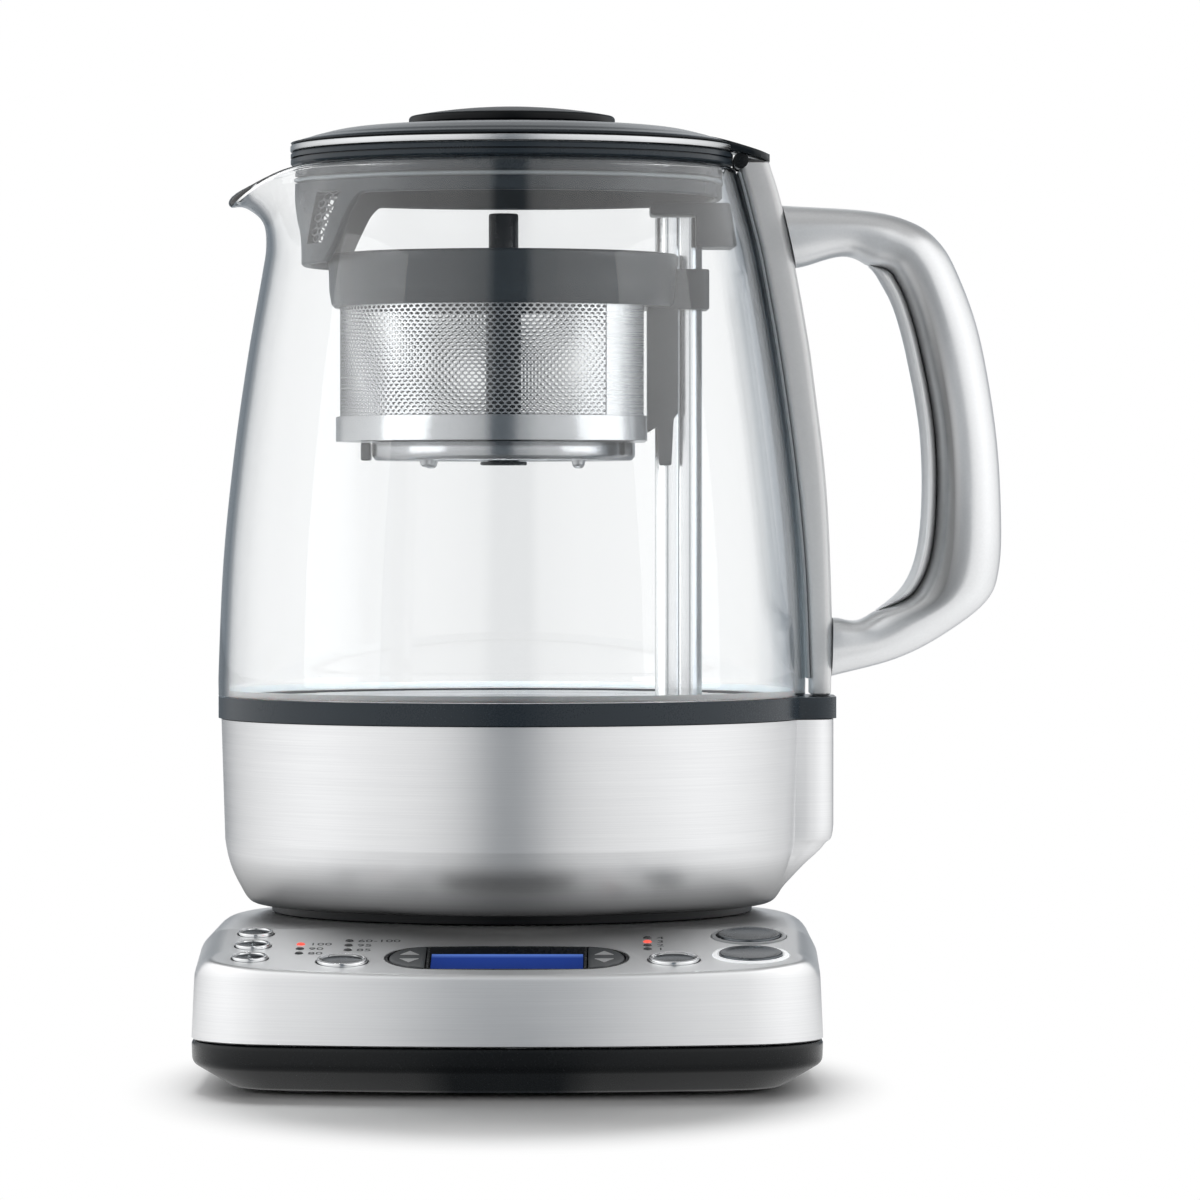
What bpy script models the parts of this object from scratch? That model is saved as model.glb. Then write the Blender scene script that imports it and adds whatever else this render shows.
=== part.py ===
"""Automatic tea maker: a power base with a sloped control panel, and a glass jug
whose tea basket rides up and down a guide post.

Units are metres. The origin lies on the jug's axis, in the plane that the base
stands on. +X points towards the handle, -X towards the spout, -Y towards the
control panel and +Z up. Each moving piece has its own origin, or an empty that
carries it, on its joint's axis.
"""

import math

import bmesh
import bpy
from mathutils import Matrix, Vector

# General fits and facets
GAP = 0.0003
FACET_SAG = 0.0005
OVERRUN = 0.004
MERGE = 0.000001
SHARP_ANGLE = math.radians(34)
RING_SIDES = 34
PLAIN_SIDES = 24
SMALL_SIDES = 12
PIN_SIDES = 6
ROUND_STEPS = 3

# Base outline
BASE_FRONT_REACH = 0.120
FRONT_BOW_RADIUS = 0.270
FRONT_CORNER_RADIUS = 0.026
REAR_STEPS = 16
SIDE_STEPS = 1
CORNER_STEPS = 4
FRONT_STEPS = 4

# Base heights and walls
FOOT_PROUD = 0.001
HOUSING_CHAMFER = 0.011
HOUSING_EDGE_Z = 0.0074
HOUSING_TOP_Z = 0.0132
HOUSING_WALL = 0.0026
BAND_FLARE = 0.0007
PANEL_FRONT_Z = 0.0318
PANEL_SLOPE = math.radians(8.5)
BASE_TOP_Z = 0.0402
SHELL_WALL = 0.0020
SIDE_SHOULDER = 0.0075
FRONT_SHOULDER = 0.0012
SHOULDER_STEPS = 3
SEAT_Z = 0.0411
SEAT_MARGIN = 0.0157
SEAT_FILLET = 0.0045

# Base feet and cord outlet
FOOT_RADIUS = 0.0080
FOOT_THICK = 0.0022
FOOT_SIDE_INSET = 0.0302
FOOT_REAR_INSET = 0.0472
FOOT_FRONT_INSET = 0.0320
GROMMET_RADIUS = 0.0052
GROMMET_FLANGE_RADIUS = 0.0068
GROMMET_FLANGE = 0.0016
GROMMET_BORE_RADIUS = 0.0037
GROMMET_Z = 0.0225
GROMMET_LENGTH = 0.0090

# Power connector and its socket
CONNECTOR_RADIUS = 0.0189
CONNECTOR_TOP_Z = 0.0534
CONNECTOR_FLANGE_RADIUS = 0.0240
CONNECTOR_FLANGE = 0.0030
SOCKET_RADIUS = 0.0297
SOCKET_CLEARANCE = 0.0007
SOCKET_ROOF = 0.0045

# Control panel: places are given by x and by the way up the slope
BUTTON_TRAVEL = 0.0008
BUTTON_CLEARANCE = 0.0004
BUTTON_PROUD = 0.0009
BUTTON_DISH = 0.0007
BUTTON_FLANGE = 0.0009
BUTTON_STEM_RADIUS = 0.0018
OPTION_BUTTON_MARGIN = 0.0021
OPTION_BUTTON_UP = 0.0210
OPTION_BUTTON_PITCH = 0.0149
OPTION_BUTTON_RADIUS = 0.0046
TEA_TYPE_CLEARANCE = 0.0031
TEA_TYPE_UP = 0.0174
STRENGTH_CLEARANCE = 0.0039
STRENGTH_UP = 0.0194
CHOICE_BUTTON_RADIUS = 0.0066
LARGE_BUTTON_CLEARANCE = 0.0020
LARGE_BUTTON_UP = 0.0253
LARGE_BUTTON_PITCH = 0.0226
LARGE_BUTTON_RADIUS = 0.0083
LIGHT_RING_WIDTH = 0.0011
LIGHT_RING_DEPTH = 0.0032
LIGHT_RING_FLANGE = 0.0004

# Control board under the panel
BOARD_DEPTH = 0.0132
BOARD_THICK = 0.0016
BOARD_SIDE_INSET = 0.0117
BOARD_NEAR_UP = 0.0155
BOARD_FAR_UP = 0.0550
SWITCH_SIZE = 0.0060
SWITCH_HEIGHT = 0.0036

# Display cluster
CLUSTER_UP = 0.0220
CLUSTER_HALF_WIDTH = 0.0318
CLUSTER_BOW = 0.0007
CLUSTER_RIM = 0.0010
CLUSTER_END_STEPS = 6
WINDOW_HALF_WIDTH = 0.0197
WINDOW_HALF_DEPTH = 0.0127
WINDOW_THICK = 0.0014
WINDOW_SUNK = 0.0003
MODULE_THICK = 0.0030
ROCKER_THICK = 0.0024
ROCKER_RIB = 0.0016

# Indicator lights
LIGHT_RADIUS = 0.0009
LIGHT_BAR_THICK = 0.0016
TEA_LIGHT_OFFSET = 0.0116
TEA_LIGHT_UP = 0.0271
TEA_LIGHT_PITCH = 0.0055
TEA_COLUMN_STEP = 0.0125
TEA_COLUMN_RISE = 0.0040
STRENGTH_LIGHT_OFFSET = 0.0067
STRENGTH_LIGHT_UP = 0.0323
STRENGTH_LIGHT_PITCH = 0.0045

# Jug foot and steel body
FOOT_RING_Z = 0.0414
FOOT_RING_RADIUS = 0.0657
FOOT_RING_WALL = 0.0030
FOOT_RING_TOP_Z = 0.0476
FOOT_RING_LIP = 0.0026
STEEL_BOTTOM_Z = 0.0448
STEEL_TOP_Z = 0.0940
STEEL_RADIUS = 0.0795
STEEL_WALL = 0.0010
BUMP_HALF_WIDTH = 0.0177
BUMP_REACH = 0.0877
BUMP_CORNER = 0.0080
BUMP_CORNER_STEPS = 3
BODY_STEPS = 28

# Waist ring, floor and heater
WAIST_BOTTOM_Z = 0.0943
WAIST_TOP_Z = 0.1001
WAIST_RADIUS = 0.0803
WAIST_REACH = 0.0885
WAIST_LEDGE = 0.0023
WAIST_LIP_DEPTH = 0.0035
FLOOR_RADIUS = 0.0755
FLOOR_THICK = 0.0012
SEAL_HEIGHT = 0.0020
HEATER_RADIUS = 0.0600
HEATER_TUBE = 0.0036

# Glass jug
GLASS_TOP_Z = 0.2446
GLASS_WALL = 0.0026
SPOUT_REACH = 0.0165
SPOUT_DROP = 0.0096
SPOUT_HALF_ANGLE = math.radians(32)

# Spine and handle
SPINE_HALF_WIDTH = 0.0090
SPINE_TOP_Z = 0.2456
SPINE_TOP_X = 0.0702
SPINE_REACH = 0.0874
SPINE_GLASS_GAP = 0.0006
SPINE_BEVEL = 0.0010
SPINE_SHOULDER = 0.0005
SPINE_SHOULDER_RISE = 0.0015
HANDLE_ROOT_X = 0.0734
HANDLE_REACH = 0.1340
HANDLE_BOTTOM_Z = 0.1055
HANDLE_TOP_Z = 0.2343
HANDLE_HALF_WIDTH = 0.0110
HANDLE_SECTION_SIDES = 12
HANDLE_SQUARENESS = 2.6
GRIP_HALF_WIDTH = 0.0080
GRIP_THICK = 0.0030

# Guide post and lift
POST_INNER_X = 0.0392
POST_OUTER_X = 0.0520
POST_HALF_WIDTH = 0.0050
POST_WALL = 0.0010
POST_TOP_Z = 0.2305
POST_CORNER = 0.0020
BRACKET_INNER_X = 0.0378
BRACKET_STEP_X = 0.0500
BRACKET_OUTER_X = 0.0612
BRACKET_HALF_WIDTH = 0.0090
BRACKET_TOP_Z = 0.2345
BRACKET_TAPER = 0.0020
BRACKET_LIP = 0.0034
BRACKET_LOW_Z = 0.2225
SCREW_RADIUS = 0.0018
SCREW_CLEARANCE = 0.0004
SCREW_TOP_Z = 0.2270
CARRIAGE_HEIGHT = 0.0120
CARRIAGE_CLEARANCE = 0.0004
MOTOR_RADIUS = 0.0116
MOTOR_HEIGHT = 0.0220
MOTOR_NOSE_RADIUS = 0.0040
MOTOR_NOSE = 0.0020

# Lid
LID_RIM_RADIUS = 0.0605
LID_RIM_Z = 0.2449
LID_RIM_HEIGHT = 0.0035
LID_TRIM_HEIGHT = 0.0017
LID_TRIM_PROUD = 0.0001
LID_TRIM_WIDTH = 0.0030
LID_CROWN_Z = 0.2570
LID_WALL = 0.0022
LID_SKIRT_RADIUS = 0.0576
LID_SKIRT_WALL = 0.0022
LID_SKIRT_BOTTOM_Z = 0.2355
LID_NOSE_BOTTOM_Z = 0.2175
LID_NOSE_TOP_ANGLE = math.radians(47)
LID_NOSE_BOTTOM_ANGLE = math.radians(30)
SKIRT_SEAL_Z = 0.2400
SKIRT_SEAL_RADIUS = 0.0007
SKIRT_SEAL_DEPTH = 0.0009
KNOB_RADIUS = 0.0282
KNOB_TOP_Z = 0.2613
KNOB_EDGE = 0.0004
TAIL_HALF_WIDTH = 0.0100
TAIL_START_X = 0.0530
TAIL_END_X = 0.0704
TAIL_TOP_DROP = 0.0069
TAIL_THICK = 0.0020
PIN_RADIUS = 0.0017
PIN_HALF_LENGTH = 0.0080
PIN_RISE = 0.0005

# Tea basket
BASKET_X = -0.0023
DRUM_RADIUS = 0.0450
DRUM_FLAT = 0.0381
DRUM_WALL = 0.0008
DRUM_STEPS = 32
COLLAR_RADIUS = 0.0481
COLLAR_SHELF = 0.0065
COLLAR_GRIP = 0.0039
COLLAR_TOP_Z = 0.2205
COLLAR_RIM = 0.0018
COLLAR_LEDGE = 0.0026
HOOP_BOTTOM_Z = 0.1696
HOOP_TOP_Z = 0.1763
HOOP_WALL = 0.0006
HOOP_FLANGE = 0.0006
SADDLE_CLEARANCE = 0.0004
SADDLE_HALF_WIDTH = 0.0086
SADDLE_REACH = 0.0453
SADDLE_BOTTOM_Z = 0.1771
SADDLE_SLANT = 0.0052
SADDLE_TAIL_Z = 0.1630
SADDLE_TAIL_WIDTH = 0.0045
SADDLE_TAIL_TAPER = 0.0006
LUG_REACH = 0.0538
LUG_BOTTOM_Z = 0.2055
LUG_TOP_Z = 0.2165
MAGNET_THICK = 0.0014
MAGNET_HALF_WIDTH = 0.0040
PAN_RADIUS = 0.0360
PAN_BOTTOM_Z = 0.1644
PAN_WALL = 0.0010
PAN_FOOT_CIRCLE = 0.0290
PAN_FOOT_RADIUS = 0.0018
PAN_FOOT_DROP = 0.0020
STEM_RADIUS = 0.00405
STEM_COLUMN_RADIUS = 0.0048
STEM_COLUMN_TOP_Z = 0.2120
STEM_TOP_Z = 0.2317
STEM_HEAD_RADIUS = 0.0064
STEM_HEAD_THICK = 0.0010
BASKET_LID_THICK = 0.0012
BASKET_LID_CLEARANCE = 0.0005
LATCH_THICK = 0.0027
LATCH_HALF_WIDTH = 0.0040

# Outlines as shares of the sizes above: (radius or reach, height)
GLASS_SHARES = [
    (1.000, 0.000),
    (0.999, 0.060),
    (0.983, 0.256),
    (0.948, 0.450),
    (0.900, 0.640),
    (0.853, 0.789),
    (0.831, 0.850),
    (0.808, 0.900),
    (0.785, 0.950),
    (0.760, 1.000),
]
# The spout's lip leaves the wall over the last five rings: (way out, way down)
SPOUT_SHARES = [(0.03, 0.0), (0.20, 0.05), (0.60, 0.35), (1.0, 1.0)]
# Steel body: (radius, height, how far the step towards the handle stands out)
STEEL_SHARES = [
    (0.832, 0.000, 0.00),
    (0.897, 0.010, 0.00),
    (0.937, 0.100, 0.03),
    (0.968, 0.207, 0.27),
    (0.985, 0.321, 0.75),
    (0.989, 0.430, 1.00),
    (1.000, 1.000, 1.00),
]
SPINE_SHARES = [
    (0.983, 0.000),
    (1.000, 0.139),
    (0.913, 0.385),
    (0.703, 0.628),
    (0.552, 0.700),
    (0.395, 0.804),
    (0.186, 0.926),
    (0.000, 1.000),
]
HANDLE_OUTER_SHARES = [
    (0.231, 0.000),
    (0.520, 0.036),
    (0.733, 0.086),
    (0.932, 0.158),
    (0.992, 0.230),
    (1.000, 0.353),
    (0.975, 0.526),
    (0.901, 0.724),
    (0.800, 0.858),
    (0.715, 0.924),
    (0.597, 0.964),
    (0.398, 0.988),
    (0.000, 1.000),
]
HANDLE_INNER_SHARES = [
    (0.264, 0.110),
    (0.345, 0.118),
    (0.432, 0.141),
    (0.550, 0.190),
    (0.615, 0.262),
    (0.640, 0.380),
    (0.629, 0.524),
    (0.574, 0.672),
    (0.520, 0.770),
    (0.465, 0.826),
    (0.398, 0.870),
    (0.281, 0.893),
    (0.064, 0.881),
]
# Where a small taper or fillet turns, along its own length
SEAT_EDGE_SHARE = 0.333
GROMMET_TAPER_SHARE = 0.667
SADDLE_FOOT_SHARES = (0.25, 0.667)
# How far forward the edge faces where its wide rounding starts to narrow, and where it is crisp
SHOULDER_BLEND_SHARES = (0.12, 0.65)
DOME_SHARES = [
    (1.000, 0.00),
    (0.972, 0.14),
    (0.934, 0.24),
    (0.879, 0.40),
    (0.765, 0.73),
    (0.600, 0.92),
    (0.400, 1.00),
]
KNOB_SHARES = [(1.000, 0.05), (1.000, 0.22), (0.970, 0.38), (0.820, 0.58), (0.430, 0.86)]
CAP_SHARES = [(0.00, 0.0), (0.62, 0.38), (0.90, 1.0)]

# Colours as (red, green, blue, metallic, roughness, alpha)
BRUSHED_STEEL = (0.62, 0.63, 0.64, 1.0, 0.32, 1.0)
SATIN_METAL = (0.66, 0.67, 0.68, 1.0, 0.25, 1.0)
CHROME = (0.80, 0.81, 0.82, 1.0, 0.10, 1.0)
SLATE_PLASTIC = (0.105, 0.118, 0.132, 0.0, 0.45, 1.0)
BLACK_PLASTIC = (0.020, 0.022, 0.025, 0.0, 0.38, 1.0)
DARK_CAP = (0.115, 0.125, 0.135, 0.2, 0.35, 1.0)
BLUE_DISPLAY = (0.03, 0.08, 0.55, 0.0, 0.25, 1.0)
CLEAR_WINDOW = (0.75, 0.82, 0.95, 0.0, 0.05, 0.25)
CLEAR_GLASS = (0.93, 0.96, 0.97, 0.0, 0.02, 0.22)
LIGHT_GUIDE = (0.85, 0.30, 0.28, 0.0, 0.30, 0.8)
WHITE_RING = (0.90, 0.91, 0.92, 0.0, 0.30, 1.0)
GREEN_BOARD = (0.03, 0.16, 0.08, 0.0, 0.50, 1.0)
SILICONE = (0.55, 0.57, 0.58, 0.0, 0.60, 1.0)
RUBBER = (0.03, 0.03, 0.03, 0.0, 0.80, 1.0)
DARK_METAL = (0.35, 0.33, 0.31, 1.0, 0.45, 1.0)

# Places that several pieces share
SHELL_BOTTOM_Z = HOUSING_TOP_Z + GAP
GLASS_BOTTOM_Z = WAIST_TOP_Z + GAP
FLOOR_TOP_Z = WAIST_TOP_Z - GAP
LEDGE_Z = FLOOR_TOP_Z - FLOOR_THICK - GAP
LID_BAND_Z = LID_RIM_Z + LID_RIM_HEIGHT
TRIM_BOTTOM_Z = LID_BAND_Z + GAP
TRIM_TOP_Z = TRIM_BOTTOM_Z + LID_TRIM_HEIGHT
COVER_EDGE_Z = TRIM_TOP_Z + GAP
DRUM_BOTTOM_Z = HOOP_BOTTOM_Z + HOOP_FLANGE + GAP
BASKET_LEDGE_Z = LUG_TOP_Z
DRUM_TOP_Z = BASKET_LEDGE_Z - COLLAR_SHELF
COLLAR_BOTTOM_Z = DRUM_TOP_Z - COLLAR_GRIP
POST_X = (POST_INNER_X + POST_OUTER_X) / 2
PIN_X = LID_RIM_RADIUS + GAP + PIN_RADIUS
PIN_Z = SPINE_TOP_Z + PIN_RISE
LARGE_HOLE_RADIUS = LARGE_BUTTON_RADIUS + BUTTON_CLEARANCE + LIGHT_RING_WIDTH + GAP

# The row of controls, from the display outwards. It sets how wide the base is.
CHOICE_FLANGE_RADIUS = CHOICE_BUTTON_RADIUS + BUTTON_FLANGE
LARGE_FLANGE_RADIUS = LARGE_HOLE_RADIUS + LIGHT_RING_FLANGE
TEA_TYPE_X = -CLUSTER_HALF_WIDTH - TEA_TYPE_CLEARANCE - CHOICE_FLANGE_RADIUS
TEA_LIGHT_X = TEA_TYPE_X - TEA_LIGHT_OFFSET
STRENGTH_X = CLUSTER_HALF_WIDTH + STRENGTH_CLEARANCE + CHOICE_FLANGE_RADIUS
STRENGTH_LIGHT_X = STRENGTH_X - STRENGTH_LIGHT_OFFSET
LARGE_BUTTON_X = STRENGTH_X + CHOICE_FLANGE_RADIUS + LARGE_BUTTON_CLEARANCE + LARGE_FLANGE_RADIUS
SHOULDER_INSET = BAND_FLARE + SIDE_SHOULDER
BASE_HALF_WIDTH = LARGE_BUTTON_X + LARGE_FLANGE_RADIUS + GAP + SHOULDER_INSET
OPTION_FLANGE_RADIUS = OPTION_BUTTON_RADIUS + BUTTON_FLANGE
OPTION_BUTTON_X = OPTION_FLANGE_RADIUS + OPTION_BUTTON_MARGIN + SHOULDER_INSET - BASE_HALF_WIDTH
BOARD_HALF_WIDTH = BASE_HALF_WIDTH - BOARD_SIDE_INSET
SEAT_RADIUS = BASE_HALF_WIDTH - SEAT_MARGIN


def clear_scene():
    """Remove the objects that the file opened with."""
    for old in list(bpy.data.objects):
        bpy.data.objects.remove(old, do_unlink=True)


def make_material(name, look):
    red, green, blue, metallic, roughness, alpha = look
    surface = bpy.data.materials.new(name)
    surface.use_nodes = True
    shader = surface.node_tree.nodes["Principled BSDF"]
    shader.inputs["Base Color"].default_value = (red, green, blue, 1.0)
    shader.inputs["Metallic"].default_value = metallic
    shader.inputs["Roughness"].default_value = roughness
    shader.inputs["Alpha"].default_value = alpha
    return surface


def make_empty(name, place=(0, 0, 0), carrier=None, tilt=0.0):
    """An empty on a joint's axis, which carries the pieces of one body."""
    frame = bpy.data.objects.new(name, None)
    frame.location = place
    frame.rotation_euler = (tilt, 0, 0)
    frame.parent = carrier
    bpy.context.scene.collection.objects.link(frame)
    return frame


def add_object(name, bm, carrier, place):
    mesh = bpy.data.meshes.new(name)
    bmesh.ops.remove_doubles(bm, verts=bm.verts, dist=MERGE)
    bmesh.ops.recalc_face_normals(bm, faces=bm.faces)
    bm.to_mesh(mesh)
    bm.free()
    piece = bpy.data.objects.new(name, mesh)
    piece.location = place
    piece.parent = carrier
    bpy.context.scene.collection.objects.link(piece)
    return piece


def finish_piece(name, bm, look, carrier, place=(0, 0, 0)):
    """Turn a bmesh into a named sub-part with its own material and smooth shading."""
    piece = add_object(name, bm, carrier, place)
    piece.data.materials.append(make_material(name, look))
    piece.data.shade_smooth()
    piece.data.set_sharp_from_angle(angle=SHARP_ANGLE)
    return piece


def finish_helper(name, bm, carrier, place=(0, 0, 0)):
    """A body that only cuts or joins another one, so it isn't rendered."""
    helper = add_object(name, bm, carrier, place)
    helper.hide_render = True
    helper.display_type = "WIRE"
    return helper


def boolean(piece, helper, operation):
    step = piece.modifiers.new(f"{operation.lower()} {helper.name}", "BOOLEAN")
    step.operation = operation
    step.solver = "EXACT"
    step.object = helper


def soften(piece, width, segments=2):
    edge = piece.modifiers.new("rounded edges", "BEVEL")
    edge.width = width
    edge.segments = segments
    edge.limit_method = "ANGLE"


def add_turned(bm, outline, sides=RING_SIDES):
    """Spin a (radius, height) outline about Z. It may start and end on the axis."""
    corners = [bm.verts.new((radius, 0, height)) for radius, height in outline]
    open_chain = outline[0][0] == 0 and outline[-1][0] == 0
    after = corners[1:] if open_chain else corners[1:] + corners[:1]
    edges = [bm.edges.new(pair) for pair in zip(corners, after)]
    bmesh.ops.spin(
        bm,
        geom=corners + edges,
        axis=(0, 0, 1),
        angle=math.tau,
        steps=sides,
        use_merge=True,
    )


def disc_outline(radius, low, high):
    """The outline of a plain disc or cylinder, to be spun."""
    return [(0, low), (radius, low), (radius, high), (0, high)]


def make_turned(name, outline, look, carrier, place=(0, 0, 0), sides=RING_SIDES):
    bm = bmesh.new()
    add_turned(bm, outline, sides)
    return finish_piece(name, bm, look, carrier, place)


def add_rings(bm, rings, closed=False):
    """Skin rings of equally many points. A closed skin joins the last ring to the first."""
    rows = [[bm.verts.new(point) for point in ring] for ring in rings]
    pairs = list(zip(rows, rows[1:]))
    if closed:
        pairs.append((rows[-1], rows[0]))
    for lower, upper in pairs:
        for index, corner in enumerate(lower):
            after = (index + 1) % len(lower)
            bm.faces.new((corner, lower[after], upper[after], upper[index]))
    if not closed:
        bm.faces.new(rows[0])
        bm.faces.new(rows[-1])


def make_lofted(name, rings, look, carrier, closed=False):
    bm = bmesh.new()
    add_rings(bm, rings, closed)
    return finish_piece(name, bm, look, carrier)


def add_prism(bm, outline, low, high, across="XY"):
    """Extrude a flat outline. It lies in XY and grows along Z, or lies in XZ and grows along Y."""
    def corner(first, second, level):
        return (first, second, level) if across == "XY" else (first, level, second)

    floor = bm.faces.new([bm.verts.new(corner(a, b, low)) for a, b in outline])
    grown = bmesh.ops.extrude_face_region(bm, geom=[floor])
    far = [item for item in grown["geom"] if isinstance(item, bmesh.types.BMVert)]
    bmesh.ops.translate(bm, verts=far, vec=corner(0, 0, high - low))


def add_block(bm, low, high):
    """A box between two opposite corners."""
    corner = Vector(low)
    size = Vector(high) - corner
    matrix = Matrix.Translation(corner + size / 2) @ Matrix.Diagonal(size).to_4x4()
    bmesh.ops.create_cube(bm, size=1.0, matrix=matrix)


def add_rod(bm, radius, low, high, x=0.0, y=0.0, sides=SMALL_SIDES):
    """An upright cylinder."""
    bmesh.ops.create_cone(
        bm,
        cap_ends=True,
        segments=sides,
        radius1=radius,
        radius2=radius,
        depth=high - low,
        matrix=Matrix.Translation((x, y, (low + high) / 2)),
    )


def rounded_box(low_x, high_x, low_y, high_y, corner):
    """The outline of a rectangle with round corners."""
    outline = []
    centres = [
        (high_x - corner, high_y - corner, 0),
        (low_x + corner, high_y - corner, 1),
        (low_x + corner, low_y + corner, 2),
        (high_x - corner, low_y + corner, 3),
    ]
    for x, y, quarter in centres:
        for step in range(ROUND_STEPS + 1):
            angle = (quarter + step / ROUND_STEPS) * math.pi / 2
            outline.append((x + corner * math.cos(angle), y + corner * math.sin(angle)))
    return outline


def smooth_step(value):
    held = min(max(value, 0.0), 1.0)
    return held * held * (3 - 2 * held)


def table_value(table, height):
    """Read the first value of a (value, height) table at a height between its rows."""
    for (low_value, low), (high_value, high) in zip(table, table[1:]):
        if height <= high:
            return low_value + (high_value - low_value) * (height - low) / (high - low)
    return table[-1][0]


# Power base


def base_outline():
    """Points and outward directions of the base's full plan, from +X round by the rear."""
    half = BASE_HALF_WIDTH
    corner = FRONT_CORNER_RADIUS
    bow_y = FRONT_BOW_RADIUS - BASE_FRONT_REACH
    corner_x = half - corner
    reach = FRONT_BOW_RADIUS - corner
    corner_y = bow_y - math.sqrt(reach * reach - corner_x * corner_x)
    bow_angle = math.atan2(corner_x, bow_y - corner_y)
    down = math.pi * 3 / 2
    marks = []

    def add_arc(centre, radius, start, end, steps):
        for step in range(steps):
            angle = start + (end - start) * step / steps
            way = Vector((math.cos(angle), math.sin(angle), 0))
            marks.append((Vector((*centre, 0)) + way * radius, way))

    def add_side(side, start, end):
        for step in range(SIDE_STEPS):
            y = start + (end - start) * step / SIDE_STEPS
            marks.append((Vector((side * half, y, 0)), Vector((side, 0, 0))))

    add_arc((0, 0), half, 0, math.pi, REAR_STEPS)
    add_side(-1, 0, corner_y)
    add_arc((-corner_x, corner_y), corner, math.pi, down - bow_angle, CORNER_STEPS)
    add_arc((0, bow_y), FRONT_BOW_RADIUS, down - bow_angle, down + bow_angle, FRONT_STEPS)
    add_arc((corner_x, corner_y), corner, down + bow_angle, math.tau, CORNER_STEPS)
    add_side(1, corner_y, 0)
    return marks


def base_ring(inset, height):
    """A plan ring moved inwards. Inset and height may depend on the outward direction."""
    ring = []
    for point, way in base_outline():
        place = point - way * (inset(way) if callable(inset) else inset)
        place.z = height(way) if callable(height) else height
        ring.append(place)
    return ring


def circle_ring(radius, height):
    """A round ring whose points face those of the base's plan."""
    ring = [point.normalized() * radius for point, _ in base_outline()]
    for place in ring:
        place.z = height
    return ring


def shoulder_radius(way):
    """The edge rounding: wide at the sides and rear, crisp along the panel's front."""
    start, end = SHOULDER_BLEND_SHARES
    crisp = smooth_step((-way.y - start) / (end - start))
    return SIDE_SHOULDER + (FRONT_SHOULDER - SIDE_SHOULDER) * crisp


def shoulder_ring(turn, wall=0.0):
    """One ring of the rounded shoulder, from upright (0) to level (1), or of its inner side."""
    angle = turn * math.pi / 2

    def radius(way):
        return max(shoulder_radius(way) - wall, FRONT_SHOULDER / 2)

    return base_ring(
        lambda way: BAND_FLARE + wall + radius(way) * (1 - math.cos(angle)),
        lambda way: BASE_TOP_Z - wall - radius(way) * (1 - math.sin(angle)),
    )


def tilt_panel(bm):
    """Fold the level top along the crease, so that the front becomes the sloped panel."""
    slope = math.tan(PANEL_SLOPE)
    crease_y = (BASE_TOP_Z - PANEL_FRONT_Z) / slope - BASE_FRONT_REACH
    whole = bm.verts[:] + bm.edges[:] + bm.faces[:]
    bmesh.ops.bisect_plane(bm, geom=whole, dist=MERGE, plane_co=(0, crease_y, 0), plane_no=(0, 1, 0))
    for corner in bm.verts:
        beyond_seat = (corner.co.xy.length - SEAT_RADIUS) / SEAT_FILLET
        if corner.co.z > HOUSING_TOP_Z + GAP * 2 and corner.co.y < crease_y:
            drop = (crease_y - corner.co.y) * slope
            corner.co.z -= drop * min(max(beyond_seat, 0), 1)


def make_base_shell(base, panel):
    """The brushed upper shell: band, shoulder, sloped panel and raised seat, open below."""
    centre_hole = CONNECTOR_RADIUS / 2
    fillet = SEAT_RADIUS + SEAT_FILLET
    fillet_z = BASE_TOP_Z + (SEAT_Z - BASE_TOP_Z) * SEAT_EDGE_SHARE
    rings = [base_ring(0, SHELL_BOTTOM_Z)]
    rings += [shoulder_ring(step / SHOULDER_STEPS) for step in range(SHOULDER_STEPS + 1)]
    rings += [
        circle_ring(fillet, BASE_TOP_Z),
        circle_ring(SEAT_RADIUS + SEAT_FILLET * SEAT_EDGE_SHARE, fillet_z),
        circle_ring(SEAT_RADIUS, SEAT_Z),
        circle_ring(centre_hole, SEAT_Z),
        circle_ring(centre_hole, SEAT_Z - SHELL_WALL),
        circle_ring(SEAT_RADIUS, SEAT_Z - SHELL_WALL),
        circle_ring(fillet, BASE_TOP_Z - SHELL_WALL),
        shoulder_ring(1, SHELL_WALL),
        shoulder_ring(0, SHELL_WALL),
        base_ring(SHELL_WALL, SHELL_BOTTOM_Z),
    ]
    bm = bmesh.new()
    add_rings(bm, rings, closed=True)
    tilt_panel(bm)
    shell = finish_piece("base_shell", bm, BRUSHED_STEEL, base)
    bm = bmesh.new()
    hole_radius = CONNECTOR_RADIUS + GAP
    add_turned(bm, disc_outline(hole_radius, SEAT_Z - SHELL_WALL - OVERRUN, SEAT_Z + OVERRUN))
    boolean(shell, finish_helper("connector_hole_cutter", bm, base), "DIFFERENCE")
    boolean(shell, make_panel_cutter(panel), "DIFFERENCE")
    boolean(shell, make_cord_hole(base), "DIFFERENCE")


def make_panel_cutter(panel):
    """The holes of the buttons, the lights and the display cluster, square to the panel."""
    low = -SHELL_WALL - OVERRUN
    high = OVERRUN
    bm = bmesh.new()
    for _, x, up, radius, _, ringed in button_table():
        hole = LARGE_HOLE_RADIUS if ringed else radius + BUTTON_CLEARANCE
        add_rod(bm, hole, low, high, x, up)
    for x, up in tea_light_places() + strength_light_places():
        add_rod(bm, LIGHT_RADIUS + GAP, low, high, x, up, PIN_SIDES)
    add_prism(bm, cluster_outline(0), low, high)
    return finish_helper("panel_cutter", bm, panel)


def make_cord_hole(base):
    bm = bmesh.new()
    add_rod(bm, GROMMET_RADIUS + GAP, -OVERRUN * 2, OVERRUN)
    helper = finish_helper("cord_hole_cutter", bm, base, (0, BASE_HALF_WIDTH, GROMMET_Z))
    helper.rotation_euler = (-math.pi / 2, 0, 0)
    return helper


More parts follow.
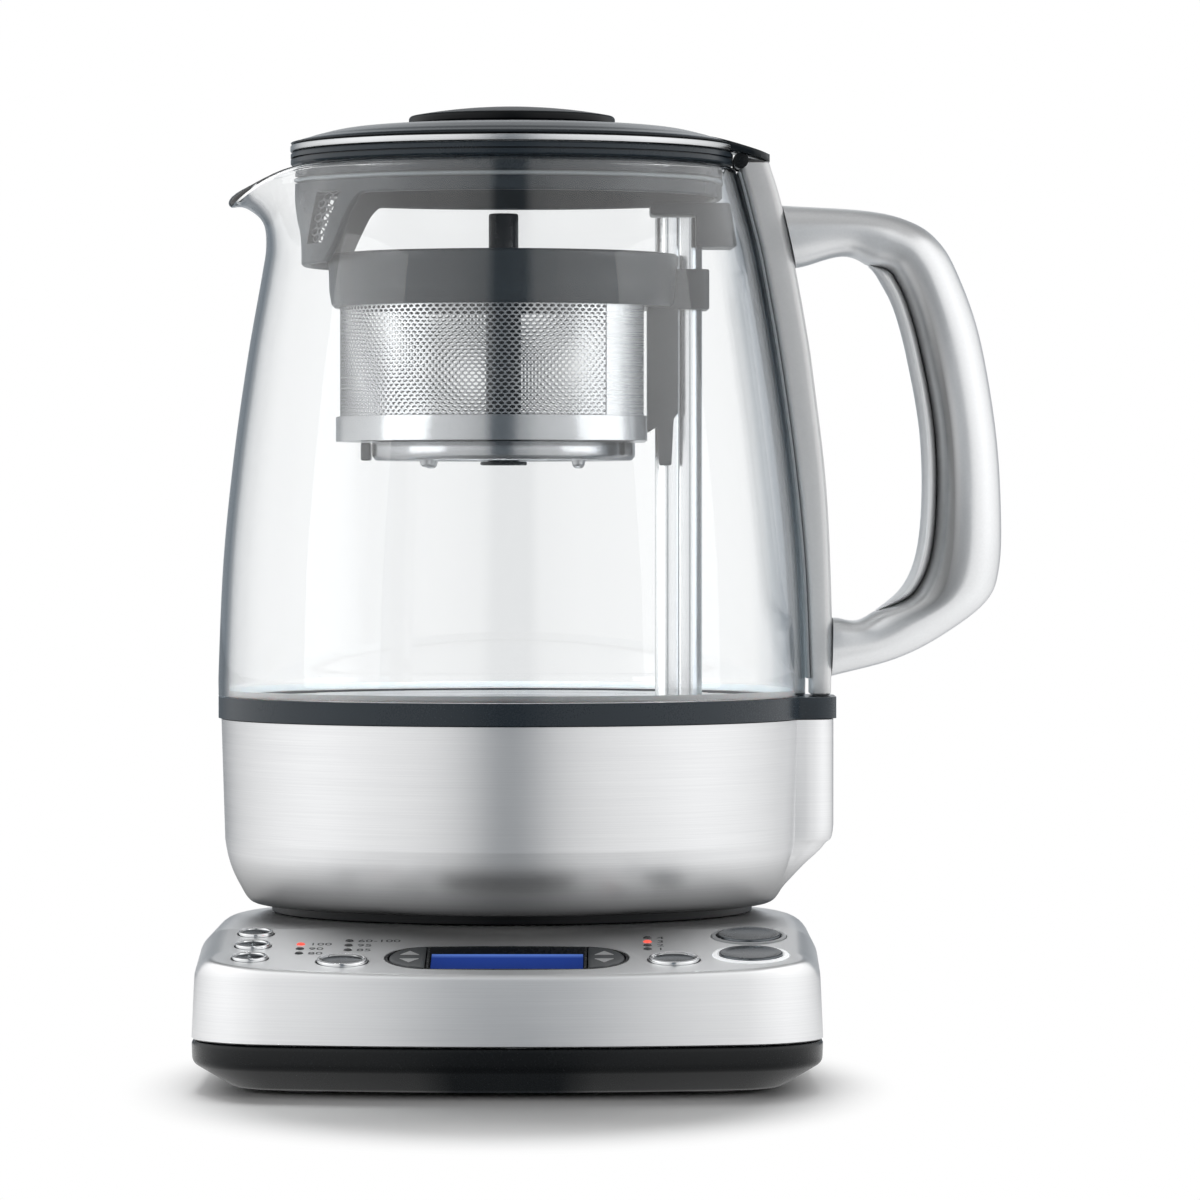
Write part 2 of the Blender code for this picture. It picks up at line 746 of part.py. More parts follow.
def make_lower_housing(base):
    """The black tray under the shell, with its long chamfer."""
    floor_z = FOOT_PROUD + HOUSING_WALL
    rings = [
        base_ring(HOUSING_CHAMFER, FOOT_PROUD),
        base_ring(0, HOUSING_EDGE_Z),
        base_ring(0, HOUSING_TOP_Z),
        base_ring(HOUSING_WALL, HOUSING_TOP_Z),
        base_ring(HOUSING_WALL, HOUSING_EDGE_Z + HOUSING_WALL / 2),
        base_ring(HOUSING_CHAMFER, floor_z),
    ]
    tray = make_lofted("base_lower_housing", rings, BLACK_PLASTIC, base)
    bm = bmesh.new()
    for _, x, y in foot_table():
        add_rod(bm, FOOT_RADIUS + GAP, FOOT_PROUD - OVERRUN, FOOT_THICK + GAP, x, y)
    boolean(tray, finish_helper("foot_pocket_cutter", bm, base), "DIFFERENCE")


def foot_table():
    aside = BASE_HALF_WIDTH - FOOT_SIDE_INSET
    front = FOOT_FRONT_INSET - BASE_FRONT_REACH
    rear = BASE_HALF_WIDTH - FOOT_REAR_INSET
    return [
        ("foot_front_left", -aside, front),
        ("foot_front_right", aside, front),
        ("foot_rear_left", -aside, rear),
        ("foot_rear_right", aside, rear),
    ]


def make_feet(base):
    """Round rubber feet, set in pockets of the tray and standing a little proud."""
    outline = [
        (0, 0),
        (FOOT_RADIUS - FOOT_PROUD / 2, 0),
        (FOOT_RADIUS, FOOT_PROUD / 2),
        (FOOT_RADIUS, FOOT_THICK),
        (0, FOOT_THICK),
    ]
    for name, x, y in foot_table():
        make_turned(name, outline, RUBBER, base, (x, y, 0), SMALL_SIDES)


def make_grommet(base):
    """The outlet that the mains cord passes through, in the rear of the shell."""
    inner = GROMMET_FLANGE - GROMMET_LENGTH
    outline = [
        (GROMMET_BORE_RADIUS, inner),
        (GROMMET_RADIUS, inner),
        (GROMMET_RADIUS, GAP),
        (GROMMET_FLANGE_RADIUS, GAP),
        (GROMMET_FLANGE_RADIUS, GROMMET_FLANGE * GROMMET_TAPER_SHARE),
        (GROMMET_RADIUS, GROMMET_FLANGE),
        (GROMMET_BORE_RADIUS, GROMMET_FLANGE),
    ]
    piece = make_turned(
        "cord_grommet", outline, RUBBER, base, (0, BASE_HALF_WIDTH, GROMMET_Z), SMALL_SIDES
    )
    piece.rotation_euler = (-math.pi / 2, 0, 0)


def make_power_connector(base):
    """The round connector that stands in the seat, held by a flange under it."""
    flange_z = SEAT_Z - SHELL_WALL - GAP
    edge = CONNECTOR_FLANGE / 2
    outline = [
        (0, CONNECTOR_TOP_Z),
        (CONNECTOR_RADIUS - edge, CONNECTOR_TOP_Z),
        (CONNECTOR_RADIUS, CONNECTOR_TOP_Z - edge),
        (CONNECTOR_RADIUS, flange_z),
        (CONNECTOR_FLANGE_RADIUS, flange_z),
        (CONNECTOR_FLANGE_RADIUS, flange_z - CONNECTOR_FLANGE),
        (0, flange_z - CONNECTOR_FLANGE),
    ]
    make_turned("power_connector", outline, BLACK_PLASTIC, base)


# Control panel. Its empty lies on the panel's front edge: X across, Y up the slope, Z out of it.


def button_table():
    """Each button as (name, x, up, cap radius, colour, with a light ring)."""
    names = ["option_button_lower", "option_button_middle", "option_button_upper"]
    rows = []
    for step, name in enumerate(names):
        up = OPTION_BUTTON_UP + step * OPTION_BUTTON_PITCH
        rows.append((name, OPTION_BUTTON_X, up, OPTION_BUTTON_RADIUS, CHROME, False))
    rows.append(("tea_type_button", TEA_TYPE_X, TEA_TYPE_UP, CHOICE_BUTTON_RADIUS, CHROME, False))
    rows.append(("strength_button", STRENGTH_X, STRENGTH_UP, CHOICE_BUTTON_RADIUS, CHROME, False))
    for step, name in enumerate(["start_button", "water_button"]):
        up = LARGE_BUTTON_UP + step * LARGE_BUTTON_PITCH
        rows.append((name, LARGE_BUTTON_X, up, LARGE_BUTTON_RADIUS, DARK_CAP, True))
    return rows


def make_buttons(panel):
    """Round caps on stems. A flange under the panel stops each from coming out."""
    stem_end = -(BOARD_DEPTH - SWITCH_HEIGHT - BUTTON_TRAVEL - GAP)
    for name, x, up, radius, look, ringed in button_table():
        seat = -(LIGHT_RING_DEPTH if ringed else SHELL_WALL) - GAP
        flange = radius + BUTTON_FLANGE
        low = BUTTON_PROUD - BUTTON_DISH
        outline = [(radius * out, low + BUTTON_DISH * rise) for out, rise in CAP_SHARES]
        outline += [
            (radius, low),
            (radius, seat),
            (flange, seat),
            (flange, seat - BUTTON_FLANGE),
            (BUTTON_STEM_RADIUS, seat - BUTTON_FLANGE),
            (BUTTON_STEM_RADIUS, stem_end),
            (0, stem_end),
        ]
        make_turned(name, outline, look, panel, (x, up, 0), SMALL_SIDES)


def make_light_rings(panel):
    """The rings that light up round the two large buttons."""
    inner = LARGE_BUTTON_RADIUS + BUTTON_CLEARANCE
    outer = inner + LIGHT_RING_WIDTH
    outline = [
        (inner, GAP),
        (outer, GAP),
        (outer, -SHELL_WALL - GAP),
        (LARGE_FLANGE_RADIUS, -SHELL_WALL - GAP),
        (LARGE_FLANGE_RADIUS, -LIGHT_RING_DEPTH),
        (inner, -LIGHT_RING_DEPTH),
    ]
    for name, x, up, _, _, ringed in button_table():
        if ringed:
            ring_name = name.replace("button", "light_ring")
            make_turned(ring_name, outline, WHITE_RING, panel, (x, up, 0), SMALL_SIDES)


def cluster_outline(inset):
    """The display cluster's lens-shaped outline: bowed sides and half-elliptic ends."""
    half = WINDOW_HALF_DEPTH + CLUSTER_RIM - inset
    end = CLUSTER_HALF_WIDTH - inset - WINDOW_HALF_WIDTH
    outline = []
    for side in (1, -1):
        for step in range(CLUSTER_END_STEPS + 1):
            angle = math.pi * (step / CLUSTER_END_STEPS - 0.5)
            x = WINDOW_HALF_WIDTH + end * math.cos(angle)
            outline.append((side * x, CLUSTER_UP + side * half * math.sin(angle)))
        outline.append((0, CLUSTER_UP + side * (half + CLUSTER_BOW)))
    return outline


def rocker_outline(side, inset):
    """The half-elliptic outline of one rocker pad, or of its pocket."""
    half = WINDOW_HALF_DEPTH - inset
    start = WINDOW_HALF_WIDTH + CLUSTER_RIM + inset
    end = CLUSTER_HALF_WIDTH - CLUSTER_RIM - inset - start
    outline = []
    for step in range(CLUSTER_END_STEPS + 1):
        angle = math.pi * (step / CLUSTER_END_STEPS - 0.5)
        outline.append((side * (start + end * math.cos(angle)), CLUSTER_UP + half * math.sin(angle)))
    return outline


def make_display(panel):
    """The frame of the cluster, the display module, its window and the two rocker pads."""
    frame_low = GAP - BOARD_DEPTH
    window_low = -WINDOW_SUNK - WINDOW_THICK
    module_low = window_low - GAP - MODULE_THICK
    pocket_x = WINDOW_HALF_WIDTH + GAP
    pocket_y = WINDOW_HALF_DEPTH + GAP
    rocker_floor = -ROCKER_THICK - ROCKER_RIB - GAP

    bm = bmesh.new()
    add_prism(bm, cluster_outline(GAP), frame_low, 0)
    frame = finish_piece("display_frame", bm, BLACK_PLASTIC, panel)

    bm = bmesh.new()
    add_block(
        bm,
        (-pocket_x, CLUSTER_UP - pocket_y, module_low - GAP),
        (pocket_x, CLUSTER_UP + pocket_y, OVERRUN),
    )
    for side in (1, -1):
        add_prism(bm, rocker_outline(side, 0), rocker_floor, OVERRUN)
    boolean(frame, finish_helper("display_pocket_cutter", bm, panel), "DIFFERENCE")

    for name, low, high, look in (
        ("display_window", window_low, -WINDOW_SUNK, CLEAR_WINDOW),
        ("display_module", module_low, window_low - GAP, BLUE_DISPLAY),
    ):
        bm = bmesh.new()
        add_block(
            bm,
            (-WINDOW_HALF_WIDTH, CLUSTER_UP - WINDOW_HALF_DEPTH, low),
            (WINDOW_HALF_WIDTH, CLUSTER_UP + WINDOW_HALF_DEPTH, high),
        )
        finish_piece(name, bm, look, panel)

    for name, side in (("rocker_left", -1), ("rocker_right", 1)):
        make_rocker(name, side, panel, rocker_floor + GAP)


def make_rocker(name, side, panel, pivot_low):
    """A pad that tilts on the foot of its rib, which is the joint's axis."""
    shift = Vector((0, -CLUSTER_UP, -pivot_low))
    bm = bmesh.new()
    add_prism(bm, rocker_outline(side, GAP), -ROCKER_THICK, 0)
    bmesh.ops.translate(bm, verts=bm.verts, vec=shift)
    pad = finish_piece(name, bm, DARK_CAP, panel, -shift)
    start = side * (WINDOW_HALF_WIDTH + CLUSTER_RIM * 2)
    end = side * (CLUSTER_HALF_WIDTH - CLUSTER_RIM * 3)
    bm = bmesh.new()
    add_block(
        bm,
        (min(start, end), -ROCKER_RIB / 2, 0),
        (max(start, end), ROCKER_RIB / 2, ROCKER_RIB + ROCKER_THICK / 2),
    )
    boolean(pad, finish_helper(f"{name}_rib", bm, panel, -shift), "UNION")


def make_board(panel):
    """The control board, with a switch under each button."""
    high = -BOARD_DEPTH
    low = high - BOARD_THICK
    half = SWITCH_SIZE / 2
    bm = bmesh.new()
    add_block(bm, (-BOARD_HALF_WIDTH, BOARD_NEAR_UP, low), (BOARD_HALF_WIDTH, BOARD_FAR_UP, high))
    board = finish_piece("control_board", bm, GREEN_BOARD, panel)
    bm = bmesh.new()
    for _, x, up, _, _, _ in button_table():
        add_block(
            bm,
            (x - half, up - half, high - BOARD_THICK / 2),
            (x + half, up + half, high + SWITCH_HEIGHT),
        )
    boolean(board, finish_helper("switch_blocks", bm, panel), "UNION")


def tea_light_places():
    places = []
    for column in range(2):
        for row in range(3):
            up = TEA_LIGHT_UP + column * TEA_COLUMN_RISE + row * TEA_LIGHT_PITCH
            places.append((TEA_LIGHT_X + column * TEA_COLUMN_STEP, up))
    return places


def strength_light_places():
    return [(STRENGTH_LIGHT_X, STRENGTH_LIGHT_UP + row * STRENGTH_LIGHT_PITCH) for row in range(4)]


def make_light_guides(panel):
    """Bars on the board whose pins carry the lights up to the panel's face."""
    low = GAP - BOARD_DEPTH
    high = low + LIGHT_BAR_THICK
    margin = LIGHT_RADIUS * 2
    for name, places in (
        ("tea_light_guide", tea_light_places()),
        ("strength_light_guide", strength_light_places()),
    ):
        xs = [place[0] for place in places]
        ups = [place[1] for place in places]
        bm = bmesh.new()
        add_block(
            bm,
            (min(xs) - margin, min(ups) - margin, low),
            (max(xs) + margin, max(ups) + margin, high),
        )
        guide = finish_piece(name, bm, LIGHT_GUIDE, panel)
        bm = bmesh.new()
        for x, up in places:
            add_rod(bm, LIGHT_RADIUS, low + LIGHT_BAR_THICK / 2, 0, x, up, PIN_SIDES)
        boolean(guide, finish_helper(f"{name}_pins", bm, panel), "UNION")


# Jug


def make_socket(socket):
    """The jug's half of the round connector. It fits over the base's half."""
    recess_radius = CONNECTOR_RADIUS + SOCKET_CLEARANCE
    recess_top = CONNECTOR_TOP_Z + SOCKET_CLEARANCE
    outline = [
        (0, recess_top + SOCKET_ROOF),
        (SOCKET_RADIUS, recess_top + SOCKET_ROOF),
        (SOCKET_RADIUS, FOOT_RING_Z),
        (recess_radius, FOOT_RING_Z),
        (recess_radius, recess_top),
        (0, recess_top),
    ]
    make_turned("jug_socket", outline, BLACK_PLASTIC, socket)


def make_jug_foot(jug):
    """The black ring that the jug stands on, clipped over the steel body's lower edge."""
    hole = SOCKET_RADIUS + SOCKET_CLEARANCE
    lip_z = STEEL_BOTTOM_Z + STEEL_WALL + GAP * 2
    plate_z = FOOT_RING_Z + FOOT_RING_WALL
    outline = [
        (hole, FOOT_RING_Z),
        (FOOT_RING_RADIUS, FOOT_RING_Z),
        (FOOT_RING_RADIUS, lip_z),
        (FOOT_RING_RADIUS + FOOT_RING_LIP, lip_z),
        (FOOT_RING_RADIUS + FOOT_RING_LIP, FOOT_RING_TOP_Z),
        (FOOT_RING_RADIUS - FOOT_RING_WALL, FOOT_RING_TOP_Z),
        (FOOT_RING_RADIUS - FOOT_RING_WALL * 2, plate_z),
        (hole, plate_z),
    ]
    make_turned("jug_foot", outline, BLACK_PLASTIC, jug)


def body_ring(radius, reach, share, height):
    """A round ring with a rounded step towards +X that stands out by a share of its reach."""
    start = math.asin(BUMP_HALF_WIDTH / radius)
    ring = []
    for step in range(BODY_STEPS + 1):
        angle = start + (math.tau - 2 * start) * step / BODY_STEPS
        ring.append(Vector((radius * math.cos(angle), radius * math.sin(angle), height)))
    stepped = rounded_step(reach, BUMP_HALF_WIDTH, BUMP_CORNER)
    for index, (x, y) in enumerate(stepped):
        angle = -start + 2 * start * (index + 1) / (len(stepped) + 1)
        plain = Vector((radius * math.cos(angle), radius * math.sin(angle), height))
        ring.append(plain.lerp(Vector((x, y, height)), share))
    return ring


def rounded_step(reach, half, corner):
    """The end of the step in plan, from -Y to +Y."""
    points = []
    for side in (-1, 1):
        turns = range(BUMP_CORNER_STEPS + 1)
        for turn in turns if side < 0 else reversed(turns):
            angle = math.pi / 2 * turn / BUMP_CORNER_STEPS
            x = reach - corner + corner * math.sin(angle)
            points.append((x, side * (half - corner + corner * math.cos(angle))))
    return points


def make_steel_body(jug):
    """The brushed lower body, a thin shell with the step that the handle stands on."""
    height = STEEL_TOP_Z - STEEL_BOTTOM_Z
    bm = bmesh.new()
    rows = []
    for out, up, share in STEEL_SHARES:
        ring = body_ring(STEEL_RADIUS * out, BUMP_REACH, share, STEEL_BOTTOM_Z + height * up)
        rows.append([bm.verts.new(point) for point in ring])
    skin_rows(bm, rows)
    body = finish_piece("steel_body", bm, BRUSHED_STEEL, jug)
    thicken(body, STEEL_WALL)


def skin_rows(bm, rows):
    """Join rows of points into an open skin that faces outwards."""
    for lower, upper in zip(rows, rows[1:]):
        for index, corner in enumerate(lower):
            after = (index + 1) % len(lower)
            bm.faces.new((corner, lower[after], upper[after], upper[index]))


def thicken(piece, wall):
    """Give an open skin its wall, on the inner side."""
    step = piece.modifiers.new("wall", "SOLIDIFY")
    step.thickness = wall
    step.offset = -1
    step.use_even_offset = True


def make_waist_ring(jug):
    """The dark ring that joins steel and glass. The floor plate lies on its inner ledge."""
    floor_hole = FLOOR_RADIUS + FACET_SAG + GAP
    ledge = floor_hole - WAIST_LEDGE
    lip = STEEL_RADIUS - STEEL_WALL - GAP * 2
    lip_z = WAIST_BOTTOM_Z - WAIST_LIP_DEPTH

    def inner(radius, height):
        return body_ring(radius, WAIST_REACH, 0, height)

    rings = [
        body_ring(WAIST_RADIUS, WAIST_REACH, 1, WAIST_BOTTOM_Z),
        body_ring(WAIST_RADIUS, WAIST_REACH, 1, WAIST_TOP_Z),
        inner(floor_hole, WAIST_TOP_Z),
        inner(floor_hole, LEDGE_Z),
        inner(ledge, LEDGE_Z),
        inner(ledge, lip_z),
        inner(lip, lip_z),
        inner(lip, WAIST_BOTTOM_Z),
    ]
    make_lofted("waist_ring", rings, SLATE_PLASTIC, jug, closed=True)


def make_floor(jug):
    """The steel floor plate, its seal against the glass and the heater under it."""
    low = FLOOR_TOP_Z - FLOOR_THICK
    bm = bmesh.new()
    add_turned(bm, disc_outline(FLOOR_RADIUS, low, FLOOR_TOP_Z))
    plate = finish_piece("floor_plate", bm, SATIN_METAL, jug)
    bm = bmesh.new()
    add_rod(bm, SCREW_RADIUS + SCREW_CLEARANCE, low - OVERRUN, FLOOR_TOP_Z + OVERRUN, POST_X)
    boolean(plate, finish_helper("screw_hole_cutter", bm, jug), "DIFFERENCE")

    seal_outer = WAIST_RADIUS - GLASS_WALL - GAP
    seal = [
        (FLOOR_RADIUS - SEAL_HEIGHT, GLASS_BOTTOM_Z),
        (seal_outer, GLASS_BOTTOM_Z),
        (seal_outer, GLASS_BOTTOM_Z + SEAL_HEIGHT),
    ]
    make_turned("floor_seal", seal, SILICONE, jug)

    centre_z = low - GAP - HEATER_TUBE
    tube = []
    for step in range(PIN_SIDES):
        angle = math.tau * step / PIN_SIDES + math.pi / PIN_SIDES
        out = HEATER_RADIUS + HEATER_TUBE * math.cos(angle)
        tube.append((out, centre_z + HEATER_TUBE * math.sin(angle)))
    make_turned("heater_ring", tube, DARK_METAL, jug, sides=PLAIN_SIDES)


def glass_table():
    """The outer wall as (radius, height) in metres."""
    height = GLASS_TOP_Z - GLASS_BOTTOM_Z
    return [(WAIST_RADIUS * out, GLASS_BOTTOM_Z + height * up) for out, up in GLASS_SHARES]


def make_glass(jug):
    """The glass wall. Its last rings flow out and down into the spout's lip."""
    table = glass_table()
    plain_rings = len(table) - len(SPOUT_SHARES)
    lips = [(0.0, 0.0)] * plain_rings + SPOUT_SHARES
    bm = bmesh.new()
    rows = []
    for (radius, height), (way_out, way_down) in zip(table, lips):
        row = []
        for step in range(RING_SIDES):
            angle = math.tau * step / RING_SIDES
            near = smooth_step(1 - abs(angle - math.pi) / SPOUT_HALF_ANGLE)
            out = radius + SPOUT_REACH * way_out * near
            z = height - SPOUT_DROP * way_down * near
            row.append(bm.verts.new((out * math.cos(angle), out * math.sin(angle), z)))
        rows.append(row)
    skin_rows(bm, rows)
    glass = finish_piece("glass_jug", bm, CLEAR_GLASS, jug)
    thicken(glass, GLASS_WALL)


def spine_outer():
    """The spine's outer edge as (x, height) in metres, from the bottom up."""
    low = WAIST_TOP_Z + GAP
    across = SPINE_REACH - SPINE_TOP_X
    height = SPINE_TOP_Z - low
    return [(SPINE_TOP_X + across * out, low + height * up) for out, up in SPINE_SHARES]


def make_spine(jug):
    """The metal strip behind the glass that the handle is fixed to."""
    outer = spine_outer()
    table = glass_table()
    inner = [(table_value(table, z) + SPINE_GLASS_GAP, z) for _, z in reversed(outer)]
    shoulder = (PIN_X + PIN_RADIUS + GAP + SPINE_SHOULDER, SPINE_TOP_Z + SPINE_SHOULDER_RISE)
    bm = bmesh.new()
    add_prism(bm, outer + [shoulder] + inner, -SPINE_HALF_WIDTH, SPINE_HALF_WIDTH, across="XZ")
    spine = finish_piece("spine", bm, SATIN_METAL, jug)
    soften(spine, SPINE_BEVEL)
    cut_pin_seat(spine, jug)


def cut_pin_seat(spine, jug):
    """The hollow in the spine's top that the rest pin lies in."""
    seat = PIN_RADIUS + GAP
    half = SPINE_HALF_WIDTH + OVERRUN
    bm = bmesh.new()
    add_rod(bm, seat, -half, half, sides=PIN_SIDES)
    cutter = finish_helper("pin_seat_cutter", bm, jug, (PIN_X, 0, PIN_Z))
    cutter.rotation_euler = (math.pi / 2, 0, 0)
    boolean(spine, cutter, "DIFFERENCE")


def make_handle(jug):
    """The handle, swept through pairs of outer and inner points, with a grip inside its bend."""
    across = HANDLE_REACH - HANDLE_ROOT_X
    height = HANDLE_TOP_Z - HANDLE_BOTTOM_Z

    def real(shares):
        return [Vector((HANDLE_ROOT_X + across * x, 0, HANDLE_BOTTOM_Z + height * z)) for x, z in shares]

    outer = real(HANDLE_OUTER_SHARES)
    inner = real(HANDLE_INNER_SHARES)
    for end in (0, -1):
        for points in (outer, inner):
            points[end].x = table_value(spine_outer(), points[end].z) + GAP
    shell = []
    grip = []
    for out, back in zip(outer, inner):
        way = (out - back).normalized()
        shell.append(section(back + way * (GRIP_THICK + GAP), out, HANDLE_HALF_WIDTH))
        grip.append(section(back, back + way * GRIP_THICK, GRIP_HALF_WIDTH))
    make_lofted("handle_shell", shell, SATIN_METAL, jug)
    make_lofted("handle_grip", grip, SATIN_METAL, jug)


def section(start, end, half_width):
    """A rounded section between two points, wide along Y."""
    middle = (start + end) / 2
    reach = (end - start) / 2
    power = 2 / HANDLE_SQUARENESS
    ring = []
    for step in range(HANDLE_SECTION_SIDES):
        angle = math.tau * step / HANDLE_SECTION_SIDES
        along = math.copysign(abs(math.cos(angle)) ** power, math.cos(angle))
        aside = math.copysign(abs(math.sin(angle)) ** power, math.sin(angle))
        ring.append(middle + reach * along + Vector((0, half_width * aside, 0)))
    return ring


def post_outline(grow):
    return rounded_box(
        POST_INNER_X - grow,
        POST_OUTER_X + grow,
        -POST_HALF_WIDTH - grow,
        POST_HALF_WIDTH + grow,
        POST_CORNER + grow,
    )


def make_post(jug):
    """The hollow guide post that the basket rides on."""
    low = FLOOR_TOP_Z + GAP
    rings = []
    for grow, height in ((0, low), (0, POST_TOP_Z), (-POST_WALL, POST_TOP_Z), (-POST_WALL, low)):
        rings.append([Vector((x, y, height)) for x, y in post_outline(grow)])
    make_lofted("guide_post", rings, SATIN_METAL, jug, closed=True)


def make_bracket(jug):
    """The grey bracket that holds the post's top to the jug's wall."""
    outline = [
        (BRACKET_INNER_X, BRACKET_TOP_Z),
        (BRACKET_INNER_X, BRACKET_TOP_Z - BRACKET_LIP),
        (BRACKET_STEP_X, BRACKET_TOP_Z - BRACKET_LIP),
        (BRACKET_STEP_X, BRACKET_LOW_Z),
        (BRACKET_OUTER_X, BRACKET_LOW_Z),
        (BRACKET_OUTER_X - BRACKET_TAPER, BRACKET_TOP_Z),
    ]
    bm = bmesh.new()
    add_prism(bm, outline, -BRACKET_HALF_WIDTH, BRACKET_HALF_WIDTH, across="XZ")
    bracket = finish_piece("post_top_bracket", bm, SLATE_PLASTIC, jug)
    bm = bmesh.new()
    add_prism(bm, post_outline(GAP), BRACKET_LOW_Z - OVERRUN, POST_TOP_Z + GAP)
    boolean(bracket, finish_helper("post_socket_cutter", bm, jug), "DIFFERENCE")


def make_lift(jug, screw, carriage):
    """The motor in the foot, its screw up the post and the carriage that the screw moves."""
    motor_low = FOOT_RING_Z + FOOT_RING_WALL + GAP
    motor_top = motor_low + MOTOR_HEIGHT
    outline = [
        (0, motor_low),
        (MOTOR_RADIUS, motor_low),
        (MOTOR_RADIUS, motor_top),
        (MOTOR_NOSE_RADIUS, motor_top),
        (MOTOR_NOSE_RADIUS, motor_top + MOTOR_NOSE),
        (0, motor_top + MOTOR_NOSE),
    ]
    make_turned("lift_motor", outline, DARK_METAL, jug, (POST_X, 0, 0), SMALL_SIDES)
    bm = bmesh.new()
    add_rod(bm, SCREW_RADIUS, motor_top + MOTOR_NOSE + GAP, SCREW_TOP_Z, sides=PIN_SIDES * 2)
    finish_piece("lift_screw", bm, SATIN_METAL, screw)

    centre_z = (LUG_BOTTOM_Z + LUG_TOP_Z) / 2
    low = centre_z - CARRIAGE_HEIGHT / 2
    high = centre_z + CARRIAGE_HEIGHT / 2
    bm = bmesh.new()
    add_prism(bm, post_outline(-POST_WALL - CARRIAGE_CLEARANCE), low, high)
    block = finish_piece("magnet_carriage", bm, BLACK_PLASTIC, carriage)
    bm = bmesh.new()
    add_rod(bm, SCREW_RADIUS + SCREW_CLEARANCE, low - OVERRUN, high + OVERRUN, POST_X)
    boolean(block, finish_helper("carriage_bore_cutter", bm, carriage), "DIFFERENCE")


# Lid


def make_lid(lid):
    make_lid_cover(lid)
    make_lid_trim(lid)
    make_lid_skirt(lid)
    make_knob(lid)


def dome_points():
    """The cover's outer dome as (radius, height), from its edge to near its middle."""
    rise = LID_CROWN_Z - COVER_EDGE_Z
    return [(LID_RIM_RADIUS * out, COVER_EDGE_Z + rise * up) for out, up in DOME_SHARES]


def make_lid_cover(lid):
    """The dark domed cover, with a tail that reaches back over the spine."""
    collar = LID_SKIRT_RADIUS - GAP
    dome = dome_points()
    under = [(out - LID_WALL, up - LID_WALL) for out, up in dome[2::2]]
    outline = [(0, LID_CROWN_Z)] + list(reversed(dome))
    outline += [
        (collar, COVER_EDGE_Z),
        (collar, TRIM_BOTTOM_Z),
        (collar - LID_WALL, TRIM_BOTTOM_Z),
    ]
    outline += under + [(0, LID_CROWN_Z - LID_WALL)]
    bm = bmesh.new()
    add_turned(bm, outline)
    cover = finish_piece("lid_cover", bm, SLATE_PLASTIC, lid)

    end_top = COVER_EDGE_Z + LID_WALL - TAIL_TOP_DROP + TAIL_THICK
    tail = [
        (TAIL_START_X, TRIM_BOTTOM_Z),
        (LID_RIM_RADIUS + GAP * 2, TRIM_BOTTOM_Z),
        (TAIL_END_X, end_top - TAIL_THICK),
        (TAIL_END_X, end_top),
        (TAIL_START_X, COVER_EDGE_Z + LID_WALL),
    ]
    bm = bmesh.new()
    add_prism(bm, tail, -TAIL_HALF_WIDTH, TAIL_HALF_WIDTH, across="XZ")
    boolean(cover, finish_helper("lid_tail", bm, lid), "UNION")


def make_lid_trim(lid):
    """The bright ring under the cover's edge, open where the tail passes."""
    outer = LID_RIM_RADIUS + LID_TRIM_PROUD
    inner = outer - LID_TRIM_WIDTH
    outline = [
        (inner, TRIM_BOTTOM_Z),
        (outer, TRIM_BOTTOM_Z),
        (outer, TRIM_TOP_Z),
        (inner, TRIM_TOP_Z),
    ]
    trim = make_turned("lid_trim_ring", outline, CHROME, lid)
    half = TAIL_HALF_WIDTH + GAP
    bm = bmesh.new()
    add_block(bm, (0, -half, TRIM_BOTTOM_Z - OVERRUN), (outer + OVERRUN, half, TRIM_TOP_Z + OVERRUN))
    boolean(trim, finish_helper("trim_gap_cutter", bm, lid), "DIFFERENCE")


def skirt_bottom(angle):
    """The skirt's lower edge: level, but deep at the spout, with slanted sides."""
    away = abs(angle - math.pi)
    share = (LID_NOSE_TOP_ANGLE - away) / (LID_NOSE_TOP_ANGLE - LID_NOSE_BOTTOM_ANGLE)
    return LID_SKIRT_BOTTOM_Z + (LID_NOSE_BOTTOM_Z - LID_SKIRT_BOTTOM_Z) * min(max(share, 0), 1)


def make_lid_skirt(lid):
    """The rim on the glass, the skirt in the jug's mouth and the seal in its groove."""
    inner_radius = LID_SKIRT_RADIUS - LID_SKIRT_WALL
    groove = LID_SKIRT_RADIUS - SKIRT_SEAL_DEPTH
    half_seal = SKIRT_SEAL_RADIUS + GAP
    outline = [
        (inner_radius, LID_BAND_Z),
        (LID_RIM_RADIUS, LID_BAND_Z),
        (LID_RIM_RADIUS, LID_RIM_Z),
        (LID_SKIRT_RADIUS, LID_RIM_Z),
        (LID_SKIRT_RADIUS, SKIRT_SEAL_Z + half_seal),
        (groove, SKIRT_SEAL_Z + half_seal),
        (groove, SKIRT_SEAL_Z - half_seal),
        (LID_SKIRT_RADIUS, SKIRT_SEAL_Z - half_seal),
        (LID_SKIRT_RADIUS, None),
        (inner_radius, None),
    ]
    rings = []
    for radius, height in outline:
        ring = []
        for step in range(RING_SIDES):
            angle = math.tau * step / RING_SIDES
            z = skirt_bottom(angle) if height is None else height
            ring.append(Vector((radius * math.cos(angle), radius * math.sin(angle), z)))
        rings.append(ring)
    make_lofted("lid_skirt", rings, SLATE_PLASTIC, lid, closed=True)
    seal_inner = groove + GAP
    seal_outer = LID_SKIRT_RADIUS + GAP
    seal = [
        (seal_inner, SKIRT_SEAL_Z - SKIRT_SEAL_RADIUS),
        (seal_outer, SKIRT_SEAL_Z - SKIRT_SEAL_RADIUS / 2),
        (seal_outer, SKIRT_SEAL_Z + SKIRT_SEAL_RADIUS / 2),
        (seal_inner, SKIRT_SEAL_Z + SKIRT_SEAL_RADIUS),
    ]
    make_turned("lid_seal", seal, SILICONE, lid)


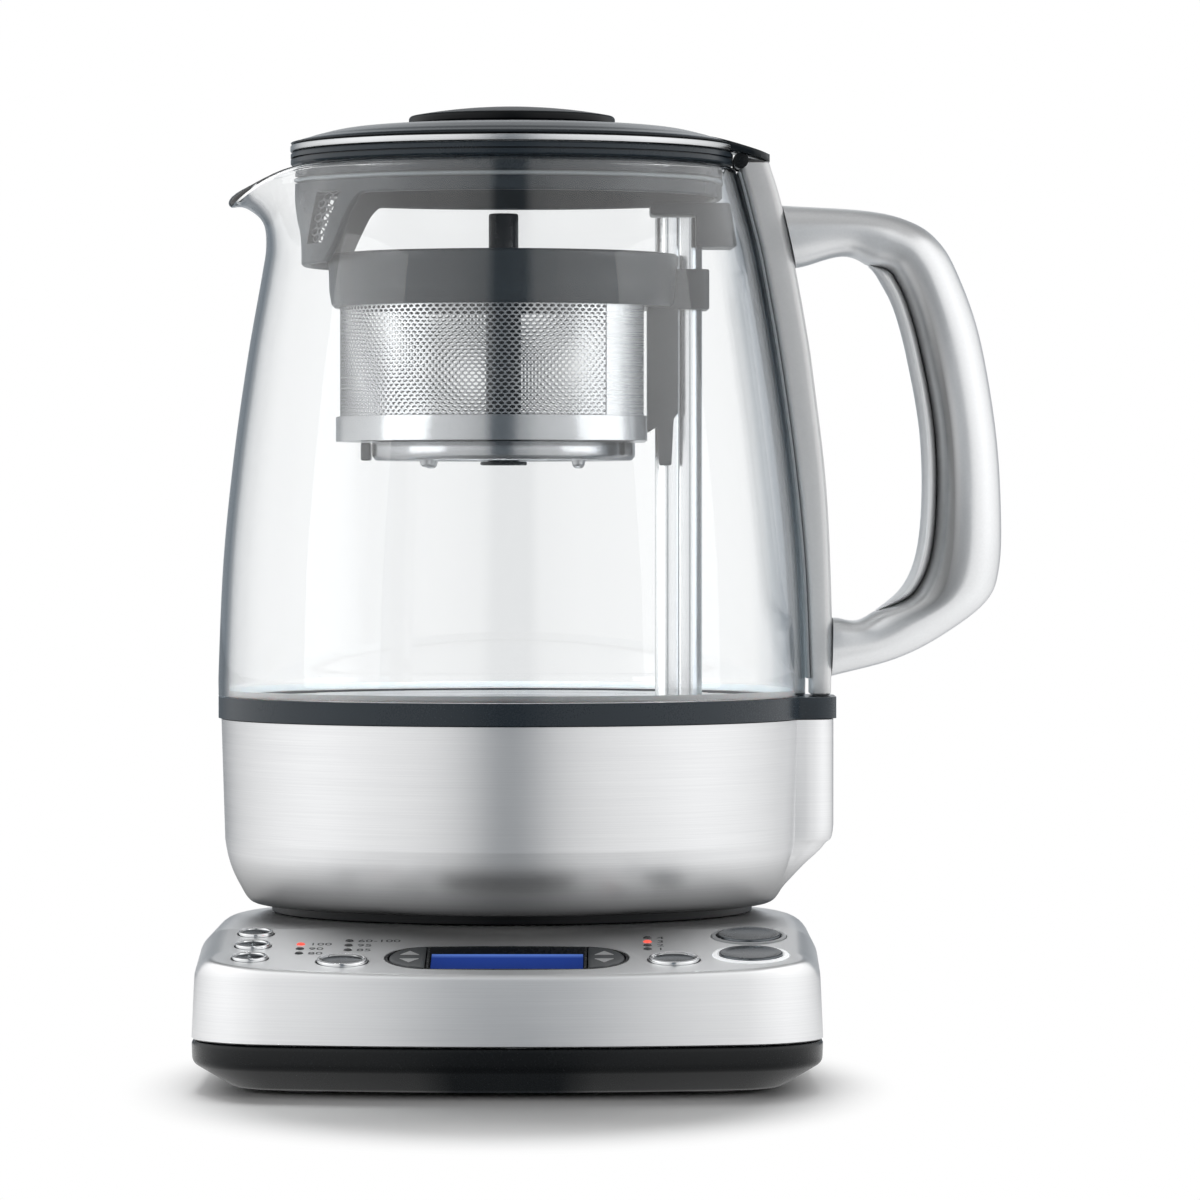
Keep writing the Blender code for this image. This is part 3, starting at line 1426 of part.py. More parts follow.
def make_knob(lid):
    """The flat round knob on the cover's crown."""
    low = LID_CROWN_Z + GAP
    rise = KNOB_TOP_Z - low
    outline = [(0, low), (KNOB_RADIUS - KNOB_EDGE, low)]
    outline += [(KNOB_RADIUS * out, low + rise * up) for out, up in KNOB_SHARES]
    outline.append((0, KNOB_TOP_Z))
    make_turned("lid_knob", outline, BLACK_PLASTIC, lid, sides=PLAIN_SIDES)


def make_rest_pin(jug):
    """The round black pin that lies across the spine's top, under the lid's tail."""
    bm = bmesh.new()
    add_rod(bm, PIN_RADIUS, -PIN_HALF_LENGTH, PIN_HALF_LENGTH, sides=PIN_SIDES)
    pin = finish_piece("lid_rest_pin", bm, BLACK_PLASTIC, jug, (PIN_X, 0, PIN_Z))
    pin.rotation_euler = (math.pi / 2, 0, 0)


# Tea basket. Its rings are round with one flat towards the post.


def drum_ring(radius, flat, height):
    ring = []
    for step in range(DRUM_STEPS):
        angle = math.tau * (step + 0.5) / DRUM_STEPS
        across = math.cos(angle)
        out = min(radius, flat / across) if across > 0 else radius
        ring.append(Vector((BASKET_X + out * across, out * math.sin(angle), height)))
    return ring


def flat_ring(grow, height):
    """The drum's outline, moved outwards."""
    return drum_ring(DRUM_RADIUS + grow, DRUM_FLAT + grow, height)


def make_basket_drum(basket):
    """The perforated steel sleeve."""
    rings = [
        flat_ring(0, DRUM_BOTTOM_Z),
        flat_ring(0, DRUM_TOP_Z),
        flat_ring(-DRUM_WALL, DRUM_TOP_Z),
        flat_ring(-DRUM_WALL, DRUM_BOTTOM_Z),
    ]
    make_lofted("basket_drum", rings, BRUSHED_STEEL, basket, closed=True)


def make_basket_hoop(basket):
    """The hoop round the drum's lower edge, with the flange that the drum stands on."""
    outer = GAP + HOOP_WALL
    pan_hole = PAN_RADIUS - PAN_WALL - GAP
    rings = [
        flat_ring(outer, HOOP_BOTTOM_Z),
        flat_ring(outer, HOOP_TOP_Z),
        flat_ring(GAP, HOOP_TOP_Z),
        flat_ring(GAP, HOOP_BOTTOM_Z + HOOP_FLANGE),
        drum_ring(pan_hole, DRUM_FLAT, HOOP_BOTTOM_Z + HOOP_FLANGE),
        drum_ring(pan_hole, DRUM_FLAT, HOOP_BOTTOM_Z),
    ]
    make_lofted("basket_hoop", rings, BRUSHED_STEEL, basket, closed=True)


def make_basket_pan(basket):
    """The shallow bottom under the hoop, with its small feet."""
    top = HOOP_BOTTOM_Z - GAP
    stem_hole = STEM_RADIUS + GAP
    edge = PAN_WALL
    outline = [
        (stem_hole, PAN_BOTTOM_Z),
        (PAN_RADIUS - edge, PAN_BOTTOM_Z),
        (PAN_RADIUS, PAN_BOTTOM_Z + edge),
        (PAN_RADIUS, top),
        (PAN_RADIUS - PAN_WALL, top),
        (PAN_RADIUS - PAN_WALL, PAN_BOTTOM_Z + PAN_WALL),
        (stem_hole, PAN_BOTTOM_Z + PAN_WALL),
    ]
    pan = make_turned("basket_pan", outline, BRUSHED_STEEL, basket, (BASKET_X, 0, 0), DRUM_STEPS)
    bm = bmesh.new()
    for step in range(4):
        angle = math.pi / 2 * (step + 0.5)
        x = PAN_FOOT_CIRCLE * math.cos(angle)
        y = PAN_FOOT_CIRCLE * math.sin(angle)
        low = PAN_BOTTOM_Z - PAN_FOOT_DROP
        add_rod(bm, PAN_FOOT_RADIUS, low, PAN_BOTTOM_Z + PAN_WALL / 2, x, y, PIN_SIDES)
    boolean(pan, finish_helper("pan_feet", bm, basket, (BASKET_X, 0, 0)), "UNION")


def make_collar(basket):
    """The grey collar: a rim round the drum's top and the saddle that rides on the post."""
    top_inner = GAP + COLLAR_RIM / 2
    rings = [
        drum_ring(COLLAR_RADIUS, COLLAR_RADIUS, COLLAR_BOTTOM_Z),
        drum_ring(COLLAR_RADIUS, COLLAR_RADIUS, COLLAR_TOP_Z),
        flat_ring(top_inner, COLLAR_TOP_Z),
        flat_ring(top_inner, BASKET_LEDGE_Z),
        flat_ring(top_inner - COLLAR_LEDGE, BASKET_LEDGE_Z),
        flat_ring(top_inner - COLLAR_LEDGE, DRUM_TOP_Z + GAP),
        flat_ring(GAP, DRUM_TOP_Z + GAP),
        flat_ring(GAP, COLLAR_BOTTOM_Z),
    ]
    collar = make_lofted("basket_collar", rings, SLATE_PLASTIC, basket, closed=True)
    boolean(collar, make_saddle(basket), "UNION")
    boolean(collar, make_lug(basket), "UNION")
    bm = bmesh.new()
    channel = post_outline(SADDLE_CLEARANCE)
    add_prism(bm, channel, SADDLE_TAIL_Z - OVERRUN, COLLAR_TOP_Z + OVERRUN)
    boolean(collar, finish_helper("post_channel_cutter", bm, basket), "DIFFERENCE")
    make_magnet(basket, collar)


def saddle_start():
    return BASKET_X + DRUM_FLAT + HOOP_WALL + GAP * 2


def make_saddle(basket):
    """The saddle's side view: a block with a slanted foot and a narrow tail down the post."""
    start = saddle_start()
    tail_start = POST_INNER_X + SADDLE_CLEARANCE
    tail_end = tail_start + SADDLE_TAIL_WIDTH
    low = SADDLE_BOTTOM_Z - SADDLE_SLANT
    foot_share, tail_share = SADDLE_FOOT_SHARES
    outline = [
        (start, low),
        (start, COLLAR_BOTTOM_Z + GAP),
        (SADDLE_REACH, COLLAR_BOTTOM_Z + GAP),
        (SADDLE_REACH, SADDLE_BOTTOM_Z),
        (tail_end, SADDLE_BOTTOM_Z - SADDLE_SLANT * foot_share),
        (tail_end - SADDLE_TAIL_TAPER, SADDLE_TAIL_Z),
        (tail_start + SADDLE_TAIL_TAPER, SADDLE_TAIL_Z),
        (tail_start, SADDLE_BOTTOM_Z - SADDLE_SLANT * tail_share),
    ]
    bm = bmesh.new()
    add_prism(bm, outline, -SADDLE_HALF_WIDTH, SADDLE_HALF_WIDTH, across="XZ")
    return finish_helper("collar_saddle", bm, basket)


def make_lug(basket):
    """The lug that closes round the post."""
    bm = bmesh.new()
    outline = rounded_box(
        saddle_start() + SADDLE_CLEARANCE,
        LUG_REACH,
        -SADDLE_HALF_WIDTH,
        SADDLE_HALF_WIDTH,
        POST_CORNER,
    )
    add_prism(bm, outline, LUG_BOTTOM_Z, LUG_TOP_Z)
    return finish_helper("collar_lug", bm, basket)


def make_magnet(basket, collar):
    """The magnet that follows the carriage, in a pocket of the saddle that faces the post."""
    face_x = POST_INNER_X - SADDLE_CLEARANCE
    start = face_x - GAP - MAGNET_THICK
    high = COLLAR_BOTTOM_Z - GAP
    low = COLLAR_BOTTOM_Z - (LUG_TOP_Z - LUG_BOTTOM_Z)
    half = MAGNET_HALF_WIDTH
    bm = bmesh.new()
    add_block(bm, (start, -half, low), (face_x - GAP, half, high))
    finish_piece("basket_magnet", bm, DARK_METAL, basket)
    bm = bmesh.new()
    add_block(
        bm,
        (start - GAP, -half - GAP, low - GAP),
        (face_x + OVERRUN, half + GAP, high + GAP),
    )
    boolean(collar, finish_helper("magnet_pocket_cutter", bm, basket), "DIFFERENCE")


def make_stem(basket):
    """The black centre stem, by which the basket is lifted out."""
    head_z = PAN_BOTTOM_Z - GAP
    column_z = PAN_BOTTOM_Z + PAN_WALL + GAP
    outline = [
        (0, head_z - STEM_HEAD_THICK),
        (STEM_HEAD_RADIUS, head_z - STEM_HEAD_THICK),
        (STEM_HEAD_RADIUS, head_z),
        (STEM_RADIUS, head_z),
        (STEM_RADIUS, column_z),
        (STEM_COLUMN_RADIUS, column_z),
        (STEM_COLUMN_RADIUS, STEM_COLUMN_TOP_Z),
        (STEM_RADIUS, STEM_COLUMN_TOP_Z),
        (STEM_RADIUS, STEM_TOP_Z - GAP),
        (STEM_RADIUS - GAP, STEM_TOP_Z),
        (0, STEM_TOP_Z),
    ]
    make_turned("basket_stem", outline, BLACK_PLASTIC, basket, (BASKET_X, 0, 0), SMALL_SIDES)


def make_basket_lid(basket_lid):
    """The basket's own lid, a disc that slides on the stem and lies on the collar's ledge."""
    low = BASKET_LEDGE_Z + GAP
    grow = GAP + COLLAR_RIM / 2 - BASKET_LID_CLEARANCE
    hole = STEM_RADIUS + GAP
    rings = [
        flat_ring(grow, low),
        flat_ring(grow, low + BASKET_LID_THICK),
        drum_ring(hole, hole, low + BASKET_LID_THICK),
        drum_ring(hole, hole, low),
    ]
    make_lofted("basket_lid", rings, BRUSHED_STEEL, basket_lid, closed=True)


def make_latch(basket):
    """The small grey catch beside the pan."""
    end = BASKET_X - PAN_RADIUS - GAP
    bm = bmesh.new()
    add_block(
        bm,
        (end - LATCH_THICK, -LATCH_HALF_WIDTH, PAN_BOTTOM_Z),
        (end, LATCH_HALF_WIDTH, HOOP_BOTTOM_Z - GAP),
    )
    finish_piece("basket_latch", bm, SLATE_PLASTIC, basket)


def main():
    clear_scene()
    base = make_empty("base_frame")
    panel = make_empty("panel_frame", (0, -BASE_FRONT_REACH, PANEL_FRONT_Z), base, PANEL_SLOPE)
    socket = make_empty("socket_frame", carrier=base)
    jug = make_empty("jug_frame", carrier=socket)
    lid = make_empty("lid_frame", carrier=jug)
    basket = make_empty("basket_frame", carrier=jug)
    basket_lid = make_empty("basket_lid_frame", carrier=basket)
    screw = make_empty("screw_frame", (POST_X, 0, 0), jug)
    carriage = make_empty("carriage_frame", carrier=jug)

    make_lower_housing(base)
    make_base_shell(base, panel)
    make_feet(base)
    make_grommet(base)
    make_power_connector(base)
    make_buttons(panel)
    make_light_rings(panel)
    make_display(panel)
    make_board(panel)
    make_light_guides(panel)

    make_socket(socket)
    make_jug_foot(jug)
    make_steel_body(jug)
    make_waist_ring(jug)
    make_floor(jug)
    make_glass(jug)
    make_spine(jug)
    make_handle(jug)
    make_post(jug)
    make_bracket(jug)
    make_rest_pin(jug)
    make_lift(jug, screw, carriage)

    make_lid(lid)

    make_basket_drum(basket)
    make_basket_hoop(basket)
    make_basket_pan(basket)
    make_collar(basket)
    make_stem(basket)
    make_latch(basket)
    make_basket_lid(basket_lid)


main()
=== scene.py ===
# %% [markdown]
# # An automatic tea maker
# The object is a power base with a sloped control panel, and a glass jug whose tea basket rides
# up and down a guide post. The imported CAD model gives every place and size. This file gives the
# looks: finer surfaces where a curve shows its facets, true perforations, and a finish for each
# material. Everything is in metres and stands in the CAD model's own frame.

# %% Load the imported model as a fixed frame
import math

import bmesh
import bpy
from mathutils import Matrix, Vector


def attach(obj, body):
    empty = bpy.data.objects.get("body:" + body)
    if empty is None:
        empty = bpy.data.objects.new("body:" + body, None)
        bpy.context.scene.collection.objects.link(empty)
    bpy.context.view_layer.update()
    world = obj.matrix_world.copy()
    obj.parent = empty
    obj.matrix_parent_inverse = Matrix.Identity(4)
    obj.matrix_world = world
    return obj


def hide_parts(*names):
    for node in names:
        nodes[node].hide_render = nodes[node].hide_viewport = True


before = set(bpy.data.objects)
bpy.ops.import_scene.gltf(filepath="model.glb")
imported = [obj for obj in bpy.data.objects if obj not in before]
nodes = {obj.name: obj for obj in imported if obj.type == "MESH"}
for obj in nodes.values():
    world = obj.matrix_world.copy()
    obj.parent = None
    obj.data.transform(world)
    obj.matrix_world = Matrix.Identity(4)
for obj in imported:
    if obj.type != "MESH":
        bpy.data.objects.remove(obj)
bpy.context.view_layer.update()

scene = bpy.context.scene

# %% [markdown]
# ## The camera
# The photograph is taken from far away with a long lens, a little above the middle of the jug, so
# upright edges stay upright. The lens and the place below were worked out from the photograph:
# the base's rear edge, the jug's rim and its foot give the horizon, and the base's depth gives the
# distance.

# %% Camera
CAMERA_PLACE = (0.0241, -1.726, 0.1483)
CAMERA_PITCH = math.radians(90 - 0.73)
LENS = 189.0
camera_data = bpy.data.cameras.new("camera")
camera_data.lens = LENS
camera_data.sensor_width = 36.0
camera_data.clip_start = 0.05
camera_data.clip_end = 60.0
camera = bpy.data.objects.new("camera", camera_data)
camera.location = CAMERA_PLACE
camera.rotation_euler = (CAMERA_PITCH, 0, 0)
scene.collection.objects.link(camera)
scene.camera = camera
scene.view_settings.view_transform = "Standard"
print("camera", round(camera.location.y, 3), "m, lens", LENS, "mm")

# %% [markdown]
# ## Node helpers
# Every finish is a small graph of nodes. These helpers add a node with its values and join two
# sockets, so that the graphs below read as recipes.

# %% Node helpers
def add_node(tree, kind, values=None, **settings):
    """Add a node, set its properties, and give its inputs numbers or links."""
    made = tree.nodes.new(kind)
    for key, value in settings.items():
        setattr(made, key, value)
    for key, value in (values or {}).items():
        if isinstance(value, bpy.types.NodeSocket):
            tree.links.new(value, made.inputs[key])
        else:
            made.inputs[key].default_value = value
    return made


def math_node(tree, operation, first, second=0.0):
    made = add_node(tree, "ShaderNodeMath", {0: first, 1: second}, operation=operation)
    return made.outputs[0]


def map_range(tree, value, low, high, from_low=0.0, from_high=1.0):
    sockets = {0: value, 1: from_low, 2: from_high, 3: low, 4: high}
    return add_node(tree, "ShaderNodeMapRange", sockets).outputs[0]


def colour_mix(tree, share, first, second):
    """Mix two colours. Each is three numbers or the output of another node."""
    first, second = ((*colour, 1.0) if isinstance(colour, tuple) else colour for colour in (first, second))
    return add_node(tree, "ShaderNodeMix", {0: share, 6: first, 7: second}, data_type="RGBA").outputs[2]


def new_group(name, numbers, outputs=("Mask",)):
    """A shader node group with named number inputs and value outputs."""
    group = bpy.data.node_groups.new(name, "ShaderNodeTree")
    for label, value in numbers.items():
        socket = group.interface.new_socket(label, in_out="INPUT", socket_type="NodeSocketFloat")
        socket.default_value = value
    for label in outputs:
        group.interface.new_socket(label, in_out="OUTPUT", socket_type="NodeSocketFloat")
    start = group.nodes.new("NodeGroupInput")
    end = group.nodes.new("NodeGroupOutput")
    return group, start, end


# %% [markdown]
# ## Effects that several materials share
# Brushed metal is covered in hair-fine scratches that all run one way. On walls they run level,
# round the body. On the panel they run from side to side. A noise that is stretched a hundred
# times along one axis gives such scratches, and the face's own direction picks the axis.

# %% Group: brushing
def make_brushing():
    group, start, end = new_group("brushing", {"Fine": 5200.0, "Along": 26.0, "Contrast": 1.0})
    place = add_node(group, "ShaderNodeTexCoord").outputs["Object"]
    split = add_node(group, "ShaderNodeSeparateXYZ", {0: place})
    facing = add_node(group, "ShaderNodeNewGeometry").outputs["Normal"]
    upward = add_node(group, "ShaderNodeSeparateXYZ", {0: facing}).outputs["Z"]
    level = map_range(group, math_node(group, "ABSOLUTE", upward), 0.0, 1.0, 0.55, 0.85)
    fine, along = start.outputs["Fine"], start.outputs["Along"]
    streaks = []
    for scales in ((along, along, fine), (along, fine, along)):
        parts = {}
        for index, (axis, scale) in enumerate(zip("XYZ", scales)):
            parts[index] = math_node(group, "MULTIPLY", split.outputs[axis], scale)
        vector = add_node(group, "ShaderNodeCombineXYZ", parts).outputs[0]
        values = {"Vector": vector, "Scale": 1.0, "Detail": 4.0, "Roughness": 0.62}
        streaks.append(add_node(group, "ShaderNodeTexNoise", values).outputs["Fac"])
    mixed = add_node(group, "ShaderNodeMix", {0: level, 2: streaks[0], 3: streaks[1]}).outputs[0]
    centred = math_node(group, "SUBTRACT", mixed, 0.5)
    scaled = math_node(group, "MULTIPLY", centred, start.outputs["Contrast"])
    mask = add_node(group, "ShaderNodeMath", {0: scaled, 1: 0.5}, operation="ADD", use_clamp=True)
    group.links.new(mask.outputs[0], end.inputs["Mask"])
    return group


# %% [markdown]
# Moulded plastic has a fine even grain from the mould's etched steel, and cast metal a softer,
# wider one. Both are noise at a real scale: the input is the number of grains in a metre.

# %% Group: grain
def make_grain():
    group, start, end = new_group("grain", {"Grains": 2600.0, "Detail": 3.0, "Contrast": 1.0})
    place = add_node(group, "ShaderNodeTexCoord").outputs["Object"]
    values = {"Vector": place, "Scale": start.outputs["Grains"], "Detail": start.outputs["Detail"]}
    noise = add_node(group, "ShaderNodeTexNoise", values).outputs["Fac"]
    scaled = math_node(group, "MULTIPLY", math_node(group, "SUBTRACT", noise, 0.5), start.outputs["Contrast"])
    mask = add_node(group, "ShaderNodeMath", {0: scaled, 1: 0.5}, operation="ADD", use_clamp=True)
    group.links.new(mask.outputs[0], end.inputs["Mask"])
    return group


# %% [markdown]
# A surface that is handled is never evenly shiny. Wide soft clouds with a few finer wisps in them
# stand for the film that fingers and cloths leave, and they only move the roughness.

# %% Group: smudges
def make_smudges():
    group, start, end = new_group("smudges", {"Clouds": 28.0, "Wisps": 210.0})
    place = add_node(group, "ShaderNodeTexCoord").outputs["Object"]
    clouds = {"Vector": place, "Scale": start.outputs["Clouds"], "Detail": 3.0, "Distortion": 0.8}
    wide = add_node(group, "ShaderNodeTexNoise", clouds).outputs["Fac"]
    wisps = {"Vector": place, "Scale": start.outputs["Wisps"], "Detail": 2.0}
    fine = add_node(group, "ShaderNodeTexNoise", wisps).outputs["Fac"]
    soft = map_range(group, wide, 0.0, 1.0, 0.35, 0.7)
    sum_ = math_node(group, "ADD", math_node(group, "MULTIPLY", soft, 0.75), math_node(group, "MULTIPLY", fine, 0.25))
    group.links.new(sum_, end.inputs["Mask"])
    return group


GROUPS = {"brushing": make_brushing(), "grain": make_grain(), "smudges": make_smudges()}
print("effect groups:", sorted(GROUPS))

# %% [markdown]
# ## The recipe of a finish
# Most finishes differ only in colours, shine and pattern. One pattern gives a mask from 0 to 1.
# The mask mixes two close colours, moves the roughness a little and raises the surface by a few
# micrometres. The smudges then soften the shine here and there.

# %% Finish
def group_mask(tree, name, **numbers):
    made = tree.nodes.new("ShaderNodeGroup")
    made.node_tree = GROUPS[name]
    for label, value in numbers.items():
        made.inputs[label].default_value = value
    return made.outputs["Mask"]


def finish(name, dark, light, roughness, pattern, sizes, bump, smudge=0.05, **sockets):
    """A material whose pattern moves colour, roughness and height."""
    material = bpy.data.materials.new(name)
    material.use_nodes = True
    tree = material.node_tree
    shader = tree.nodes["Principled BSDF"]
    mask = group_mask(tree, pattern, **sizes)
    film = group_mask(tree, "smudges")
    tree.links.new(colour_mix(tree, mask, dark, light), shader.inputs["Base Color"])
    rough = map_range(tree, mask, *roughness)
    rough = math_node(tree, "ADD", rough, math_node(tree, "MULTIPLY", film, smudge))
    tree.links.new(rough, shader.inputs["Roughness"])
    bumped = add_node(tree, "ShaderNodeBump", {"Height": mask, "Strength": 1.0, "Distance": bump})
    tree.links.new(bumped.outputs["Normal"], shader.inputs["Normal"])
    for key, value in sockets.items():
        shader.inputs[key.replace("_", " ")].default_value = value
    return material


BRUSHED = {"Fine": 5200.0, "Along": 24.0, "Contrast": 1.5}
MOULDED = {"Grains": 2600.0, "Detail": 3.0, "Contrast": 1.2}
SATIN = {"Grains": 1400.0, "Detail": 3.0, "Contrast": 1.0}
POLISHED = {"Grains": 420.0, "Detail": 2.0, "Contrast": 0.8}
brushed_steel = finish(
    "brushed_steel", (0.64, 0.645, 0.655), (0.76, 0.765, 0.77), (0.28, 0.38), "brushing", BRUSHED,
    0.000006, Metallic=0.85,
)
body_steel = finish(
    "brushed_body_steel", (0.60, 0.605, 0.615), (0.72, 0.725, 0.73), (0.32, 0.42), "brushing",
    BRUSHED, 0.000006, Metallic=1.0, Anisotropic=0.35, Anisotropic_Rotation=0.25,
)


def shade_below(material, low, high, share):
    """Painted shade: darken a finish's colour towards its foot, in place of the dark reflection where it turns under
    and mirrors what it stands on.
    """
    tree = material.node_tree
    colour = tree.nodes["Principled BSDF"].inputs["Base Color"]
    height = add_node(tree, "ShaderNodeSeparateXYZ", {0: add_node(tree, "ShaderNodeTexCoord").outputs["Object"]}).outputs["Z"]
    level = map_range(tree, height, share, 1.0, low, high)
    shaded = add_node(tree, "ShaderNodeVectorMath", {0: colour.links[0].from_socket, 3: level}, operation="SCALE")
    tree.links.new(shaded.outputs[0], colour)


# Painted shade on the steel body's colour, darkest at its lower edge.
shade_below(body_steel, 0.0435, 0.0580, 0.06)
basket_steel = finish(
    "basket_steel", (0.72, 0.725, 0.73), (0.86, 0.865, 0.87), (0.16, 0.26), "brushing",
    {"Fine": 3800.0, "Along": 60.0, "Contrast": 1.1}, 0.000004, Metallic=1.0,
)
cast_metal = finish(
    "cast_satin_metal", (0.74, 0.75, 0.76), (0.82, 0.83, 0.84), (0.26, 0.34), "grain",
    {"Grains": 3200.0, "Detail": 3.0, "Contrast": 1.0}, 0.000002, Metallic=0.65,
)
chrome = finish(
    "bright_chrome", (0.66, 0.67, 0.68), (0.72, 0.73, 0.74), (0.05, 0.08), "grain", POLISHED,
    0.000001, 0.04, Metallic=1.0,
)
slate_plastic = finish(
    "slate_plastic", (0.025, 0.036, 0.047), (0.030, 0.042, 0.054), (0.24, 0.28), "grain", MOULDED,
    0.0000002, Specular_IOR_Level=0.28,
)
black_plastic = finish(
    "black_plastic", (0.0045, 0.0060, 0.0072), (0.0075, 0.0092, 0.0108), (0.20, 0.28), "grain", SATIN,
    0.000001, Specular_IOR_Level=0.25,
)
knob_plastic = finish(
    "knob_plastic", (0.0020, 0.0030, 0.0042), (0.0034, 0.0046, 0.0060), (0.30, 0.38), "grain", SATIN,
    0.000001, Specular_IOR_Level=0.16,
)
dished_face = finish(
    "dished_face_metal", (0.11, 0.12, 0.13), (0.15, 0.16, 0.17), (0.20, 0.26), "grain", POLISHED, 0.000002, Metallic=1.0,
)
dark_cap = finish(
    "dark_cap_metal", (0.09, 0.10, 0.11), (0.12, 0.13, 0.14), (0.20, 0.28), "grain", POLISHED,
    0.000002, Metallic=1.0,
)
soft_rubber = finish(
    "soft_rubber", (0.020, 0.020, 0.021), (0.034, 0.034, 0.035), (0.62, 0.78), "grain",
    {"Grains": 1500.0, "Detail": 4.0, "Contrast": 1.4}, 0.000030,
)
pale_silicone = finish(
    "pale_silicone", (0.50, 0.53, 0.55), (0.58, 0.61, 0.63), (0.42, 0.55), "grain",
    {"Grains": 800.0, "Detail": 3.0, "Contrast": 1.0}, 0.000012, Subsurface_Weight=0.15,
)
motor_metal = finish(
    "motor_metal", (0.30, 0.29, 0.28), (0.44, 0.43, 0.41), (0.35, 0.50), "brushing",
    {"Fine": 1800.0, "Along": 60.0, "Contrast": 1.4}, 0.000015, Metallic=1.0,
)
pale_print = finish(
    "pale_print", (0.80, 0.81, 0.82), (0.88, 0.89, 0.90), (0.40, 0.50), "grain", MOULDED, 0.000004,
)
grey_print = finish(
    "grey_print", (0.055, 0.060, 0.065), (0.085, 0.090, 0.095), (0.45, 0.55), "grain", MOULDED,
    0.000004,
)
print("finishes:", len(bpy.data.materials))

# %% [markdown]
# ## Clear glass
# The jug is blown borosilicate glass, about 2.6 mm thick. Its dark rims come partly from refraction, so
# the wall is a real closed shell and the material bends light by the real amount, and partly from
# painted shade in the glass's colour, which also greys a streaked strip round the spine. Lamps would
# cast a black shadow through it, so for rays to a lamp the shader steps aside for a clear one.

# %% Glass
def clear_material(name, colour, ior, roughness, ripple, let_through, painted_shade=None, **sockets):
    material = bpy.data.materials.new(name)
    material.use_nodes = True
    tree = material.node_tree
    shader = tree.nodes["Principled BSDF"]
    film = group_mask(tree, "smudges", Clouds=24.0, Wisps=160.0)
    tree.links.new(map_range(tree, film, *roughness), shader.inputs["Roughness"])
    waves = group_mask(tree, "grain", Grains=34.0, Detail=1.0, Contrast=1.0)
    bumped = add_node(tree, "ShaderNodeBump", {"Height": waves, "Strength": 1.0, "Distance": ripple})
    tree.links.new(bumped.outputs["Normal"], shader.inputs["Normal"])
    shader.inputs["Base Color"].default_value = (*colour, 1.0)
    if painted_shade:
        tree.links.new(painted_shade(tree, colour), shader.inputs["Base Color"])
    for key, value in sockets.items():
        shader.inputs[key.replace("_", " ")].default_value = value
    shader.inputs["IOR"].default_value = ior
    shader.inputs["Transmission Weight"].default_value = 1.0
    through = add_node(tree, "ShaderNodeBsdfTransparent", {"Color": (*let_through, 1.0)})
    shadow_ray = add_node(tree, "ShaderNodeLightPath").outputs["Is Shadow Ray"]
    values = {0: shadow_ray, 1: shader.outputs[0], 2: through.outputs[0]}
    mixed = add_node(tree, "ShaderNodeMixShader", values)
    tree.links.new(mixed.outputs[0], tree.nodes["Material Output"].inputs["Surface"])
    return material


def glass_painted_shade(tree, colour):
    """Painted shade in the glass's colour: greyer along its grazing edges, and in a streaked strip where it wraps round
    the spine's dark line.
    """
    place = add_node(tree, "ShaderNodeTexCoord").outputs["Object"]
    split = add_node(tree, "ShaderNodeSeparateXYZ", {0: place})
    turn = math_node(tree, "ARCTAN2", split.outputs["Y"], split.outputs["X"])
    waves = math_node(tree, "SINE", math_node(tree, "MULTIPLY", turn, 46.0))
    # Painted shade: a streaked grey strip in the glass's colour round the spine.
    near = map_range(tree, math_node(tree, "ABSOLUTE", turn), 1.0, 0.0, math.radians(9), math.radians(29))
    near = math_node(tree, "MULTIPLY", near, map_range(tree, waves, 0.80, 1.0, -1.0, 1.0))
    shaded = colour_mix(tree, near, colour, (0.40, 0.45, 0.50))
    # Painted shade: the glass's colour greys at grazing angles along its edges.
    edge = add_node(tree, "ShaderNodeLayerWeight", {"Blend": 0.25}).outputs["Facing"]
    edge = math_node(tree, "POWER", edge, 3.0)
    edge = math_node(tree, "MULTIPLY", edge, 0.55)
    return colour_mix(tree, edge, shaded, (0.45, 0.50, 0.54))


# The glass's colour carries painted shade along its edges and round the spine.
jug_glass = clear_material(
    "jug_glass", (0.930, 0.937, 0.940), 1.47, (0.0, 0.012), 0.00002, (0.93, 0.95, 0.95), glass_painted_shade,
    Specular_IOR_Level=0.28,
)
window_plastic = clear_material(
    "window_plastic", (0.95, 0.97, 1.0), 1.005, (0.0, 0.02), 0.000002, (0.9, 0.9, 0.95),
)

# %% [markdown]
# ## Lit things
# The display glows an even deep blue that is a little lighter at its far edge. The indicator
# lights are small lenses: one of each column glows red, and the ring round the start button is on.

# %% Display, lights and board
def glowing(name, colour, edge, strength, roughness):
    """A lit surface whose colour changes slowly across it."""
    material = bpy.data.materials.new(name)
    material.use_nodes = True
    tree = material.node_tree
    shader = tree.nodes["Principled BSDF"]
    clouds = group_mask(tree, "grain", Grains=55.0, Detail=1.0, Contrast=1.6)
    hue = colour_mix(tree, clouds, colour, edge)
    tree.links.new(hue, shader.inputs["Base Color"])
    tree.links.new(hue, shader.inputs["Emission Color"])
    shader.inputs["Emission Strength"].default_value = strength
    shader.inputs["Roughness"].default_value = roughness
    return material


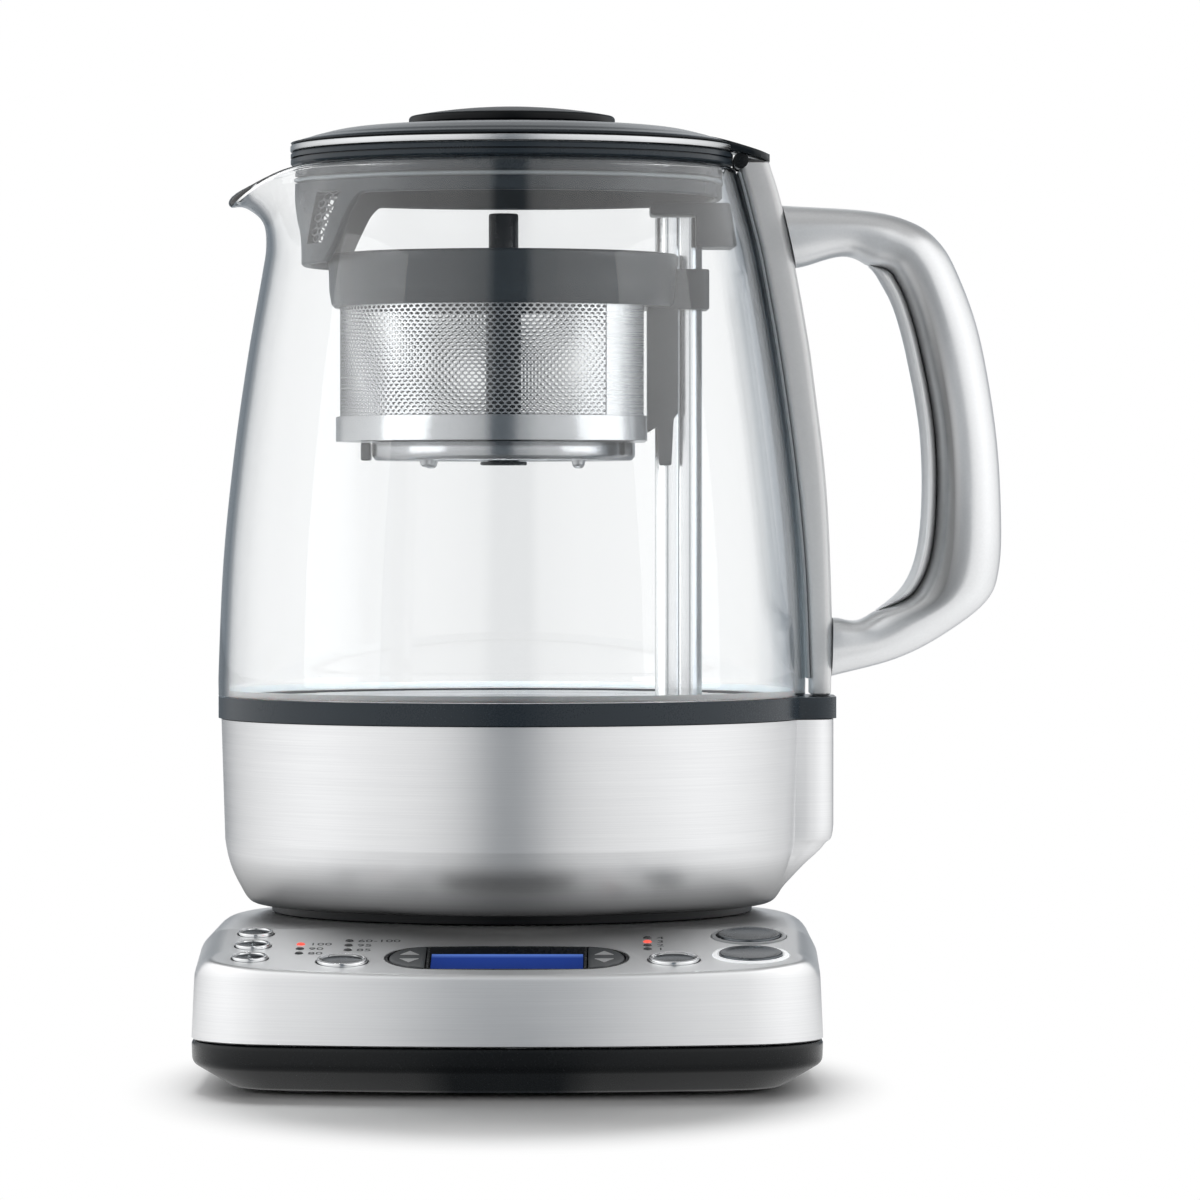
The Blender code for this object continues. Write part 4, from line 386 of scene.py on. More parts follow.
def display_glow(name, low_y, high_y):
    """Deep blue that lightens towards the display's far edge, with the faint grid of its dots."""
    material = bpy.data.materials.new(name)
    material.use_nodes = True
    tree = material.node_tree
    shader = tree.nodes["Principled BSDF"]
    place = add_node(tree, "ShaderNodeTexCoord").outputs["Object"]
    split = add_node(tree, "ShaderNodeSeparateXYZ", {0: place})
    rise = map_range(tree, split.outputs["Y"], 0.0, 1.0, low_y, high_y)
    hue = colour_mix(tree, rise, (0.015, 0.034, 0.160), (0.020, 0.050, 0.260))
    edge = map_range(tree, rise, 0.0, 1.0, 0.86, 1.0)
    hue = colour_mix(tree, edge, hue, (0.10, 0.19, 0.55))
    dots = []
    for axis, pitch in (("X", 0.00052), ("Y", 0.00052)):
        wave = math_node(tree, "SINE", math_node(tree, "MULTIPLY", split.outputs[axis], math.tau / pitch))
        dots.append(math_node(tree, "ABSOLUTE", wave))
    grid = math_node(tree, "POWER", math_node(tree, "MINIMUM", *dots), 0.3)
    shade = map_range(tree, grid, 0.86, 1.0)
    lit = add_node(tree, "ShaderNodeVectorMath", {0: hue, 3: shade}, operation="SCALE").outputs[0]
    tree.links.new(lit, shader.inputs["Base Color"])
    tree.links.new(lit, shader.inputs["Emission Color"])
    shader.inputs["Emission Strength"].default_value = 0.75
    shader.inputs["Roughness"].default_value = 0.6
    shader.inputs["Specular IOR Level"].default_value = 0.0
    return material


def board_surface():
    """Green board with pale copper tracks under the lacquer."""
    material = bpy.data.materials.new("control_board")
    material.use_nodes = True
    tree = material.node_tree
    shader = tree.nodes["Principled BSDF"]
    place = add_node(tree, "ShaderNodeTexCoord").outputs["Object"]
    cells = {"Vector": place, "Scale": 260.0, "Randomness": 0.6}
    track = add_node(tree, "ShaderNodeTexVoronoi", cells, distance="MANHATTAN", feature="F1")
    lines = map_range(tree, track.outputs["Distance"], 1.0, 0.0, 0.40, 0.46)
    tree.links.new(colour_mix(tree, lines, (0.02, 0.11, 0.05), (0.05, 0.22, 0.10)), shader.inputs["Base Color"])
    tree.links.new(map_range(tree, lines, 0.45, 0.30), shader.inputs["Roughness"])
    bumped = add_node(tree, "ShaderNodeBump", {"Height": lines, "Strength": 1.0, "Distance": 0.00003})
    tree.links.new(bumped.outputs["Normal"], shader.inputs["Normal"])
    return material


lit_red = glowing("lit_red_lens", (0.85, 0.06, 0.04), (0.95, 0.16, 0.10), 0.9, 0.25)
dark_lens = finish(
    "dark_lens", (0.030, 0.032, 0.036), (0.050, 0.053, 0.058), (0.12, 0.18), "grain", POLISHED, 0.000002,
)
lit_ring = glowing("lit_white_ring", (0.86, 0.88, 0.90), (0.95, 0.96, 0.97), 0.55, 0.3)
quiet_ring = finish(
    "quiet_ring", (0.62, 0.64, 0.66), (0.70, 0.72, 0.74), (0.28, 0.36), "grain", MOULDED, 0.000004,
)
red_guide = finish(
    "light_guide", (0.55, 0.18, 0.16), (0.66, 0.26, 0.24), (0.2, 0.3), "grain", POLISHED, 0.000003,
    Transmission_Weight=0.0,
)
display_blue = display_glow("display_blue", -0.1105, -0.0865)
board_green = board_surface()
print("materials:", len(bpy.data.materials))

# %% [markdown]
# ## The studio
# The photograph has a white background and a white floor with a soft shadow in front of the base,
# so the main light comes from above and behind. Two wide softboxes stand at the sides, and the
# camera's side is dark, which draws the dark band down the middle of every glossy piece. The
# world shows that room to reflections: its brightness depends on the direction alone. It is white
# for the camera and through the glass, and a dimmer light for everything else.

# %% World
WORLD_LIGHT = 0.17
ROOM_STRENGTH = 2.0
CEILING = 0.50
COOL = 0.16
# (degrees from the camera's side, brightness)
ROOM_TONES = [
    (0, 0.24), (7, 0.24), (12, 0.95), (30, 1.30), (58, 1.45), (76, 1.65), (98, 1.50), (118, 1.25),
    (138, 0.95), (154, 0.22), (172, 0.32), (176, 0.80),
]


def ray_kinds(tree):
    """Two switches: one for what is seen directly or through glass, and one for reflections."""
    path = add_node(tree, "ShaderNodeLightPath")
    mirrored = math_node(tree, "GREATER_THAN", path.outputs["Glossy Depth"], 0.5)
    not_light = math_node(tree, "LESS_THAN", path.outputs["Diffuse Depth"], 0.5)
    mirrored = math_node(tree, "MULTIPLY", mirrored, not_light)
    seen = math_node(tree, "MAXIMUM", path.outputs["Is Camera Ray"], path.outputs["Is Transmission Ray"])
    seen = math_node(tree, "MULTIPLY", seen, not_light)
    return math_node(tree, "MULTIPLY", seen, math_node(tree, "SUBTRACT", 1.0, mirrored)), mirrored


def room_tone(tree, way):
    """The room's brightness in a direction."""
    split = add_node(tree, "ShaderNodeSeparateXYZ", {0: way})
    across = math_node(tree, "ARCTAN2", split.outputs["X"], math_node(tree, "MULTIPLY", split.outputs["Y"], -1.0))
    turn = math_node(tree, "ABSOLUTE", across)
    ramp = add_node(tree, "ShaderNodeValToRGB", {0: map_range(tree, turn, 0.0, 1.0, 0.0, math.pi)})
    points = ramp.color_ramp.elements
    for index, (degrees, grey) in enumerate(ROOM_TONES):
        point = points[index] if index < 2 else points.new(1.0)
        point.position = degrees / 180
        cool = COOL * max(1 - grey, 0)
        point.color = [grey * (1 + share) / ROOM_STRENGTH for share in (-cool, 0, cool)] + [1.0]
    level = add_node(tree, "ShaderNodeVectorMath", {0: way, 1: (1, 1, 0)}, operation="MULTIPLY").outputs[0]
    flat = add_node(tree, "ShaderNodeVectorMath", {0: level}, operation="LENGTH").outputs["Value"]
    rise = math_node(tree, "ABSOLUTE", math_node(tree, "ARCTAN2", split.outputs["Z"], flat))
    rear = map_range(tree, turn, 0.0, 1.0, math.radians(105), math.radians(135))
    top = map_range(tree, rear, math.radians(52), math.radians(20))
    over = math_node(tree, "SUBTRACT", rise, top)
    fade = map_range(tree, over, 1.0, 0.22, 0.0, math.radians(14))
    tone = add_node(tree, "ShaderNodeVectorMath", {0: ramp.outputs[0], 3: fade}, operation="SCALE").outputs[0]
    overhead = map_range(tree, rise, 0.0, 1.0, math.radians(50), math.radians(72))
    level = CEILING / ROOM_STRENGTH
    return colour_mix(tree, overhead, tone, (level, level, level))


def make_world():
    world = bpy.data.worlds.new("studio_world")
    scene.world = world
    world.use_nodes = True
    tree = world.node_tree
    tree.nodes.clear()
    seen, mirrored = ray_kinds(tree)
    dim = add_node(tree, "ShaderNodeBackground", {"Color": (1, 1, 1, 1), "Strength": WORLD_LIGHT})
    white = add_node(tree, "ShaderNodeBackground", {"Color": (1, 1, 1, 1), "Strength": 1.0})
    way = add_node(tree, "ShaderNodeTexCoord").outputs["Generated"]
    room = add_node(tree, "ShaderNodeBackground", {"Color": room_tone(tree, way), "Strength": ROOM_STRENGTH})
    mixed = add_node(tree, "ShaderNodeMixShader", {0: seen, 1: dim.outputs[0], 2: white.outputs[0]})
    mixed = add_node(tree, "ShaderNodeMixShader", {0: mirrored, 1: mixed.outputs[0], 2: room.outputs[0]})
    output = tree.nodes.new("ShaderNodeOutputWorld")
    tree.links.new(mixed.outputs[0], output.inputs["Surface"])


make_world()
if hasattr(scene.world, "cycles"):
    scene.world.cycles.sampling_method = "NONE"
print("room tones:", len(ROOM_TONES))

# %% Floor
FLOOR_HALF = 12.0
SHADOW_ROOM = (0.120, 0.180)
SHADOW_MIDDLE = (0.0, -0.070, 0.0)
SHADOW_STRETCH = (1.75, 0.95, 1.0)


def floor_material():
    material = bpy.data.materials.new("white_floor")
    material.use_nodes = True
    if hasattr(material, "cycles"):
        material.cycles.emission_sampling = "NONE"
    tree = material.node_tree
    shader = tree.nodes["Principled BSDF"]
    shader.inputs["Base Color"].default_value = (0.86, 0.86, 0.86, 1.0)
    shader.inputs["Roughness"].default_value = 0.6
    shader.inputs["Specular IOR Level"].default_value = 0.2
    place = add_node(tree, "ShaderNodeTexCoord").outputs["Object"]
    away = add_node(tree, "ShaderNodeVectorMath", {0: place}, operation="LENGTH").outputs["Value"]
    oval = add_node(tree, "ShaderNodeVectorMath", {0: place, 1: SHADOW_MIDDLE}, operation="SUBTRACT").outputs[0]
    oval = add_node(tree, "ShaderNodeVectorMath", {0: oval, 1: SHADOW_STRETCH}, operation="MULTIPLY").outputs[0]
    oval = add_node(tree, "ShaderNodeVectorMath", {0: oval}, operation="LENGTH").outputs["Value"]
    limits = {0: oval, 1: SHADOW_ROOM[0], 2: SHADOW_ROOM[1], 3: 0.0, 4: 1.0}
    share = add_node(tree, "ShaderNodeMapRange", limits, interpolation_type="SMOOTHSTEP").outputs[0]
    white = add_node(tree, "ShaderNodeEmission", {"Color": (1, 1, 1, 1), "Strength": 1.0})
    seen, mirrored = ray_kinds(tree)
    seen = math_node(tree, "MULTIPLY", share, seen)
    near = add_node(tree, "ShaderNodeMixShader", {0: seen, 1: shader.outputs[0], 2: white.outputs[0]})
    room = add_node(tree, "ShaderNodeEmission", {"Color": room_tone(tree, place), "Strength": ROOM_STRENGTH * 0.8})
    mirrored = math_node(tree, "MULTIPLY", mirrored, map_range(tree, away, 0.35, 1.0, 0.07, 0.34))
    mixed = add_node(tree, "ShaderNodeMixShader", {0: mirrored, 1: near.outputs[0], 2: room.outputs[0]})
    tree.links.new(mixed.outputs[0], tree.nodes["Material Output"].inputs["Surface"])
    return material


def stage_object(name, bm, material):
    mesh = bpy.data.meshes.new(name)
    bm.to_mesh(mesh)
    bm.free()
    mesh.materials.append(material)
    made = bpy.data.objects.new(name, mesh)
    scene.collection.objects.link(made)
    return made


def make_floor():
    bm = bmesh.new()
    bmesh.ops.create_grid(bm, x_segments=4, y_segments=4, size=FLOOR_HALF)
    stage_object("floor", bm, floor_material()).location.z = -0.0002


make_floor()

# %% [markdown]
# Three soft lamps carry most of the light: two from the front left and right, and a larger one
# above and behind. Reflections don't see them, because the room already shows their glow.

# %% Lamps
LAMPS = [
    ("left_softbox", (-1.65, -0.60, 0.48), (1.2, 0.9), 6.0),
    ("right_softbox", (1.65, -0.55, 0.48), (1.2, 0.9), 5.4),
    ("top_softbox", (0.0, 0.80, 1.55), (0.9, 0.5), 29.0),
]
AIM = Vector((0.01, 0, 0.10))
for name, place_of_lamp, size, power in LAMPS:
    lamp = bpy.data.lights.new(name, "AREA")
    lamp.shape = "RECTANGLE"
    lamp.size, lamp.size_y = size
    lamp.energy = power
    holder = bpy.data.objects.new(name, lamp)
    holder.location = place_of_lamp
    holder.rotation_euler = (AIM - Vector(place_of_lamp)).to_track_quat("-Z", "Y").to_euler()
    holder.visible_glossy = False
    scene.collection.objects.link(holder)
print("lamps:", len(LAMPS))

# %% [markdown]
# ## Shape helpers
# Nearly every piece is one of three forms. A turned piece is an outline spun round an upright
# axis. A skinned piece runs through rings of equally many points. A prism is a flat outline with
# a thickness. The outlines get their small edge radii here, because a sharp edge never catches
# the light as a real one does.

# %% Outlines
def rounded(points, radius, steps=3, closed=False):
    """Turn an outline's corners into small arcs."""
    made = []
    count = len(points)
    for index, point in enumerate(points):
        corner = Vector(point)
        if not closed and index in (0, count - 1):
            made.append(corner)
            continue
        before = Vector(points[index - 1]) - corner
        after = Vector(points[(index + 1) % count]) - corner
        reach = min(radius, before.length * 0.45, after.length * 0.45)
        start = corner + before.normalized() * reach
        end = corner + after.normalized() * reach
        for step in range(steps + 1):
            t = step / steps
            made.append(start * (1 - t) ** 2 + corner * 2 * t * (1 - t) + end * t * t)
    return made


def smooth_curve(rows, steps):
    """A smooth line through rows of numbers, with several steps between two rows."""
    rows = [list(row) for row in rows]
    before = [2 * a - b for a, b in zip(rows[0], rows[1])]
    after = [2 * a - b for a, b in zip(rows[-1], rows[-2])]
    padded = [before, *rows, after]
    made = []
    for index in range(1, len(padded) - 2):
        for step in range(steps):
            t = step / steps
            row = []
            for a, b, c, d in zip(*padded[index - 1:index + 3]):
                bend = 2 * b + (c - a) * t + (2 * a - 5 * b + 4 * c - d) * t * t
                row.append((bend + (3 * b - a - 3 * c + d) * t ** 3) / 2)
            made.append(row)
    made.append(rows[-1])
    return made


def smooth_step(value):
    held = min(max(value, 0.0), 1.0)
    return held * held * (3 - 2 * held)


def circle(radius, height, sides, x=0.0, y=0.0):
    angles = [math.tau * step / sides for step in range(sides)]
    return [Vector((x + radius * math.cos(a), y + radius * math.sin(a), height)) for a in angles]


# %% Meshes
def skin(bm, rings, closed=False, caps=True):
    """Join rings of equally many points. A ring of one point closes the form in a tip."""
    rows = [[bm.verts.new(point) for point in ring] for ring in rings]
    pairs = list(zip(rows, rows[1:]))
    if closed:
        pairs.append((rows[-1], rows[0]))
    for low, high in pairs:
        for index in range(max(len(low), len(high))):
            corners = [
                low[index % len(low)], low[(index + 1) % len(low)],
                high[(index + 1) % len(high)], high[index % len(high)],
            ]
            bm.faces.new(list(dict.fromkeys(corners)))
    if caps and not closed:
        for row in (rows[0], rows[-1]):
            if len(row) > 2:
                bm.faces.new(row)
    return bm


def turned(outline, sides=96, x=0.0, y=0.0, z=0.0, closed=False, bm=None):
    """Spin a (radius, height) outline round an upright axis."""
    rings = []
    for radius, height in outline:
        on_axis = radius < 1e-6
        rings.append([Vector((x, y, z + height))] if on_axis else circle(radius, z + height, sides, x, y))
    return skin(bm or bmesh.new(), rings, closed, caps=False)


def prism(outline, low, high, across="XY", bm=None):
    """A flat outline with a thickness along Z, or along Y if it lies in XZ."""
    def ring(level):
        if across == "XY":
            return [Vector((a, b, level)) for a, b in outline]
        return [Vector((a, level, b)) for a, b in outline]

    return skin(bm or bmesh.new(), [ring(low), ring(high)])


def block(low, high, bm=None):
    (x0, y0, z0), (x1, y1, z1) = low, high
    return prism([(x0, y0), (x1, y0), (x1, y1), (x0, y1)], z0, z1, bm=bm)


def new_mesh(name, bm, material):
    """Close the seams, point the faces outwards, and keep hard edges hard."""
    bmesh.ops.remove_doubles(bm, verts=bm.verts, dist=1e-6)
    bmesh.ops.recalc_face_normals(bm, faces=bm.faces)
    mesh = bpy.data.meshes.new(name)
    bm.to_mesh(mesh)
    bm.free()
    mesh.materials.append(material)
    mesh.shade_smooth()
    mesh.set_sharp_from_angle(angle=math.radians(32))
    piece = bpy.data.objects.new(name, mesh)
    scene.collection.objects.link(piece)
    return piece


def settle(piece):
    """Make the modifiers part of the mesh, so that the piece is a plain one."""
    seen = bpy.context.evaluated_depsgraph_get()
    mesh = bpy.data.meshes.new_from_object(piece.evaluated_get(seen), depsgraph=seen)
    piece.modifiers.clear()
    old = piece.data
    piece.data = mesh
    bpy.data.meshes.remove(old)
    mesh.shade_smooth()
    mesh.set_sharp_from_angle(angle=math.radians(32))


def carve(piece, forms, operation="DIFFERENCE"):
    """Cut forms out of a piece, or join them to it."""
    helpers = []
    for form in forms:
        helper = new_mesh(f"{piece.name}_helper", form, piece.data.materials[0])
        step = piece.modifiers.new("carve", "BOOLEAN")
        step.operation = operation
        step.solver = "EXACT"
        step.object = helper
        helpers.append(helper)
    settle(piece)
    for helper in helpers:
        bpy.data.objects.remove(helper)


def bevelled(piece, width, segments=3, angle=32):
    step = piece.modifiers.new("edges", "BEVEL")
    step.width = width
    step.segments = segments
    step.limit_method = "ANGLE"
    step.angle_limit = math.radians(angle)
    settle(piece)


def place(piece, body, replaced=(), slot=None):
    """Let a finished piece ride on its body, and stand for its CAD nodes."""
    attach(piece, body)
    if replaced:
        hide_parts(*replaced)
    triangles = sum(len(face.vertices) - 2 for face in piece.data.polygons)
    print(f"{piece.name}: {triangles} triangles on {body}")
    return piece


# %% [markdown]
# ## The base's plan
# Seen from above, the base is a half circle at the rear, straight sides, rounded front corners and
# a gently bowed front. One list of points and outward directions serves every ring of the housing
# and the shell, so that they always line up.

# %% Base plan
BASE_HALF_WIDTH = 0.0822
FRONT_REACH = 0.120
FRONT_BOW = 0.270
FRONT_CORNER = 0.026
PANEL_FRONT_Z = 0.0318
PANEL_SLOPE = math.radians(8.5)
PANEL = Matrix.Translation((0, -FRONT_REACH, PANEL_FRONT_Z)) @ Matrix.Rotation(PANEL_SLOPE, 4, "X")


def base_plan():
    bow_y = FRONT_BOW - FRONT_REACH
    corner_x = BASE_HALF_WIDTH - FRONT_CORNER
    reach = FRONT_BOW - FRONT_CORNER
    corner_y = bow_y - math.sqrt(reach * reach - corner_x * corner_x)
    bow = math.atan2(corner_x, bow_y - corner_y)
    down = math.pi * 3 / 2
    marks = []

    def arc(x, y, radius, start, end, steps):
        for step in range(steps):
            angle = start + (end - start) * step / steps
            way = Vector((math.cos(angle), math.sin(angle), 0))
            marks.append((Vector((x, y, 0)) + way * radius, way))

    def side(sign, start, end, steps=8):
        for step in range(steps):
            y = start + (end - start) * step / steps
            marks.append((Vector((sign * BASE_HALF_WIDTH, y, 0)), Vector((sign, 0, 0))))

    arc(0, 0, BASE_HALF_WIDTH, 0, math.pi, 72)
    side(-1, 0, corner_y)
    arc(-corner_x, corner_y, FRONT_CORNER, math.pi, down - bow, 18)
    arc(0, bow_y, FRONT_BOW, down - bow, down + bow, 40)
    arc(corner_x, corner_y, FRONT_CORNER, down + bow, math.tau, 18)
    side(1, corner_y, 0)
    return marks


BASE_PLAN = base_plan()


def base_ring(inset, height):
    ring = []
    for point, way in BASE_PLAN:
        spot = point - way * (inset(way) if callable(inset) else inset)
        spot.z = height(way) if callable(height) else height
        ring.append(spot)
    return ring


def seat_ring(radius, height):
    ring = [point.normalized() * radius for point, _ in BASE_PLAN]
    for spot in ring:
        spot.z = height
    return ring


print("base plan:", len(BASE_PLAN), "points")

# %% [markdown]
# ## The black lower housing
# The tray under the shell is moulded in black plastic, with a long chamfer that lets the base
# float above the table. It stands on four rubber feet. Rings of the plan, moved inwards and
# upwards, give the chamfer with its two soft edges.

# %% Lower housing
HOUSING_LOW = 0.001
HOUSING_EDGE_Z = 0.0074
HOUSING_TOP_Z = 0.0132
HOUSING_CHAMFER = 0.011
FEET = [(-0.052, -0.088), (0.052, -0.088), (-0.052, 0.035), (0.052, 0.035)]


def make_housing():
    profile = rounded(
        [(0.020, HOUSING_LOW), (HOUSING_CHAMFER, HOUSING_LOW), (0.0002, HOUSING_EDGE_Z),
         (0.0, HOUSING_TOP_Z), (0.0026, HOUSING_TOP_Z), (0.0028, 0.0087), (HOUSING_CHAMFER, 0.0036),
         (0.020, 0.0036)],
        0.0016, 5,
    )
    bm = skin(bmesh.new(), [base_ring(inset, height) for inset, height in profile])
    housing = new_mesh("lower_housing", bm, black_plastic)
    pockets = [turned([(0, -0.004), (0.0083, -0.004), (0.0083, 0.0025), (0, 0.0025)], 48, x, y) for x, y in FEET]
    carve(housing, pockets)
    place(housing, "base", ["base_lower_housing"], "black_plastic")


def make_feet():
    bm = bmesh.new()
    outline = rounded([(0, 0.0006), (0.0040, 0.0006), (0.0046, 0), (0.0074, 0), (0.0080, 0.0008), (0.0080, 0.0022), (0, 0.0022)], 0.0005)
    for x, y in FEET:
        turned(outline, 40, x, y, bm=bm)
    feet = new_mesh("rubber_feet", bm, soft_rubber)
    place(feet, "base", ["foot_front_left", "foot_front_right", "foot_rear_left", "foot_rear_right"], "rubber")


make_housing()
make_feet()

# %% [markdown]
# ## The brushed shell
# The shell is one pressing of brushed steel: an upright band, a rounded shoulder that narrows to a
# crisp edge along the panel's front, the sloped panel, and the raised seat for the jug. It is
# skinned level first. Then a cut along the crease and a shear of everything in front of it fold
# the panel down, which keeps the panel truly flat. The holes are cut last, square to the panel.

# %% Shell values
SHELL_LOW = 0.0135
BASE_TOP_Z = 0.0402
SEAT_Z = 0.0411
SEAT_RADIUS = 0.0665
SEAT_FILLET = 0.0045
SHELL_WALL = 0.0020
BAND_FLARE = 0.0007
CONNECTOR_HOLE = 0.0192
BUTTONS = [
    ("option_button_lower", -0.0664, 0.0210, 0.0046),
    ("option_button_middle", -0.0664, 0.0359, 0.0046),
    ("option_button_upper", -0.0664, 0.0508, 0.0046),
    ("tea_type_button", -0.0424, 0.0174, 0.0066),
    ("strength_button", 0.0432, 0.0194, 0.0066),
    ("start_button", 0.0632, 0.0253, 0.0083),
    ("water_button", 0.0632, 0.0479, 0.0083),
]
TEA_LIGHTS = [(-0.0540 + 0.0125 * column, 0.0271 + 0.0040 * column + 0.0055 * row) for column in range(2) for row in range(3)]
STRENGTH_LIGHTS = [(0.0365, 0.0323 + 0.0045 * row) for row in range(4)]
CLUSTER_UP = 0.0220
CLUSTER_HALF = (0.0318, 0.0137)
WINDOW_HALF = (0.0197, 0.0127)
LARGE_HOLE = 0.0101


def shoulder_radius(way):
    crisp = smooth_step((-way.y - 0.12) / 0.53)
    return 0.0075 + (0.0012 - 0.0075) * crisp


def shoulder_ring(turn, wall=0.0, past=0.0):
    angle = turn * math.pi / 2

    def radius(way):
        return max(shoulder_radius(way) - wall, 0.0006)

    return base_ring(
        lambda way: BAND_FLARE + wall + past + radius(way) * (1 - math.cos(angle)),
        lambda way: BASE_TOP_Z - wall - radius(way) * (1 - math.sin(angle)),
    )


def cluster_outline(inset, steps=20):
    """The lens shape of the display cluster: bowed long sides and half-elliptic ends."""
    half = CLUSTER_HALF[1] - inset
    end = CLUSTER_HALF[0] - inset - WINDOW_HALF[0]
    points = []
    for side in (1, -1):
        for step in range(steps + 1):
            angle = math.pi * (step / steps - 0.5)
            x = WINDOW_HALF[0] + end * math.cos(angle)
            points.append((side * x, CLUSTER_UP + side * half * math.sin(angle)))
        for step in range(1, 8):
            t = step / 8
            x = side * WINDOW_HALF[0] * (1 - 2 * t)
            bow = 0.0007 * (1 - (2 * t - 1) ** 2)
            points.append((x, CLUSTER_UP + side * (half + bow)))
    return points


# %% Brushed shell
def fold_panel(bm):
    slope = math.tan(PANEL_SLOPE)
    crease = (BASE_TOP_Z - PANEL_FRONT_Z) / slope - FRONT_REACH
    whole = bm.verts[:] + bm.edges[:] + bm.faces[:]
    bmesh.ops.bisect_plane(bm, geom=whole, dist=1e-6, plane_co=(0, crease, 0), plane_no=(0, 1, 0))
    for corner in bm.verts:
        beyond = (corner.co.xy.length - SEAT_RADIUS) / SEAT_FILLET
        if corner.co.z > SHELL_LOW + 0.0008 and corner.co.y < crease:
            drop = (crease - corner.co.y) * slope
            corner.co.z -= drop * smooth_step(beyond)
    return crease


def panel_share(material):
    """The panel on top is finished a little more matt than the band."""
    tree = material.node_tree
    height = add_node(tree, "ShaderNodeSeparateXYZ", {0: add_node(tree, "ShaderNodeTexCoord").outputs["Object"]}).outputs["Z"]
    shader = tree.nodes["Principled BSDF"]
    colour = shader.inputs["Base Color"].links[0].from_socket
    top = map_range(tree, height, 0.0, 1.0, 0.0300, 0.0325)
    tree.links.new(colour_mix(tree, top, colour, (0.86, 0.865, 0.87)), shader.inputs["Base Color"])
    tree.links.new(map_range(tree, top, 0.92, 0.80), shader.inputs["Metallic"])
    return material


shell_steel = panel_share(finish(
    "shell_steel", (0.65, 0.655, 0.665), (0.76, 0.765, 0.77), (0.28, 0.38), "brushing", BRUSHED, 0.000006,
))


def make_shell():
    fillet = SEAT_RADIUS + SEAT_FILLET
    rings = [base_ring(0.0004, SHELL_LOW), base_ring(0.0, SHELL_LOW + 0.0003)]
    rings += [shoulder_ring(step / 9) for step in range(10)]
    rings += [shoulder_ring(1, past=0.0003)]
    for step in range(7):
        share = step / 6
        rings.append(seat_ring(fillet - SEAT_FILLET * share, BASE_TOP_Z + (SEAT_Z - BASE_TOP_Z) * smooth_step(share)))
    rings += [
        seat_ring(SEAT_RADIUS - 0.0004, SEAT_Z), seat_ring(CONNECTOR_HOLE + 0.0004, SEAT_Z),
        seat_ring(CONNECTOR_HOLE, SEAT_Z - 0.0004), seat_ring(CONNECTOR_HOLE, SEAT_Z - SHELL_WALL),
        seat_ring(SEAT_RADIUS, SEAT_Z - SHELL_WALL), seat_ring(fillet, BASE_TOP_Z - SHELL_WALL),
        shoulder_ring(1, SHELL_WALL), shoulder_ring(0.5, SHELL_WALL), shoulder_ring(0, SHELL_WALL),
        base_ring(SHELL_WALL, SHELL_LOW),
    ]
    bm = skin(bmesh.new(), rings, closed=True)
    crease = fold_panel(bm)
    shell = new_mesh("brushed_shell", bm, shell_steel)
    low, high = -SHELL_WALL - 0.004, 0.004
    forms = []
    for name, x, up, radius in BUTTONS:
        hole = LARGE_HOLE if radius > 0.008 else radius + 0.0004
        forms.append(turned([(0, low), (hole, low), (hole, high), (0, high)], 64, x, up))
    for x, up in TEA_LIGHTS + STRENGTH_LIGHTS:
        forms.append(turned([(0, low), (0.0012, low), (0.0012, high), (0, high)], 24, x, up))
    forms.append(prism(cluster_outline(0), low, high))
    for form in forms:
        bmesh.ops.transform(form, matrix=PANEL, verts=form.verts)
    cord = turned([(0, -0.01), (0.0055, -0.01), (0.0055, 0.004), (0, 0.004)], 40)
    turn = Matrix.Translation((0, BASE_HALF_WIDTH, 0.0225)) @ Matrix.Rotation(-math.pi / 2, 4, "X")
    bmesh.ops.transform(cord, matrix=turn, verts=cord.verts)
    carve(shell, forms + [cord])
    keep_crease(shell.data, crease)
    place(shell, "base", ["base_shell"], "brushed_steel")


def keep_crease(mesh, crease):
    """The fold is too shallow for the sharp-edge rule, so its edges are marked by place."""
    bm = bmesh.new()
    bm.from_mesh(mesh)
    for edge in bm.edges:
        on_fold = all(abs(corner.co.y - crease) < 1e-5 and corner.co.z > 0.036 for corner in edge.verts)
        if on_fold:
            edge.smooth = False
    bm.to_mesh(mesh)
    bm.free()


make_shell()

# %% [markdown]
# ## The cord outlet and the power connector
# The mains cord leaves at the rear through a rubber grommet. The round connector in the seat is
# what lets the jug be put down at any angle: it has a centre pin and two metal rings, and the
# jug's socket meets them from above.

# %% Grommet and connector
def make_grommet():
    outline = rounded([(0.0037, -0.0074), (0.0052, -0.0074), (0.0052, 0.0003), (0.0068, 0.0003), (0.0068, 0.0011), (0.0056, 0.0016), (0.0037, 0.0016)], 0.0003, 3, closed=True)
    bm = turned(outline, 64, closed=True)
    turn = Matrix.Translation((0, BASE_HALF_WIDTH, 0.0225)) @ Matrix.Rotation(-math.pi / 2, 4, "X")
    bmesh.ops.transform(bm, matrix=turn, verts=bm.verts)
    place(new_mesh("rubber_grommet", bm, soft_rubber), "base", ["cord_grommet"], "rubber")


